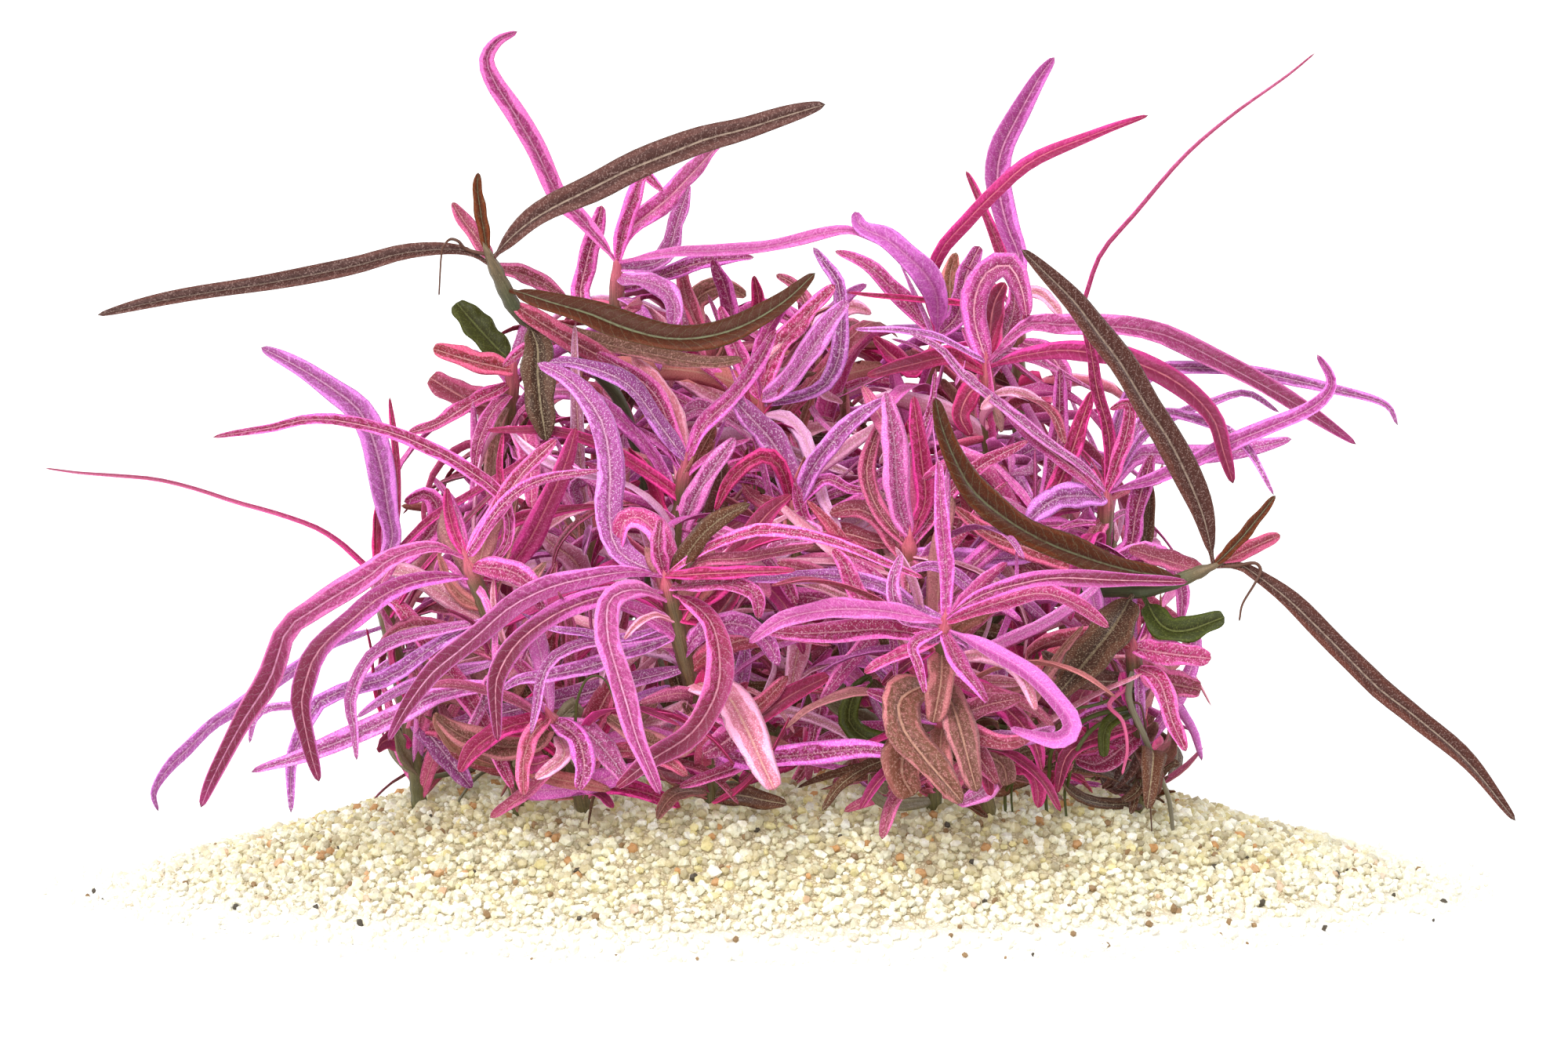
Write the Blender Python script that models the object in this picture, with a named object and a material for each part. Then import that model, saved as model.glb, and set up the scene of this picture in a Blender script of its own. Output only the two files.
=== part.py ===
"""Chai hygrophila lancea: a clump of pink, narrow-leaved stem plant rooted in a heap of pale gravel.

Metres, +Z up. The origin is the middle of the gravel's flat underside and the clump's front faces -Y.
Leaves and stems follow lines drawn in the front view, on a grid of DRAWING_STEP squares counted to the right
and down. Each line is set back or brought forward along the line of sight to its own depth in the clump.
"""

import math
import random
from dataclasses import dataclass

import bmesh
import bpy
import numpy as np
from mathutils import Matrix, Vector
from mathutils.bvhtree import BVHTree

MM = 0.001

# Front view
DRAWING_STEP = 0.15 * MM
DRAWING_MIDDLE = (1000, 667)
SIGHT_TARGET = Vector((0.0, 0.0, 71.0)) * MM
SIGHT_DISTANCE = 900.0 * MM
SIGHT_HEIGHT = math.radians(8.0)

# Gravel heap
HEAP_HALF_LENGTH = 128.0 * MM
HEAP_HALF_DEPTH = 63.0 * MM
HEAP_HEIGHT = 18.5 * MM
HEAP_RIM = 1.5 * MM
HEAP_FALL = 2.2
HEAP_ROUGHNESS = 0.5 * MM
HEAP_OUTLINE_WOBBLE = 0.035
HEAP_RINGS = (0.3, 0.58, 0.82, 1.0)
HEAP_SIDES = 24
ROOTED_DEPTH = 7.0 * MM

# Four-angled stems
FIT_GAP = 0.3 * MM
CRUMB = 0.01 * MM**3
NUDGES = (0.0, 0.02 * MM, -0.02 * MM, 0.05 * MM, -0.05 * MM)
STEM_SIDES = 4
STEM_RADIUS = 1.15 * MM
CROWN_RADIUS = 0.9 * MM
BUD_LENGTH = 5.0 * MM
STEM_STATION = 31.0 * MM
STEM_PLACES = 80
SOCKET_TOP = 4.0 * MM

# Leaves
LEAF_THICKNESS = 0.7 * MM
TIP_THINNING = 0.4
PETIOLE_HALF_WIDTH = 0.5 * MM
CHANNEL = 0.15
WIDEST_TOWARDS_BASE = 0.85
LANCE_POWER = 0.75
BLUNT_POWER = 0.5
TWIST_STEP = 0.6
LARGE_LEAF_STATIONS = 8
SMALL_LEAF_STATIONS = 5
GROWN_LEAF_STATIONS = 4
LEAF_CLEAR_OF_HEAP = 0.6 * MM
FRONT_FACE = Vector((0.0, -0.8, 0.6))
DEPTH_TRIES = (0, -3, 3, -6, 6, -9, 9, -12, 12, -16, 16, -20, 20, -25, 25)
SLIDE_TRIES = (0, -3, 3, -6, 6, -10)

# Drooping leaves in crossed pairs
DROOPING_PAIRS = 3
LOWEST_PAIR = 0.22
PAIRED_SHARE_OF_STEM = 0.72
PAIR_TRIES = 3
PAIR_SCATTER = 25.0
PAIR_LENGTH = (26.0 * MM, 48.0 * MM)
PAIR_WIDTH = (3.2, 5.2)
PAIR_RISE = (35.0, 75.0)
PAIR_BEND = (60.0, 150.0)
PAIR_TURN = 50.0
PAIR_STEPS = 5
PAIR_TONES = ("pink", "pink", "purple", "crimson", "rose", "pale")
CLUMP_HALF_LENGTH = 80.0 * MM
CLUMP_HALF_DEPTH = 67.0 * MM
CLUMP_HEIGHT = 118.0 * MM
CLUMP_ROUNDING = 3

COLOURS = {
    "pink": (0.78, 0.10, 0.42),
    "purple": (0.42, 0.17, 0.52),
    "crimson": (0.55, 0.03, 0.20),
    "rose": (0.42, 0.16, 0.17),
    "pale": (0.80, 0.42, 0.52),
    "dark": (0.16, 0.05, 0.05),
    "bronze": (0.14, 0.04, 0.012),
    "olive": (0.13, 0.11, 0.04),
    "green": (0.06, 0.12, 0.015),
    "stem": (0.20, 0.16, 0.06),
    "gravel": (0.72, 0.65, 0.48),
}


@dataclass(frozen=True)
class Shoot:
    """A stem: its foot in plan (mm), then points up it as (column, row, depth in mm), ending at the crown."""

    name: str
    foot: tuple
    rise: tuple


@dataclass(frozen=True)
class Leaf:
    """A drawn leaf: its shoot, width (mm), how far its middle and tip stand behind its base (mm), its line.

    A leaf with a node name is a solid of its own, and the others are grown into their shoot.
    """

    shoot: str
    width: float
    middle: float
    tip: float
    line: tuple
    tone: str = "pink"
    node: str = ""
    shape: str = "lance"


SHOOTS = (
    Shoot("left_low", (-50, -19), ((645, 880, -31), (625, 775, -34), (606, 742, -35), (595, 712, -36))),
    Shoot("left_outer", (-69, -8), ((515, 880, -10), (488, 790, -12), (480, 735, -13))),
    Shoot("middle_front", (-13, -24), ((888, 880, -34), (870, 830, -37), (857, 775, -39), (848, 735, -40))),
    Shoot("middle_upper", (-24, -6), ((850, 800, -10), (868, 680, -14), (875, 588, -16))),
    Shoot("middle_back", (-3, 12), ((990, 800, 10), (965, 640, 8), (970, 510, 4))),
    Shoot("right_back", (40, 16), ((1275, 800, 14), (1262, 600, 10), (1258, 462, 6))),
    Shoot("right_middle", (20, -14), ((1150, 860, -18), (1165, 760, -22), (1160, 685, -24))),
    Shoot("right_outer", (60, 2), ((1395, 850, -2), (1405, 720, -5), (1412, 628, -8))),
    Shoot("right_front", (28, -22), ((1195, 900, -36), (1208, 840, -41), (1205, 790, -44))),
    Shoot("right_low", (67, -9), ((1455, 930, -20), (1445, 820, -28))),
    Shoot("left_back", (-57, 16), ((630, 800, 14), (640, 620, 10), (655, 465, 6))),
    Shoot("left_tall", (-33, 28), ((760, 800, 27), (785, 560, 24), (785, 400, 21), (787, 335, 20))),
    Shoot("top_middle", (18, 32), ((1110, 800, 30), (1165, 600, 26), (1195, 430, 22))),
    Shoot("top_right", (48, 34), ((1310, 800, 33), (1300, 560, 30), (1298, 385, 27))),
    Shoot("low_middle", (41, -21), ((1225, 950, -36), (1195, 915, -42))),
    Shoot("low_left", (-36, -22), ((720, 950, -34), (700, 910, -40))),
    Shoot("rear_left", (-46, 40), ((700, 800, 46), (690, 650, 52))),
    Shoot("rear_middle", (-6, 42), ((960, 800, 48), (985, 610, 54))),
    Shoot("rear_right", (66, 30), ((1430, 800, 36), (1410, 640, 42))),
    Shoot("back_left", (-19, 36), ((885, 800, 35), (900, 600, 32), (905, 425, 27))),
    Shoot("back_middle", (3, 30), ((1035, 800, 32), (1045, 600, 31), (1040, 440, 28))),
    Shoot("centre", (7, -5), ((1020, 800, -9), (1010, 625, -12))),
    Shoot("centre_left", (-41, 1), ((745, 800, -4), (760, 655, -8))),
    Shoot("centre_right", (47, -7), ((1320, 800, -8), (1325, 650, -12))),
)

SPRIGS = (
    Shoot("left", (-27, 10), (
        (822, 880, 8), (832, 700, 7), (812, 560, 4), (760, 462, 0), (700, 430, -6), (655, 398, -10),
        (640, 380, -12), (628, 345, -13), (622, 322, -14),
    )),
    Shoot("right", (37, -2), (
        (1235, 900, -3), (1255, 795, -5), (1310, 752, -12), (1380, 755, -18), (1450, 755, -22),
        (1515, 748, -25), (1548, 722, -27),
    )),
)

SPRIG_LEAVES = (
    Leaf("left", 4.1, -4, -8, (
        (622, 342), (590, 320), (520, 322), (450, 340), (350, 360), (250, 376), (180, 389), (124, 402),
    ), "dark", "leaf_sprig_left_long"),
    Leaf("left", 6.2, -5, -10, (
        (632, 325), (665, 292), (700, 268), (750, 243), (800, 218), (850, 198), (900, 178), (950, 165),
        (1000, 149), (1053, 133),
    ), "dark", "leaf_sprig_left_rising"),
    Leaf("left", 6.3, -14, -16, (
        (645, 372), (700, 385), (750, 400), (800, 420), (850, 432), (900, 430), (950, 415), (1000, 385),
        (1040, 348),
    ), "bronze", "leaf_sprig_left_arched"),
    Leaf("left", 6.2, -8, -12, ((672, 412), (685, 440), (686, 480), (690, 520), (697, 562)),
         "olive", "leaf_sprig_left_hanging"),
    Leaf("left_back", 6.0, 2, 4, ((655, 462), (630, 440), (604, 412), (582, 386)),
         "green", "leaf_green_left", "blunt"),
    Leaf("right", 4.6, -6, -10, (
        (1555, 720), (1580, 722), (1600, 732), (1640, 762), (1680, 800), (1720, 840), (1760, 880),
        (1800, 910), (1870, 970), (1933, 1047),
    ), "dark", "leaf_sprig_right_long"),
    Leaf("right", 5.9, -6, -8, (
        (1547, 712), (1535, 660), (1515, 610), (1490, 560), (1460, 515), (1430, 465), (1400, 425),
        (1370, 385), (1330, 345), (1303, 318),
    ), "dark", "leaf_sprig_right_rising"),
    Leaf("right", 6.1, -12, -14, (
        (1515, 745), (1480, 735), (1430, 725), (1380, 710), (1330, 690), (1280, 660), (1240, 625),
        (1215, 580), (1200, 540), (1193, 507),
    ), "bronze", "leaf_sprig_right_arched"),
    Leaf("right", 8.0, -10, -14, ((1447, 762), (1420, 800), (1380, 850), (1345, 890)),
         "olive", "leaf_sprig_right_hanging"),
    Leaf("right", 5.5, -8, -10, ((1455, 765), (1480, 796), (1510, 805), (1562, 787)),
         "green", "leaf_green_right", "blunt"),
)

LARGE_LEAVES = (
    Leaf("left_tall", 4.3, -4, -10, (
        (785, 330), (755, 295), (735, 272), (712, 250), (685, 195), (665, 160), (650, 135), (630, 103),
        (621, 75), (635, 52), (660, 40),
    ), node="leaf_hooked_top"),
    Leaf("left_tall", 3.0, -6, 0, (
        (800, 322), (860, 322), (920, 320), (980, 315), (1050, 298), (1080, 294), (1100, 300), (1140, 318),
    ), node="leaf_top_level"),
    Leaf("top_middle", 5.2, -5, -2, (
        (1205, 420), (1195, 380), (1180, 350), (1155, 325), (1130, 305), (1100, 290), (1090, 270),
    ), node="leaf_top_broad"),
    Leaf("top_middle", 3.0, -8, -4, (
        (1190, 425), (1185, 370), (1200, 320), (1230, 285), (1270, 245), (1320, 203), (1400, 170),
        (1465, 147),
    ), "crimson", "leaf_top_arched"),
    Leaf("top_right", 5.0, 3, -4, (
        (1310, 375), (1300, 330), (1285, 290), (1275, 250), (1272, 222), (1278, 190), (1295, 155),
        (1325, 100), (1345, 73),
    ), node="leaf_top_tall"),
    Leaf("top_right", 1.2, -4, -8, (
        (1300, 400), (1350, 412), (1378, 395), (1395, 345), (1410, 315), (1450, 270), (1510, 200),
        (1570, 148), (1640, 98), (1678, 67),
    ), "crimson", "leaf_whip_right", "whip"),
    Leaf("right_back", 4.8, -12, -18, (
        (1262, 440), (1310, 415), (1350, 414), (1400, 416), (1450, 420), (1500, 433), (1580, 475),
        (1660, 520), (1730, 567),
    ), node="leaf_right_sweeping"),
    Leaf("right_back", 4.8, -18, -26, (
        (1270, 470), (1300, 455), (1350, 447), (1390, 450), (1440, 460), (1500, 487), (1545, 530),
        (1560, 575), (1573, 617),
    ), "crimson", "leaf_right_drooping"),
    Leaf("right_outer", 2.8, 4, 2, (
        (1414, 610), (1428, 530), (1470, 475), (1540, 470), (1600, 475), (1650, 485), (1700, 497),
        (1765, 515), (1783, 543),
    ), "purple", "leaf_right_slender"),
    Leaf("right_outer", 3.6, -8, -14, (
        (1420, 622), (1470, 612), (1520, 590), (1570, 565), (1620, 545), (1670, 522), (1695, 500),
        (1698, 480), (1680, 452),
    ), node="leaf_right_upturned"),
    Leaf("left_outer", 5.2, -4, -2, (
        (482, 728), (500, 690), (495, 650), (487, 600), (472, 550), (455, 520), (430, 500), (400, 480),
        (365, 460), (333, 443),
    ), "purple", "leaf_left_rising"),
    Leaf("left_low", 2.8, -2, -6, (
        (612, 740), (648, 690), (640, 635), (605, 605), (575, 585), (540, 568), (500, 552), (450, 540),
        (415, 535), (380, 537), (350, 545), (300, 553), (271, 558),
    ), node="leaf_left_level"),
    Leaf("left_outer", 1.2, -4, 0, (
        (476, 732), (450, 707), (430, 690), (400, 672), (350, 654), (300, 640), (250, 624), (200, 612),
        (150, 607), (100, 603), (57, 597),
    ), "crimson", "leaf_whip_left", "whip"),
    Leaf("left_low", 5.0, -6, -6, (
        (590, 700), (550, 697), (500, 712), (470, 735), (420, 765), (390, 785), (365, 805), (345, 865),
        (310, 920), (275, 985), (256, 1030),
    ), node="leaf_left_sweeping"),
    Leaf("left_low", 4.6, -12, -14, (
        (600, 740), (560, 737), (520, 745), (480, 765), (450, 790), (420, 815), (400, 840), (390, 870),
        (385, 900), (395, 955), (407, 997),
    ), node="leaf_left_drooping"),
    Leaf("left_outer", 3.2, 0, 4, (
        (490, 800), (450, 812), (420, 822), (390, 845), (360, 865), (300, 905), (270, 925), (240, 955),
        (215, 980), (197, 1010), (202, 1035),
    ), "purple", "leaf_left_trailing"),
    Leaf("middle_front", 4.5, -8, -4, (
        (842, 730), (800, 730), (750, 737), (700, 750), (650, 775), (610, 810), (580, 835), (550, 860),
        (520, 900), (495, 945),
    ), node="leaf_middle_sweeping"),
    Leaf("middle_front", 4.2, -14, -18, (
        (848, 757), (800, 757), (760, 763), (720, 778), (690, 795), (660, 820), (640, 850), (632, 880),
        (635, 945),
    ), node="leaf_middle_drooping"),
    Leaf("middle_front", 5.0, -14, -16, (
        (860, 755), (890, 775), (910, 800), (918, 840), (915, 880), (895, 920), (870, 945), (830, 970),
        (785, 1005),
    ), node="leaf_middle_curved"),
    Leaf("middle_front", 4.6, -20, -24, (
        (855, 770), (815, 752), (778, 765), (775, 810), (785, 850), (800, 900), (815, 950), (842, 1013),
    ), node="leaf_middle_hanging"),
    Leaf("right_front", 4.2, -10, -12, (
        (1198, 795), (1150, 783), (1100, 777), (1050, 779), (1000, 790), (955, 820),
    ), node="leaf_front_level"),
    Leaf("right_front", 3.8, -10, -12, (
        (1210, 802), (1250, 822), (1300, 850), (1340, 885), (1365, 915), (1365, 935), (1345, 945),
        (1315, 938), (1288, 928),
    ), node="leaf_front_hooked"),
    Leaf("right_front", 3.4, -12, -10, (
        (1215, 785), (1250, 760), (1300, 745), (1350, 737), (1420, 740), (1515, 742),
    ), node="leaf_front_right"),
)

SMALL_LEAVES = (
    Leaf("right_outer", 4.3, 3, -3, (
        (1408, 590), (1450, 582), (1500, 582), (1560, 578), (1600, 572), (1648, 560),
    ), "purple"),
    Leaf("left_outer", 3.8, -18, -28, (
        (490, 760), (510, 775), (530, 800), (560, 840), (590, 880), (615, 920), (655, 1008),
    )),
    Leaf("right_front", 3.0, -4, -2, ((1208, 780), (1208, 740), (1205, 700), (1200, 650), (1197, 585)),
         "crimson"),
    Leaf("middle_front", 4.4, -10, -14, (
        (900, 940), (940, 968), (990, 966), (1050, 960), (1100, 955), (1165, 965),
    )),
    Leaf("middle_front", 7.0, -12, -18, ((884, 868), (925, 885), (952, 930), (970, 970), (988, 1008)),
         "pale", shape="blunt"),
    Leaf("left_tall", 3.4, -6, -10, ((788, 325), (796, 290), (810, 250), (823, 222), (846, 244))),
    Leaf("left_tall", 5.0, -16, -44, ((790, 325), (800, 297), (850, 255), (880, 225), (935, 165))),
    Leaf("left_tall", 4.3, 4, 2, ((795, 340), (840, 335), (855, 315), (865, 280), (880, 235)), "purple"),
    Leaf("left_tall", 4.1, 5, 3, ((784, 405), (742, 385), (748, 335), (758, 300), (768, 262)), shape="blunt"),
    Leaf("left_tall", 4.8, -8, -12, ((790, 350), (840, 365), (860, 390), (858, 420)), "purple"),
    Leaf("left_back", 5.2, -2, -4, ((650, 470), (600, 460), (552, 445)), "rose", shape="blunt"),
    Leaf("left_back", 7.0, 0, 2, ((648, 528), (600, 512), (548, 482)), "rose", shape="blunt"),
    Leaf("left_back", 3.8, -6, -8, ((652, 490), (630, 500), (600, 515), (560, 540), (520, 553))),
    Leaf("left_back", 3.4, -10, -12, ((650, 500), (632, 520), (612, 560), (605, 600))),
    Leaf("middle_front", 5.5, 8, 12, (
        (846, 725), (790, 705), (777, 660), (778, 600), (770, 545), (750, 510), (720, 480), (685, 463),
    ), "purple"),
    Leaf("middle_upper", 2.6, -4, -6, (
        (868, 690), (885, 655), (850, 620), (790, 580), (740, 558), (700, 549), (620, 549),
    ), "crimson"),
    Leaf("left_low", 4.5, 4, 6, ((602, 730), (640, 730), (672, 695), (700, 640), (722, 590), (735, 545)),
         "crimson"),
    Leaf("left_outer", 1.9, -4, -6, ((482, 728), (520, 690), (560, 655), (650, 600), (700, 560)), "crimson"),
    Leaf("middle_upper", 4.3, -4, -8, ((872, 585), (840, 540), (800, 490), (740, 465), (700, 462)), "purple"),
    Leaf("middle_upper", 3.8, 2, 0, ((875, 590), (860, 560), (840, 510), (810, 480), (760, 450))),
    Leaf("middle_upper", 3.8, -4, -6, ((880, 585), (900, 540), (950, 490), (990, 420))),
    Leaf("middle_back", 6.0, -4, -6, ((975, 505), (1005, 488), (1050, 425), (1082, 383)), "purple"),
    Leaf("middle_back", 3.4, 3, 6, (
        (975, 515), (1040, 500), (1065, 470), (1073, 430), (1070, 365), (1055, 340), (1037, 315),
    ), "purple"),
    Leaf("middle_back", 3.6, -2, -4, ((965, 505), (940, 450), (918, 390))),
    Leaf("top_middle", 3.8, 4, 6, ((1180, 415), (1130, 360), (1100, 335), (1065, 320))),
    Leaf("top_right", 1.5, -8, -10, ((1298, 400), (1250, 390), (1150, 380), (1080, 373)), "crimson"),
    Leaf("right_back", 2.1, -6, -8, ((1255, 462), (1200, 432), (1150, 422), (1090, 420)), "purple"),
    Leaf("right_middle", 5.2, -3, -6, ((1158, 685), (1146, 640), (1140, 560), (1130, 500)), "purple"),
    Leaf("right_middle", 3.8, 2, 4, ((1165, 685), (1180, 640), (1176, 590), (1165, 505)), "crimson"),
    Leaf("top_right", 2.4, 5, 8, ((1296, 375), (1272, 310), (1258, 275), (1245, 245), (1232, 218)),
         "crimson"),
    Leaf("right_back", 5.5, 0, -4, (
        (1254, 455), (1242, 400), (1255, 352), (1285, 338), (1302, 365), (1310, 405),
    )),
    Leaf("right_outer", 2.6, -2, -4, ((1414, 610), (1415, 560), (1400, 500), (1390, 440), (1380, 405)),
         "crimson"),
    Leaf("right_outer", 3.1, -8, -10, ((1416, 610), (1435, 560), (1440, 515), (1415, 522))),
    Leaf("right_outer", 2.6, -6, -8, (
        (1410, 620), (1380, 595), (1330, 560), (1280, 520), (1230, 480), (1200, 445), (1160, 425),
    ), "purple"),
    Leaf("right_outer", 5.2, -6, -8, ((1408, 635), (1350, 635), (1310, 665)), "purple", shape="blunt"),
    Leaf("right_outer", 2.1, 0, -8, (
        (1414, 605), (1450, 545), (1480, 525), (1545, 540), (1580, 560), (1600, 585), (1625, 632),
    ), "purple"),
    Leaf("right_outer", 4.1, -3, -4, ((1408, 720), (1440, 700), (1450, 650), (1470, 580)), shape="blunt"),
    Leaf("right_outer", 3.0, 4, 6, ((1408, 730), (1452, 705), (1466, 655), (1466, 612)), "olive"),
    Leaf("right_low", 4.8, -5, -8, ((1450, 825), (1500, 835), (1545, 840)), shape="blunt"),
    Leaf("right_low", 6.0, 2, 2, ((1450, 845), (1480, 868), (1532, 880)), "rose", shape="blunt"),
    Leaf("right_low", 4.1, -12, -14, ((1450, 850), (1478, 868), (1495, 920), (1513, 958))),
    Leaf("right_front", 4.5, -4, -2, ((1220, 795), (1270, 770), (1330, 757), (1380, 775), (1415, 800))),
    Leaf("right_front", 3.4, -14, -16, ((1205, 805), (1225, 850), (1245, 875), (1260, 897))),
    Leaf("right_front", 2.4, -10, -12, ((1200, 800), (1165, 822), (1172, 850), (1180, 885))),
    Leaf("right_front", 5.2, -8, -10, ((1206, 830), (1200, 870), (1190, 922)), "rose", shape="blunt"),
    Leaf("right_front", 2.6, 6, 4, ((1212, 790), (1245, 765), (1220, 735), (1190, 722), (1155, 730)),
         "purple"),
    Leaf("right_front", 3.0, 6, 4, ((1200, 790), (1165, 772), (1120, 745), (1050, 735), (950, 740)),
         "purple"),
    Leaf("middle_front", 2.4, -8, -6, (
        (850, 725), (900, 700), (950, 680), (980, 676), (1030, 682), (1080, 697), (1130, 718), (1180, 738),
    )),
    Leaf("middle_front", 2.6, -4, -2, ((852, 728), (900, 715), (950, 712), (1040, 695)), "rose"),
    Leaf("middle_front", 3.0, -12, -14, ((855, 735), (900, 732), (1015, 728)), "crimson"),
    Leaf("middle_front", 4.8, 4, 10, ((862, 770), (905, 760), (940, 710), (975, 660), (1010, 630)),
         "crimson"),
    Leaf("middle_front", 3.2, -2, 0, ((848, 730), (840, 700), (843, 662))),
    Leaf("middle_front", 4.0, -16, -18, ((856, 748), (920, 744), (962, 757), (968, 790))),
    Leaf("low_middle", 4.2, -4, -6, ((1195, 925), (1150, 900), (1105, 882))),
    Leaf("low_middle", 4.4, -6, -8, ((1198, 925), (1250, 902), (1302, 890)), "rose"),
    Leaf("low_middle", 8.0, -10, -12, ((1195, 935), (1160, 950), (1150, 985), (1165, 1015)), "pale",
         shape="blunt"),
    Leaf("low_middle", 4.2, -8, -10, ((1200, 930), (1240, 955), (1272, 1000))),
    Leaf("low_middle", 4.4, -12, -14, ((1195, 930), (1200, 965), (1215, 1008)), "pale"),
    Leaf("low_middle", 4.2, 4, 6, ((1200, 945), (1130, 950), (1085, 925), (1090, 885), (1112, 862)),
         "green", shape="blunt"),
    Leaf("low_left", 4.2, -4, -8, ((700, 920), (655, 925), (610, 950), (585, 985)), "crimson"),
    Leaf("low_left", 4.6, -8, -12, ((702, 920), (735, 940), (745, 975), (738, 1008))),
    Leaf("low_left", 3.6, 2, 4, ((705, 925), (735, 900), (722, 940), (745, 985)), "olive"),
    Leaf("left_outer", 3.4, 2, 4, ((525, 985), (512, 965), (495, 925)), "olive"),
    Leaf("left_low", 4.5, -6, -8, ((605, 720), (650, 728), (680, 750), (695, 780))),
    Leaf("left_low", 2.4, -4, -6, ((596, 708), (640, 645), (690, 612), (765, 600))),
    Leaf("left_low", 3.2, 6, 8, ((598, 712), (650, 668), (700, 655), (765, 645)), "crimson"),
    Leaf("left_low", 2.4, 2, 2, ((594, 705), (580, 680), (572, 650), (570, 622)), "crimson"),
    Leaf("left_low", 2.6, -4, -6, (
        (628, 790), (560, 803), (510, 815), (470, 840), (447, 890), (452, 930), (455, 970),
    ), "purple"),
    Leaf("left_low", 3.0, 8, 10, ((640, 840), (540, 870), (500, 885), (455, 915)), "purple"),
    Leaf("left_low", 4.2, -6, -8, ((645, 870), (560, 885), (520, 905), (460, 935), (390, 962), (320, 985)),
         "purple"),
    Leaf("left_low", 3.2, -2, 0, (
        (624, 785), (560, 820), (500, 862), (440, 880), (405, 897), (385, 935), (372, 975), (371, 1037),
    ), "purple"),
    Leaf("left_outer", 1.8, 0, 0, ((479, 730), (480, 680), (482, 637)), "crimson"),
    Leaf("left_outer", 1.8, 4, 6, ((482, 728), (505, 660), (506, 590), (497, 506)), "crimson"),
    Leaf("left_outer", 2.4, -4, -4, (
        (502, 840), (450, 878), (400, 898), (345, 903), (325, 918), (318, 948),
    ), "purple"),
    Leaf("left_outer", 4.5, -6, -8, ((482, 730), (530, 700), (560, 660), (545, 630), (515, 640))),
    Leaf("left", 2.4, -1, -2, ((621, 325), (613, 270), (609, 240), (610, 220)), "bronze"),
    Leaf("left", 3.4, 3, 4, ((622, 335), (605, 300), (590, 280), (577, 258)), "rose"),
    Leaf("left", 3.8, 5, 7, ((628, 345), (680, 355), (722, 380)), "rose"),
    Leaf("left", 4.5, 3, 3, ((645, 385), (700, 418), (760, 452), (805, 475)), "rose"),
    Leaf("right", 2.4, -2, -3, ((1548, 722), (1580, 690), (1605, 660), (1627, 632)), "bronze"),
    Leaf("right", 3.8, 4, 5, ((1546, 724), (1590, 702), (1633, 682)), "rose"),
    Leaf("right", 4.8, 6, 8, ((1535, 734), (1490, 716), (1440, 700)), "rose"),
    Leaf("right", 5.2, 3, 2, ((1500, 750), (1440, 735), (1380, 722), (1320, 702), (1262, 682), (1215, 646)),
         "rose"),
)


def sight_line_point(column, row, depth):
    """The point that the drawing shows at a grid place, at a depth in metres behind the clump's middle."""
    up = Vector((0.0, math.sin(SIGHT_HEIGHT), math.cos(SIGHT_HEIGHT)))
    back = Vector((0.0, -math.cos(SIGHT_HEIGHT), math.sin(SIGHT_HEIGHT)))
    eye = SIGHT_TARGET + back * SIGHT_DISTANCE
    aim = SIGHT_TARGET + up * ((DRAWING_MIDDLE[1] - row) * DRAWING_STEP)
    aim.x += (column - DRAWING_MIDDLE[0]) * DRAWING_STEP
    return eye + (aim - eye) * ((depth - eye.y) / (aim.y - eye.y))


def curve_through(points, steps=8):
    """Close points along a smooth curve through the given ones."""
    ends = [points[0] * 2 - points[1], *points, points[-1] * 2 - points[-2]]
    curve = []
    for a, b, c, d in zip(ends, ends[1:], ends[2:], ends[3:]):
        for step in range(steps):
            s = step / steps
            bend = (a * 2 - b * 5 + c * 4 - d) * s * s + (b * 3 - a - c * 3 + d) * s * s * s
            curve.append((b * 2 + (c - a) * s + bend) * 0.5)
    curve.append(points[-1].copy())
    return curve


def spaced(curve, count):
    """Count points at equal steps along a run of close points."""
    reach = [0.0]
    for a, b in zip(curve, curve[1:]):
        reach.append(reach[-1] + (b - a).length)
    wanted = np.linspace(0.0, reach[-1], count)
    axes = [np.interp(wanted, reach, [p[axis] for p in curve]) for axis in range(3)]
    return [Vector(p) for p in zip(*axes)]


def heap_height(x, y):
    """The height of the gravel at a place in plan."""
    out = math.hypot(x / HEAP_HALF_LENGTH, y / HEAP_HALF_DEPTH)
    return HEAP_RIM + HEAP_HEIGHT * max(0.0, 1.0 - out**HEAP_FALL)


def headings(line):
    """The direction of travel at each point of a line."""
    ahead = line[1:] + [line[-1] * 2 - line[-2]]
    behind = [line[0] * 2 - line[1]] + line[:-1]
    return [(b - a).normalized() for a, b in zip(behind, ahead)]


def share_of_width(along, shape):
    """How wide a leaf is at a share of its length, next to its full width."""
    if shape == "whip":
        return (1.0 - along) ** 0.5
    power = BLUNT_POWER if shape == "blunt" else LANCE_POWER
    eased = along**WIDEST_TOWARDS_BASE
    return max(0.0, 4.0 * eased * (1.0 - eased)) ** power


def leaf_rings(line, leaf, face, grow=0.0):
    """Rings of corners along a leaf, last the tip alone: two edges, raised beside the keel of the midrib."""
    rings = []
    normal = face
    for index, (point, heading) in enumerate(zip(line[:-1], headings(line))):
        along = index / (len(line) - 1)
        normal = face * TWIST_STEP + normal * (1.0 - TWIST_STEP)
        normal = (normal - heading * normal.dot(heading)).normalized()
        side = heading.cross(normal)
        half = 0.5 * leaf.width * MM * share_of_width(along, leaf.shape)
        half = max(PETIOLE_HALF_WIDTH, half) + grow
        thick = 0.5 * LEAF_THICKNESS * (1.0 - TIP_THINNING * along) + grow
        edge = normal * (CHANNEL * half)
        rings.append([point - side * half + edge, point - normal * thick, point + side * half + edge])
    rings.append([line[-1]])
    return rings


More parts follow.
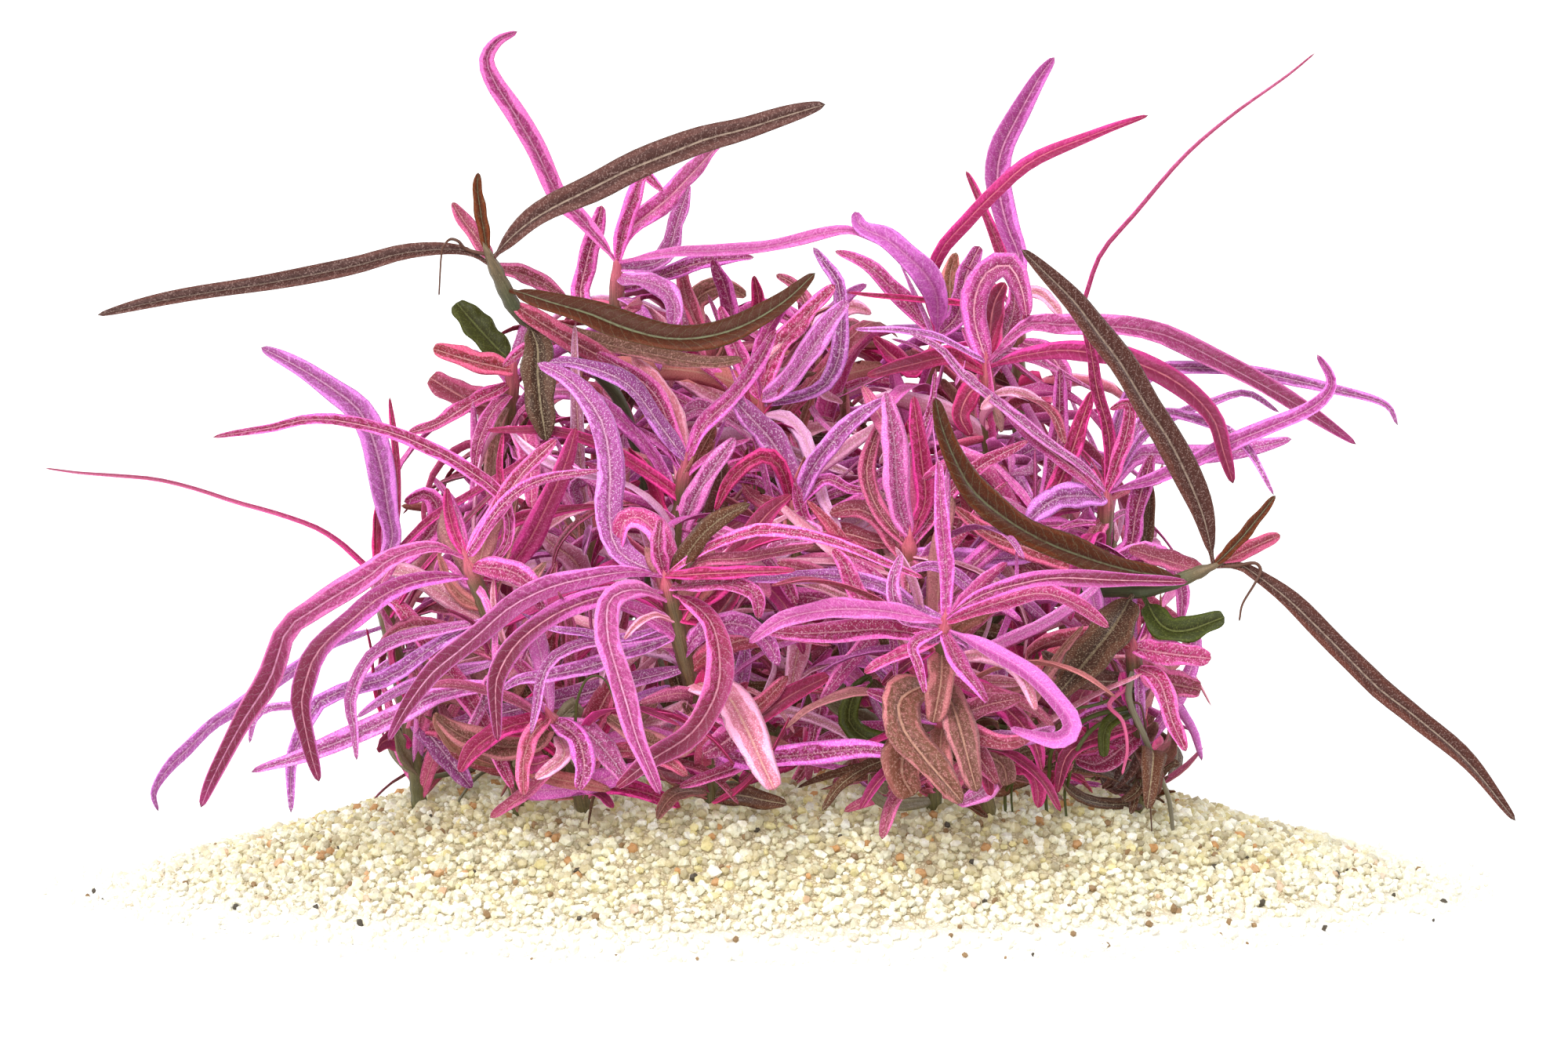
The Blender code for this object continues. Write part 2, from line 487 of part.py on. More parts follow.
def skin(rings):
    """Corners and faces of a closed skin over rings that end in a single tip."""
    corners = [corner for ring in rings for corner in ring]
    count = len(rings[0])
    faces = [tuple(range(count))]
    for ring in range(len(rings) - 2):
        for side in range(count):
            a = ring * count + side
            b = ring * count + (side + 1) % count
            faces.append((b, a, a + count, b + count))
    tip = len(corners) - 1
    last = (len(rings) - 2) * count
    for side in range(count):
        faces.append((last + (side + 1) % count, last + side, tip))
    return corners, faces


def stem_curve(shoot):
    """Close points up a stem, from its rooted foot to its crown."""
    x, y = (value * MM for value in shoot.foot)
    ground = heap_height(x, y)
    rooted = Vector((x, y, ground - ROOTED_DEPTH))
    surface = Vector((x, y, ground))
    rise = [sight_line_point(column, row, depth * MM) for column, row, depth in shoot.rise]
    return curve_through([rooted, surface, *rise])


def tube_ring(line, index, radius):
    """The corners of a tube round one point of its line."""
    heading = headings(line)[index]
    side = heading.cross(Vector((0.0, 1.0, 0.0))).normalized() * radius
    turns = [Matrix.Rotation(math.tau * k / STEM_SIDES, 3, heading) for k in range(STEM_SIDES)]
    return [line[index] + turn @ side for turn in turns]


def stem_line(shoot):
    """The points of a stem's solid, from its rooted foot to its crown."""
    curve = stem_curve(shoot)
    length = sum((b - a).length for a, b in zip(curve, curve[1:]))
    return spaced(curve, max(len(shoot.rise) + 1, round(length / STEM_STATION) + 1))


def stem_rings(line):
    """Rings of corners up a stem, ending in the tip of its bud."""
    thinner = (STEM_RADIUS - CROWN_RADIUS) / (len(line) - 1)
    rings = [tube_ring(line, index, STEM_RADIUS - thinner * index) for index in range(len(line))]
    return [*rings, [line[-1] + headings(line)[-1] * BUD_LENGTH]]


def new_object(name, corners, faces, colour):
    """An object with a closed mesh of flat triangles that face outwards."""
    mesh = bpy.data.meshes.new(name)
    work = bmesh.new()
    made = [work.verts.new(corner) for corner in corners]
    for face in faces:
        work.faces.new([made[index] for index in face])
    bmesh.ops.triangulate(work, faces=work.faces)
    bmesh.ops.recalc_face_normals(work, faces=work.faces)
    work.to_mesh(mesh)
    work.free()
    mesh.shade_smooth()
    mesh.materials.append(material(colour))
    made_object = bpy.data.objects.new(name, mesh)
    bpy.context.collection.objects.link(made_object)
    return made_object


def material(colour):
    """The material of a colour's name, made once."""
    found = bpy.data.materials.get(colour)
    if found:
        return found
    made = bpy.data.materials.new(colour)
    made.use_nodes = True
    shader = made.node_tree.nodes["Principled BSDF"]
    shader.inputs["Base Color"].default_value = (*COLOURS[colour], 1.0)
    shader.inputs["Roughness"].default_value = 0.9 if colour == "gravel" else 0.5
    shader.inputs["Metallic"].default_value = 0.0
    return made


def changed_by(body, other, operation, solver):
    """The mesh of a body once another is joined to it or cut out of it."""
    change = body.modifiers.new("change", "BOOLEAN")
    change.operation = operation
    change.solver = solver
    change.object = other
    bpy.context.view_layer.update()
    graph = bpy.context.evaluated_depsgraph_get()
    mesh = bpy.data.meshes.new_from_object(body.evaluated_get(graph))
    body.modifiers.clear()
    return mesh


def shells_of(work):
    """The separate shells of a mesh being worked on, each as a set of its faces."""
    left = set(work.faces)
    shells = []
    while left:
        shell = set()
        edge_of = [left.pop()]
        while edge_of:
            face = edge_of.pop()
            shell.add(face)
            near = {other for edge in face.edges for other in edge.link_faces} & left
            left -= near
            edge_of.extend(near)
        shells.append(shell)
    return shells


def volume_of(faces):
    """The volume inside a set of faces, below nought where they face inwards."""
    return sum(
        a.co.cross(b.co).dot(face.verts[0].co) / 6.0
        for face in faces
        for a, b in zip(face.verts[1:], face.verts[2:])
    )


def trimmed(mesh):
    """Drops a mesh's crumbs and sealed pockets: its volume, or nought unless it is one closed body."""
    work = bmesh.new()
    work.from_mesh(mesh)
    shells = shells_of(work)
    extra = [shell for shell in shells if volume_of(shell) < CRUMB]
    for shell in extra:
        bmesh.ops.delete(work, geom=list(shell), context="FACES")
    whole = len(shells) - len(extra) == 1 and all(len(edge.link_faces) == 2 for edge in work.edges)
    volume = work.calc_volume() if whole else 0.0
    work.to_mesh(mesh)
    work.free()
    return volume


def combine(body, others, operation):
    """Joins the others to a body, or cuts them out of it, one by one, and removes them."""
    volume = trimmed(body.data)
    for other in others:
        body.data, volume = sound_change(body, other, operation, volume)
        bpy.data.objects.remove(other)


def sound_change(body, other, operation, volume):
    """The mesh of a body once changed by another, and its volume: a hair's nudge helps where faces meet."""
    way = 1.0 if operation == "UNION" else -1.0
    for nudge in NUDGES:
        other.location.z = nudge
        for solver in ("EXACT", "MANIFOLD"):
            mesh = changed_by(body, other, operation, solver)
            new_volume = trimmed(mesh)
            if new_volume and way * (new_volume - volume) > 0.0:
                return mesh, new_volume
    raise ValueError(f"{other.name} leaves {body.name} in pieces")


class Space:
    """The room that a solid takes, from the rings of its skin."""

    def __init__(self, rings):
        corners, faces = skin(rings)
        self.low = np.min(corners, axis=0)
        self.high = np.max(corners, axis=0)
        self.tree = BVHTree.FromPolygons(corners, faces)

    def touches(self, other):
        """Whether two solids' skins meet."""
        if (self.low > other.high).any() or (self.high < other.low).any():
            return False
        return bool(self.tree.overlap(other.tree))


class Clump:
    """Every stem and leaf placed so far, which a new leaf has to keep clear of."""

    def __init__(self):
        self.stems = {}
        self.solids = []
        self.leaves = []

    def add_stem(self, shoot):
        """Takes a stem in."""
        line = stem_line(shoot)
        self.stems[shoot.name] = spaced(line, STEM_PLACES)
        solid = Space(stem_rings(line))
        self.solids.append((shoot.name, "stem", solid, solid))

    def is_clear(self, leaf, line, face):
        """Whether a leaf along this line keeps its gap to the heap and to every solid but its own stem."""
        if any(p.z < heap_height(p.x, p.y) + LEAF_CLEAR_OF_HEAP for p in line[1:]):
            return False
        rings = leaf_rings(line, leaf, face, FIT_GAP)
        whole = Space(rings)
        outer = Space(rings[1:])
        for shoot, node, other_whole, other_outer in self.solids:
            fused = shoot == leaf.shoot and not leaf.node
            if fused and node == "stem":
                continue
            if fused and not node:
                if outer.touches(other_outer):
                    return False
            elif whole.touches(other_whole):
                return False
        return True

    def drawn_line(self, leaf, shift, slide):
        """A drawn leaf's points in space: it starts on its stem, slid along it, and keeps its drawn line."""
        stem = self.stems[leaf.shoot]
        column, row = leaf.line[0]
        gaps = [(p - sight_line_point(column, row, p.y)).length for p in stem]
        start = min(range(len(stem)), key=gaps.__getitem__)
        spacing = sum((b - a).length for a, b in zip(stem, stem[1:])) / (len(stem) - 1)
        start = min(max(start + round(slide * MM / spacing), 0), len(stem) - 1)
        base = stem[start]
        steps = [math.dist(a, b) for a, b in zip(leaf.line, leaf.line[1:])]
        points = [base]
        reach = 0.0
        for step, (column, row) in zip(steps, leaf.line[1:]):
            reach += step
            s = reach / sum(steps)
            middle = (leaf.middle + shift) * 4.0 * s * (1.0 - s)
            tip = (leaf.tip + shift) * s * (2.0 * s - 1.0)
            points.append(sight_line_point(column, row, base.y + (middle + tip) * MM))
        curve = curve_through(points)
        if leaf.node:
            away = STEM_RADIUS + FIT_GAP + PETIOLE_HALF_WIDTH
            first = next(i for i, p in enumerate(curve) if min((p - q).length for q in stem) > away)
            curve = curve[first:]
        return curve

    def place(self, leaf, curve, face):
        """Takes a leaf in if it is clear, and says whether it did."""
        line = spaced(curve, leaf_stations(leaf))
        if not self.is_clear(leaf, line, face):
            return False
        rings = leaf_rings(line, leaf, face)
        self.solids.append((leaf.shoot, leaf.node, Space(rings), Space(rings[1:])))
        self.leaves.append((leaf, curve, face, skin(rings)))
        return True

    def place_drawn(self, leaf):
        """Places a drawn leaf at the first depth and height on its stem that leave it clear."""
        face = FRONT_FACE.normalized()
        for slide in SLIDE_TRIES:
            for shift in DEPTH_TRIES:
                if self.place(leaf, self.drawn_line(leaf, shift, slide), face):
                    return
        raise ValueError(f"no room for the {leaf.tone} leaf of {leaf.shoot} at {leaf.line[-1]}")

    def grow_pairs(self, shoot, pairs, seed):
        """Grows drooping leaves in crossed pairs up a stem, where there is room for them."""
        chance = random.Random(seed)
        stem = self.stems[shoot.name]
        first_way = chance.uniform(0.0, math.pi)
        for pair in range(pairs):
            height = LOWEST_PAIR + PAIRED_SHARE_OF_STEM * (pair + 0.5) / pairs
            start = stem[round(height * (len(stem) - 1))]
            for half in range(2):
                way = first_way + 0.5 * math.pi * pair + math.pi * half
                for _ in range(PAIR_TRIES):
                    leaf, curve, face = grown_leaf(shoot.name, start, way, chance)
                    inside = all(in_clump(p) for p in curve)
                    if inside and self.place(leaf, curve, face):
                        break


def leaf_stations(leaf):
    """How many points the solid of a leaf has along it."""
    if leaf.node:
        return LARGE_LEAF_STATIONS
    return SMALL_LEAF_STATIONS if leaf.line else GROWN_LEAF_STATIONS


def in_clump(point):
    """Whether a point is inside the rounded block that the clump fills."""
    block = (CLUMP_HALF_LENGTH, CLUMP_HALF_DEPTH, CLUMP_HEIGHT)
    return sum(abs(place / half) ** CLUMP_ROUNDING for place, half in zip(point, block)) < 1.0


def grown_leaf(shoot, start, way, chance):
    """A leaf that leaves its stem one way, rises and bends over: its size, its curve and its face."""
    length = chance.uniform(*PAIR_LENGTH)
    width = chance.uniform(*PAIR_WIDTH)
    rise = math.radians(chance.uniform(*PAIR_RISE))
    bend = math.radians(chance.uniform(*PAIR_BEND))
    turn = math.radians(chance.uniform(-PAIR_TURN, PAIR_TURN))
    way += math.radians(chance.uniform(-PAIR_SCATTER, PAIR_SCATTER))
    tone = chance.choice(PAIR_TONES)
    points = [start]
    for step in range(PAIR_STEPS):
        s = (step + 0.5) / PAIR_STEPS
        pitch = rise - bend * s
        heading = way + turn * s
        level = math.cos(pitch)
        along = Vector((level * math.cos(heading), level * math.sin(heading), math.sin(pitch)))
        points.append(points[-1] + along * (length / PAIR_STEPS))
    outward = Vector((math.cos(way), math.sin(way), 0.0))
    face = (Vector((0.0, 0.0, 0.85)) + outward * 0.5).normalized()
    return Leaf(shoot, width, 0, 0, (), tone), curve_through(points, 4), face


def gravel_bed(stems):
    """The heap: a low mound with a flat underside, an uneven top and outline, and a socket for each stem."""
    chance = random.Random(3)
    phases = [chance.uniform(0.0, math.tau) for _ in range(3)]
    corners = [Vector((0.0, 0.0, heap_height(0.0, 0.0)))]
    faces = []
    for ring, share in enumerate(HEAP_RINGS):
        for side in range(HEAP_SIDES):
            way = math.tau * side / HEAP_SIDES
            wobble = sum(math.sin((k + 2) * way + phase) for k, phase in enumerate(phases)) / 3.0
            out = share * (1.0 + HEAP_OUTLINE_WOBBLE * wobble * share)
            x = HEAP_HALF_LENGTH * out * math.cos(way)
            y = HEAP_HALF_DEPTH * out * math.sin(way)
            rough = chance.uniform(-HEAP_ROUGHNESS, HEAP_ROUGHNESS) if share < 1.0 else 0.0
            corners.append(Vector((x, y, heap_height(x, y) + rough)))
            a = 1 + ring * HEAP_SIDES + side
            b = 1 + ring * HEAP_SIDES + (side + 1) % HEAP_SIDES
            if ring == 0:
                faces.append((0, a, b))
            else:
                faces.append((a - HEAP_SIDES, a, b, b - HEAP_SIDES))
    rim = 1 + (len(HEAP_RINGS) - 1) * HEAP_SIDES
    foot = len(corners)
    corners += [Vector((corner.x, corner.y, 0.0)) for corner in corners[rim:]]
    for side in range(HEAP_SIDES):
        after = (side + 1) % HEAP_SIDES
        faces.append((rim + side, foot + side, foot + after, rim + after))
    faces.append(tuple(range(foot + HEAP_SIDES - 1, foot - 1, -1)))
    heap = new_object("gravel_bed", corners, faces, "gravel")
    combine(heap, [socket(stem) for stem in stems], "DIFFERENCE")


def socket(stem):
    """The space that the foot of a stem takes in the gravel."""
    foot = stem[0] + (stem[0] - stem[1]).normalized() * FIT_GAP
    above = next(p for p in stem if p.z > heap_height(p.x, p.y) + SOCKET_TOP)
    rings = [tube_ring([foot, above], index, STEM_RADIUS + FIT_GAP) for index in range(2)]
    return new_object("socket", *skin([*rings, [above + (above - foot)]]), "gravel")


def grown_clump():
    """Every stem and leaf of the plant, in place."""
    clump = Clump()
    for shoot in SHOOTS + SPRIGS:
        clump.add_stem(shoot)
    for leaf in SPRIG_LEAVES + LARGE_LEAVES + SMALL_LEAVES:
        clump.place_drawn(leaf)
    for seed, shoot in enumerate(SHOOTS):
        clump.grow_pairs(shoot, DROOPING_PAIRS, seed)
    return clump


def main():
    """Builds the whole plant in its gravel."""
    for old in list(bpy.data.objects):
        bpy.data.objects.remove(old)
    clump = grown_clump()
    gravel_bed(clump.stems.values())
    for shoot in SHOOTS + SPRIGS:
        name = ("shoot_" if shoot in SHOOTS else "sprig_") + shoot.name
        stem = new_object(name, *skin(stem_rings(stem_line(shoot))), "stem")
        own = [solid for leaf, _, _, solid in clump.leaves if leaf.shoot == shoot.name and not leaf.node]
        combine(stem, [new_object("small_leaf", *solid, "pink") for solid in own], "UNION")
    for leaf, _, _, solid in clump.leaves:
        if leaf.node:
            new_object(leaf.node, *solid, leaf.tone)


if __name__ == "__main__":
    main()
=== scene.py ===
"""The looks of a chai hygrophila lancea: a bushy clump of pink stem plant rooted in a heap of pale gravel.

Metres, +Z up. The origin is the middle of the gravel's flat underside, and the clump's front faces -Y.
Stems and leaves follow lines drawn in the front view, on a grid of small squares counted to the right and
down. Each line is set back or brought forward along the line of sight, to its own depth in the clump.
"""

from __future__ import annotations

import logging
import math
import random
from collections.abc import Iterable, Sequence
from dataclasses import dataclass, field
from enum import Enum

import bpy
import numpy as np
from mathutils import Matrix, Vector
from mathutils.bvhtree import BVHTree

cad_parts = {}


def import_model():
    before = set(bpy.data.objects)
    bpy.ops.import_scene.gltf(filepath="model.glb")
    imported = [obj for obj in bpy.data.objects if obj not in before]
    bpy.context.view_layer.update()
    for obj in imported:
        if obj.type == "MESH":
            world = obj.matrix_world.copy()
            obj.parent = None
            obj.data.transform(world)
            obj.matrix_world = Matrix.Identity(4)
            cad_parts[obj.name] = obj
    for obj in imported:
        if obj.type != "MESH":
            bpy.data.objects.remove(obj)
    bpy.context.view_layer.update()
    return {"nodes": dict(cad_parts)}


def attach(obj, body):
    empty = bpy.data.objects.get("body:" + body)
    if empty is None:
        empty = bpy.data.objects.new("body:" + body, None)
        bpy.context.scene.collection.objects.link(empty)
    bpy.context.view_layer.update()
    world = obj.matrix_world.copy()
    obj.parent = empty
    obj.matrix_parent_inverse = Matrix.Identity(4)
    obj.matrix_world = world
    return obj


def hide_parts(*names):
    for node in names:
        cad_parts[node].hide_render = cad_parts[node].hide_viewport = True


LOG = logging.getLogger("plant")
MM = 0.001
BODY = "root"

# Where the runs of chance start: those of the pieces, and those of the leaves that grow by a rule.
SHOOT_SEEDS = 40
SPRIG_SEEDS = 80
LARGE_LEAF_SEEDS = 200
FILLING_SEEDS = 100
THICKENING_SEEDS = 900

Line = list[Vector]
Rings = list[list[Vector]]
Colour = tuple[int, int, int]


class Tone(Enum):
    """The colour family of a leaf."""

    PINK = "pink"
    PURPLE = "purple"
    CRIMSON = "crimson"
    ROSE = "rose"
    PALE = "pale"
    DARK = "dark"
    BRONZE = "bronze"
    OLIVE = "olive"
    GREEN = "green"
    BROWN = "brown"
    FADED = "faded"
    ORCHID = "orchid"


class Outline(Enum):
    """The outline of a leaf's blade."""

    LANCE = "lance"
    BLUNT = "blunt"
    WHIP = "whip"


@dataclass(frozen=True)
class Shoot:
    """A stem: its foot in plan (mm), then points up it as (column, row, depth in mm), ending at the crown."""

    name: str
    foot: tuple[float, float]
    rise: tuple[tuple[float, float, float], ...]


@dataclass(frozen=True)
class Leaf:
    """A leaf: its shoot, width (mm), how far its middle and tip stand behind its base (mm), and its line.

    A leaf with a node name is a solid of its own in the frame, and the others are grown into their shoot.
    How far its outer part has turned brown, and how plain its band is, are left to chance where they aren't
    given.
    """

    shoot: str
    width: float
    middle: float
    tip: float
    line: tuple[tuple[float, float], ...]
    tone: Tone = Tone.PINK
    node: str = ""
    shape: Outline = Outline.LANCE
    browned: float | None = None
    banded: float | None = None


@dataclass(frozen=True)
class Strand:
    """A tendril, rootlet or wisp: the shoot it grows from, its radius (mm), tone, and points with depth (mm).

    A rooted one goes on down into the gravel.
    """

    shoot: str
    radius: float
    tone: Tone
    line: tuple[tuple[float, float, float], ...]
    rooted: bool = False


SHOOTS = (
    Shoot("left_low", (-50, -19), ((645, 880, -31), (625, 775, -34), (606, 742, -35), (595, 712, -36))),
    Shoot("left_outer", (-69, -8), ((515, 880, -10), (488, 790, -12), (480, 735, -13))),
    Shoot("middle_front", (-13, -24), ((888, 880, -34), (870, 830, -37), (857, 775, -39), (848, 735, -40))),
    Shoot("middle_upper", (-24, -6), ((850, 800, -10), (868, 680, -14), (875, 588, -16))),
    Shoot("middle_back", (-3, 12), ((990, 800, 10), (965, 640, 8), (970, 510, 4))),
    Shoot("right_back", (40, 16), ((1275, 800, 14), (1262, 600, 10), (1258, 462, 6))),
    Shoot("right_middle", (20, -14), ((1150, 860, -18), (1165, 760, -22), (1160, 685, -24))),
    Shoot("right_outer", (60, 2), ((1395, 850, -2), (1405, 720, -5), (1412, 628, -8))),
    Shoot("right_front", (28, -22), ((1195, 900, -36), (1208, 840, -41), (1205, 790, -44))),
    Shoot("right_low", (67, -9), ((1455, 930, -20), (1445, 820, -28))),
    Shoot("left_back", (-57, 16), ((630, 800, 14), (640, 620, 10), (655, 465, 6))),
    Shoot("left_tall", (-33, 28), ((760, 800, 27), (785, 560, 24), (785, 400, 21), (787, 335, 20))),
    Shoot("top_middle", (18, 32), ((1110, 800, 30), (1165, 600, 26), (1195, 430, 22))),
    Shoot("top_right", (48, 34), ((1310, 800, 33), (1300, 560, 30), (1298, 385, 27))),
    Shoot("low_middle", (41, -21), ((1225, 950, -36), (1195, 915, -42))),
    Shoot("low_left", (-36, -22), ((720, 950, -34), (700, 910, -40))),
    Shoot("rear_left", (-46, 40), ((700, 800, 46), (690, 650, 52))),
    Shoot("rear_middle", (-6, 42), ((960, 800, 48), (985, 610, 54))),
    Shoot("rear_right", (66, 30), ((1430, 800, 36), (1410, 640, 42))),
    Shoot("back_left", (-19, 36), ((885, 800, 35), (900, 600, 32), (905, 425, 27))),
    Shoot("back_middle", (3, 30), ((1035, 800, 32), (1045, 600, 31), (1040, 440, 28))),
    Shoot("centre", (7, -5), ((1020, 800, -9), (1010, 625, -12))),
    Shoot("centre_left", (-41, 1), ((745, 800, -4), (760, 655, -8))),
    Shoot("centre_right", (47, -7), ((1320, 800, -8), (1325, 650, -12))),
)

SPRIGS = (
    Shoot("left", (-27, 10), (
        (822, 880, 8), (832, 700, 7), (812, 560, 4), (760, 462, 0), (700, 430, -6), (655, 398, -10),
        (640, 380, -12), (628, 345, -13), (622, 322, -14),
    )),
    Shoot("right", (37, -2), (
        (1235, 900, -3), (1255, 795, -5), (1310, 752, -12), (1380, 755, -18), (1450, 755, -22),
        (1515, 748, -25), (1548, 722, -27),
    )),
)

SPRIG_LEAVES = (
    Leaf("left", 4.1, -4, -8, (
        (622, 342), (590, 320), (520, 322), (450, 340), (350, 360), (250, 376), (180, 389), (124, 402),
    ), Tone.DARK, "leaf_sprig_left_long"),
    Leaf("left", 6.2, -5, -10, (
        (632, 325), (665, 292), (700, 268), (750, 243), (800, 218), (850, 198), (900, 178), (950, 165),
        (1000, 149), (1053, 133),
    ), Tone.DARK, "leaf_sprig_left_rising"),
    Leaf("left", 6.3, -14, -16, (
        (645, 372), (700, 385), (750, 400), (800, 420), (850, 432), (900, 430), (950, 415), (1000, 385),
        (1040, 348),
    ), Tone.BRONZE, "leaf_sprig_left_arched"),
    Leaf("left", 6.2, -8, -12, ((672, 412), (685, 440), (686, 480), (690, 520), (697, 562)),
         Tone.OLIVE, "leaf_sprig_left_hanging"),
    Leaf("left_back", 6.0, 2, 4, ((655, 462), (630, 440), (604, 412), (582, 386)),
         Tone.GREEN, "leaf_green_left", Outline.BLUNT),
    Leaf("right", 4.6, -6, -10, (
        (1555, 720), (1580, 722), (1600, 732), (1640, 762), (1680, 800), (1720, 840), (1760, 880),
        (1800, 910), (1870, 970), (1933, 1047),
    ), Tone.DARK, "leaf_sprig_right_long"),
    Leaf("right", 5.9, -6, -8, (
        (1547, 712), (1535, 660), (1515, 610), (1490, 560), (1460, 515), (1430, 465), (1400, 425),
        (1370, 385), (1330, 345), (1303, 318),
    ), Tone.DARK, "leaf_sprig_right_rising"),
    Leaf("right", 6.1, -12, -14, (
        (1515, 745), (1480, 735), (1430, 725), (1380, 710), (1330, 690), (1280, 660), (1240, 625),
        (1215, 580), (1200, 540), (1193, 507),
    ), Tone.BRONZE, "leaf_sprig_right_arched"),
    Leaf("right", 8.0, -10, -14, ((1447, 762), (1420, 800), (1380, 850), (1345, 890)),
         Tone.OLIVE, "leaf_sprig_right_hanging"),
    Leaf("right", 5.5, -8, -10, ((1455, 765), (1480, 796), (1510, 805), (1562, 787)),
         Tone.GREEN, "leaf_green_right", Outline.BLUNT),
)

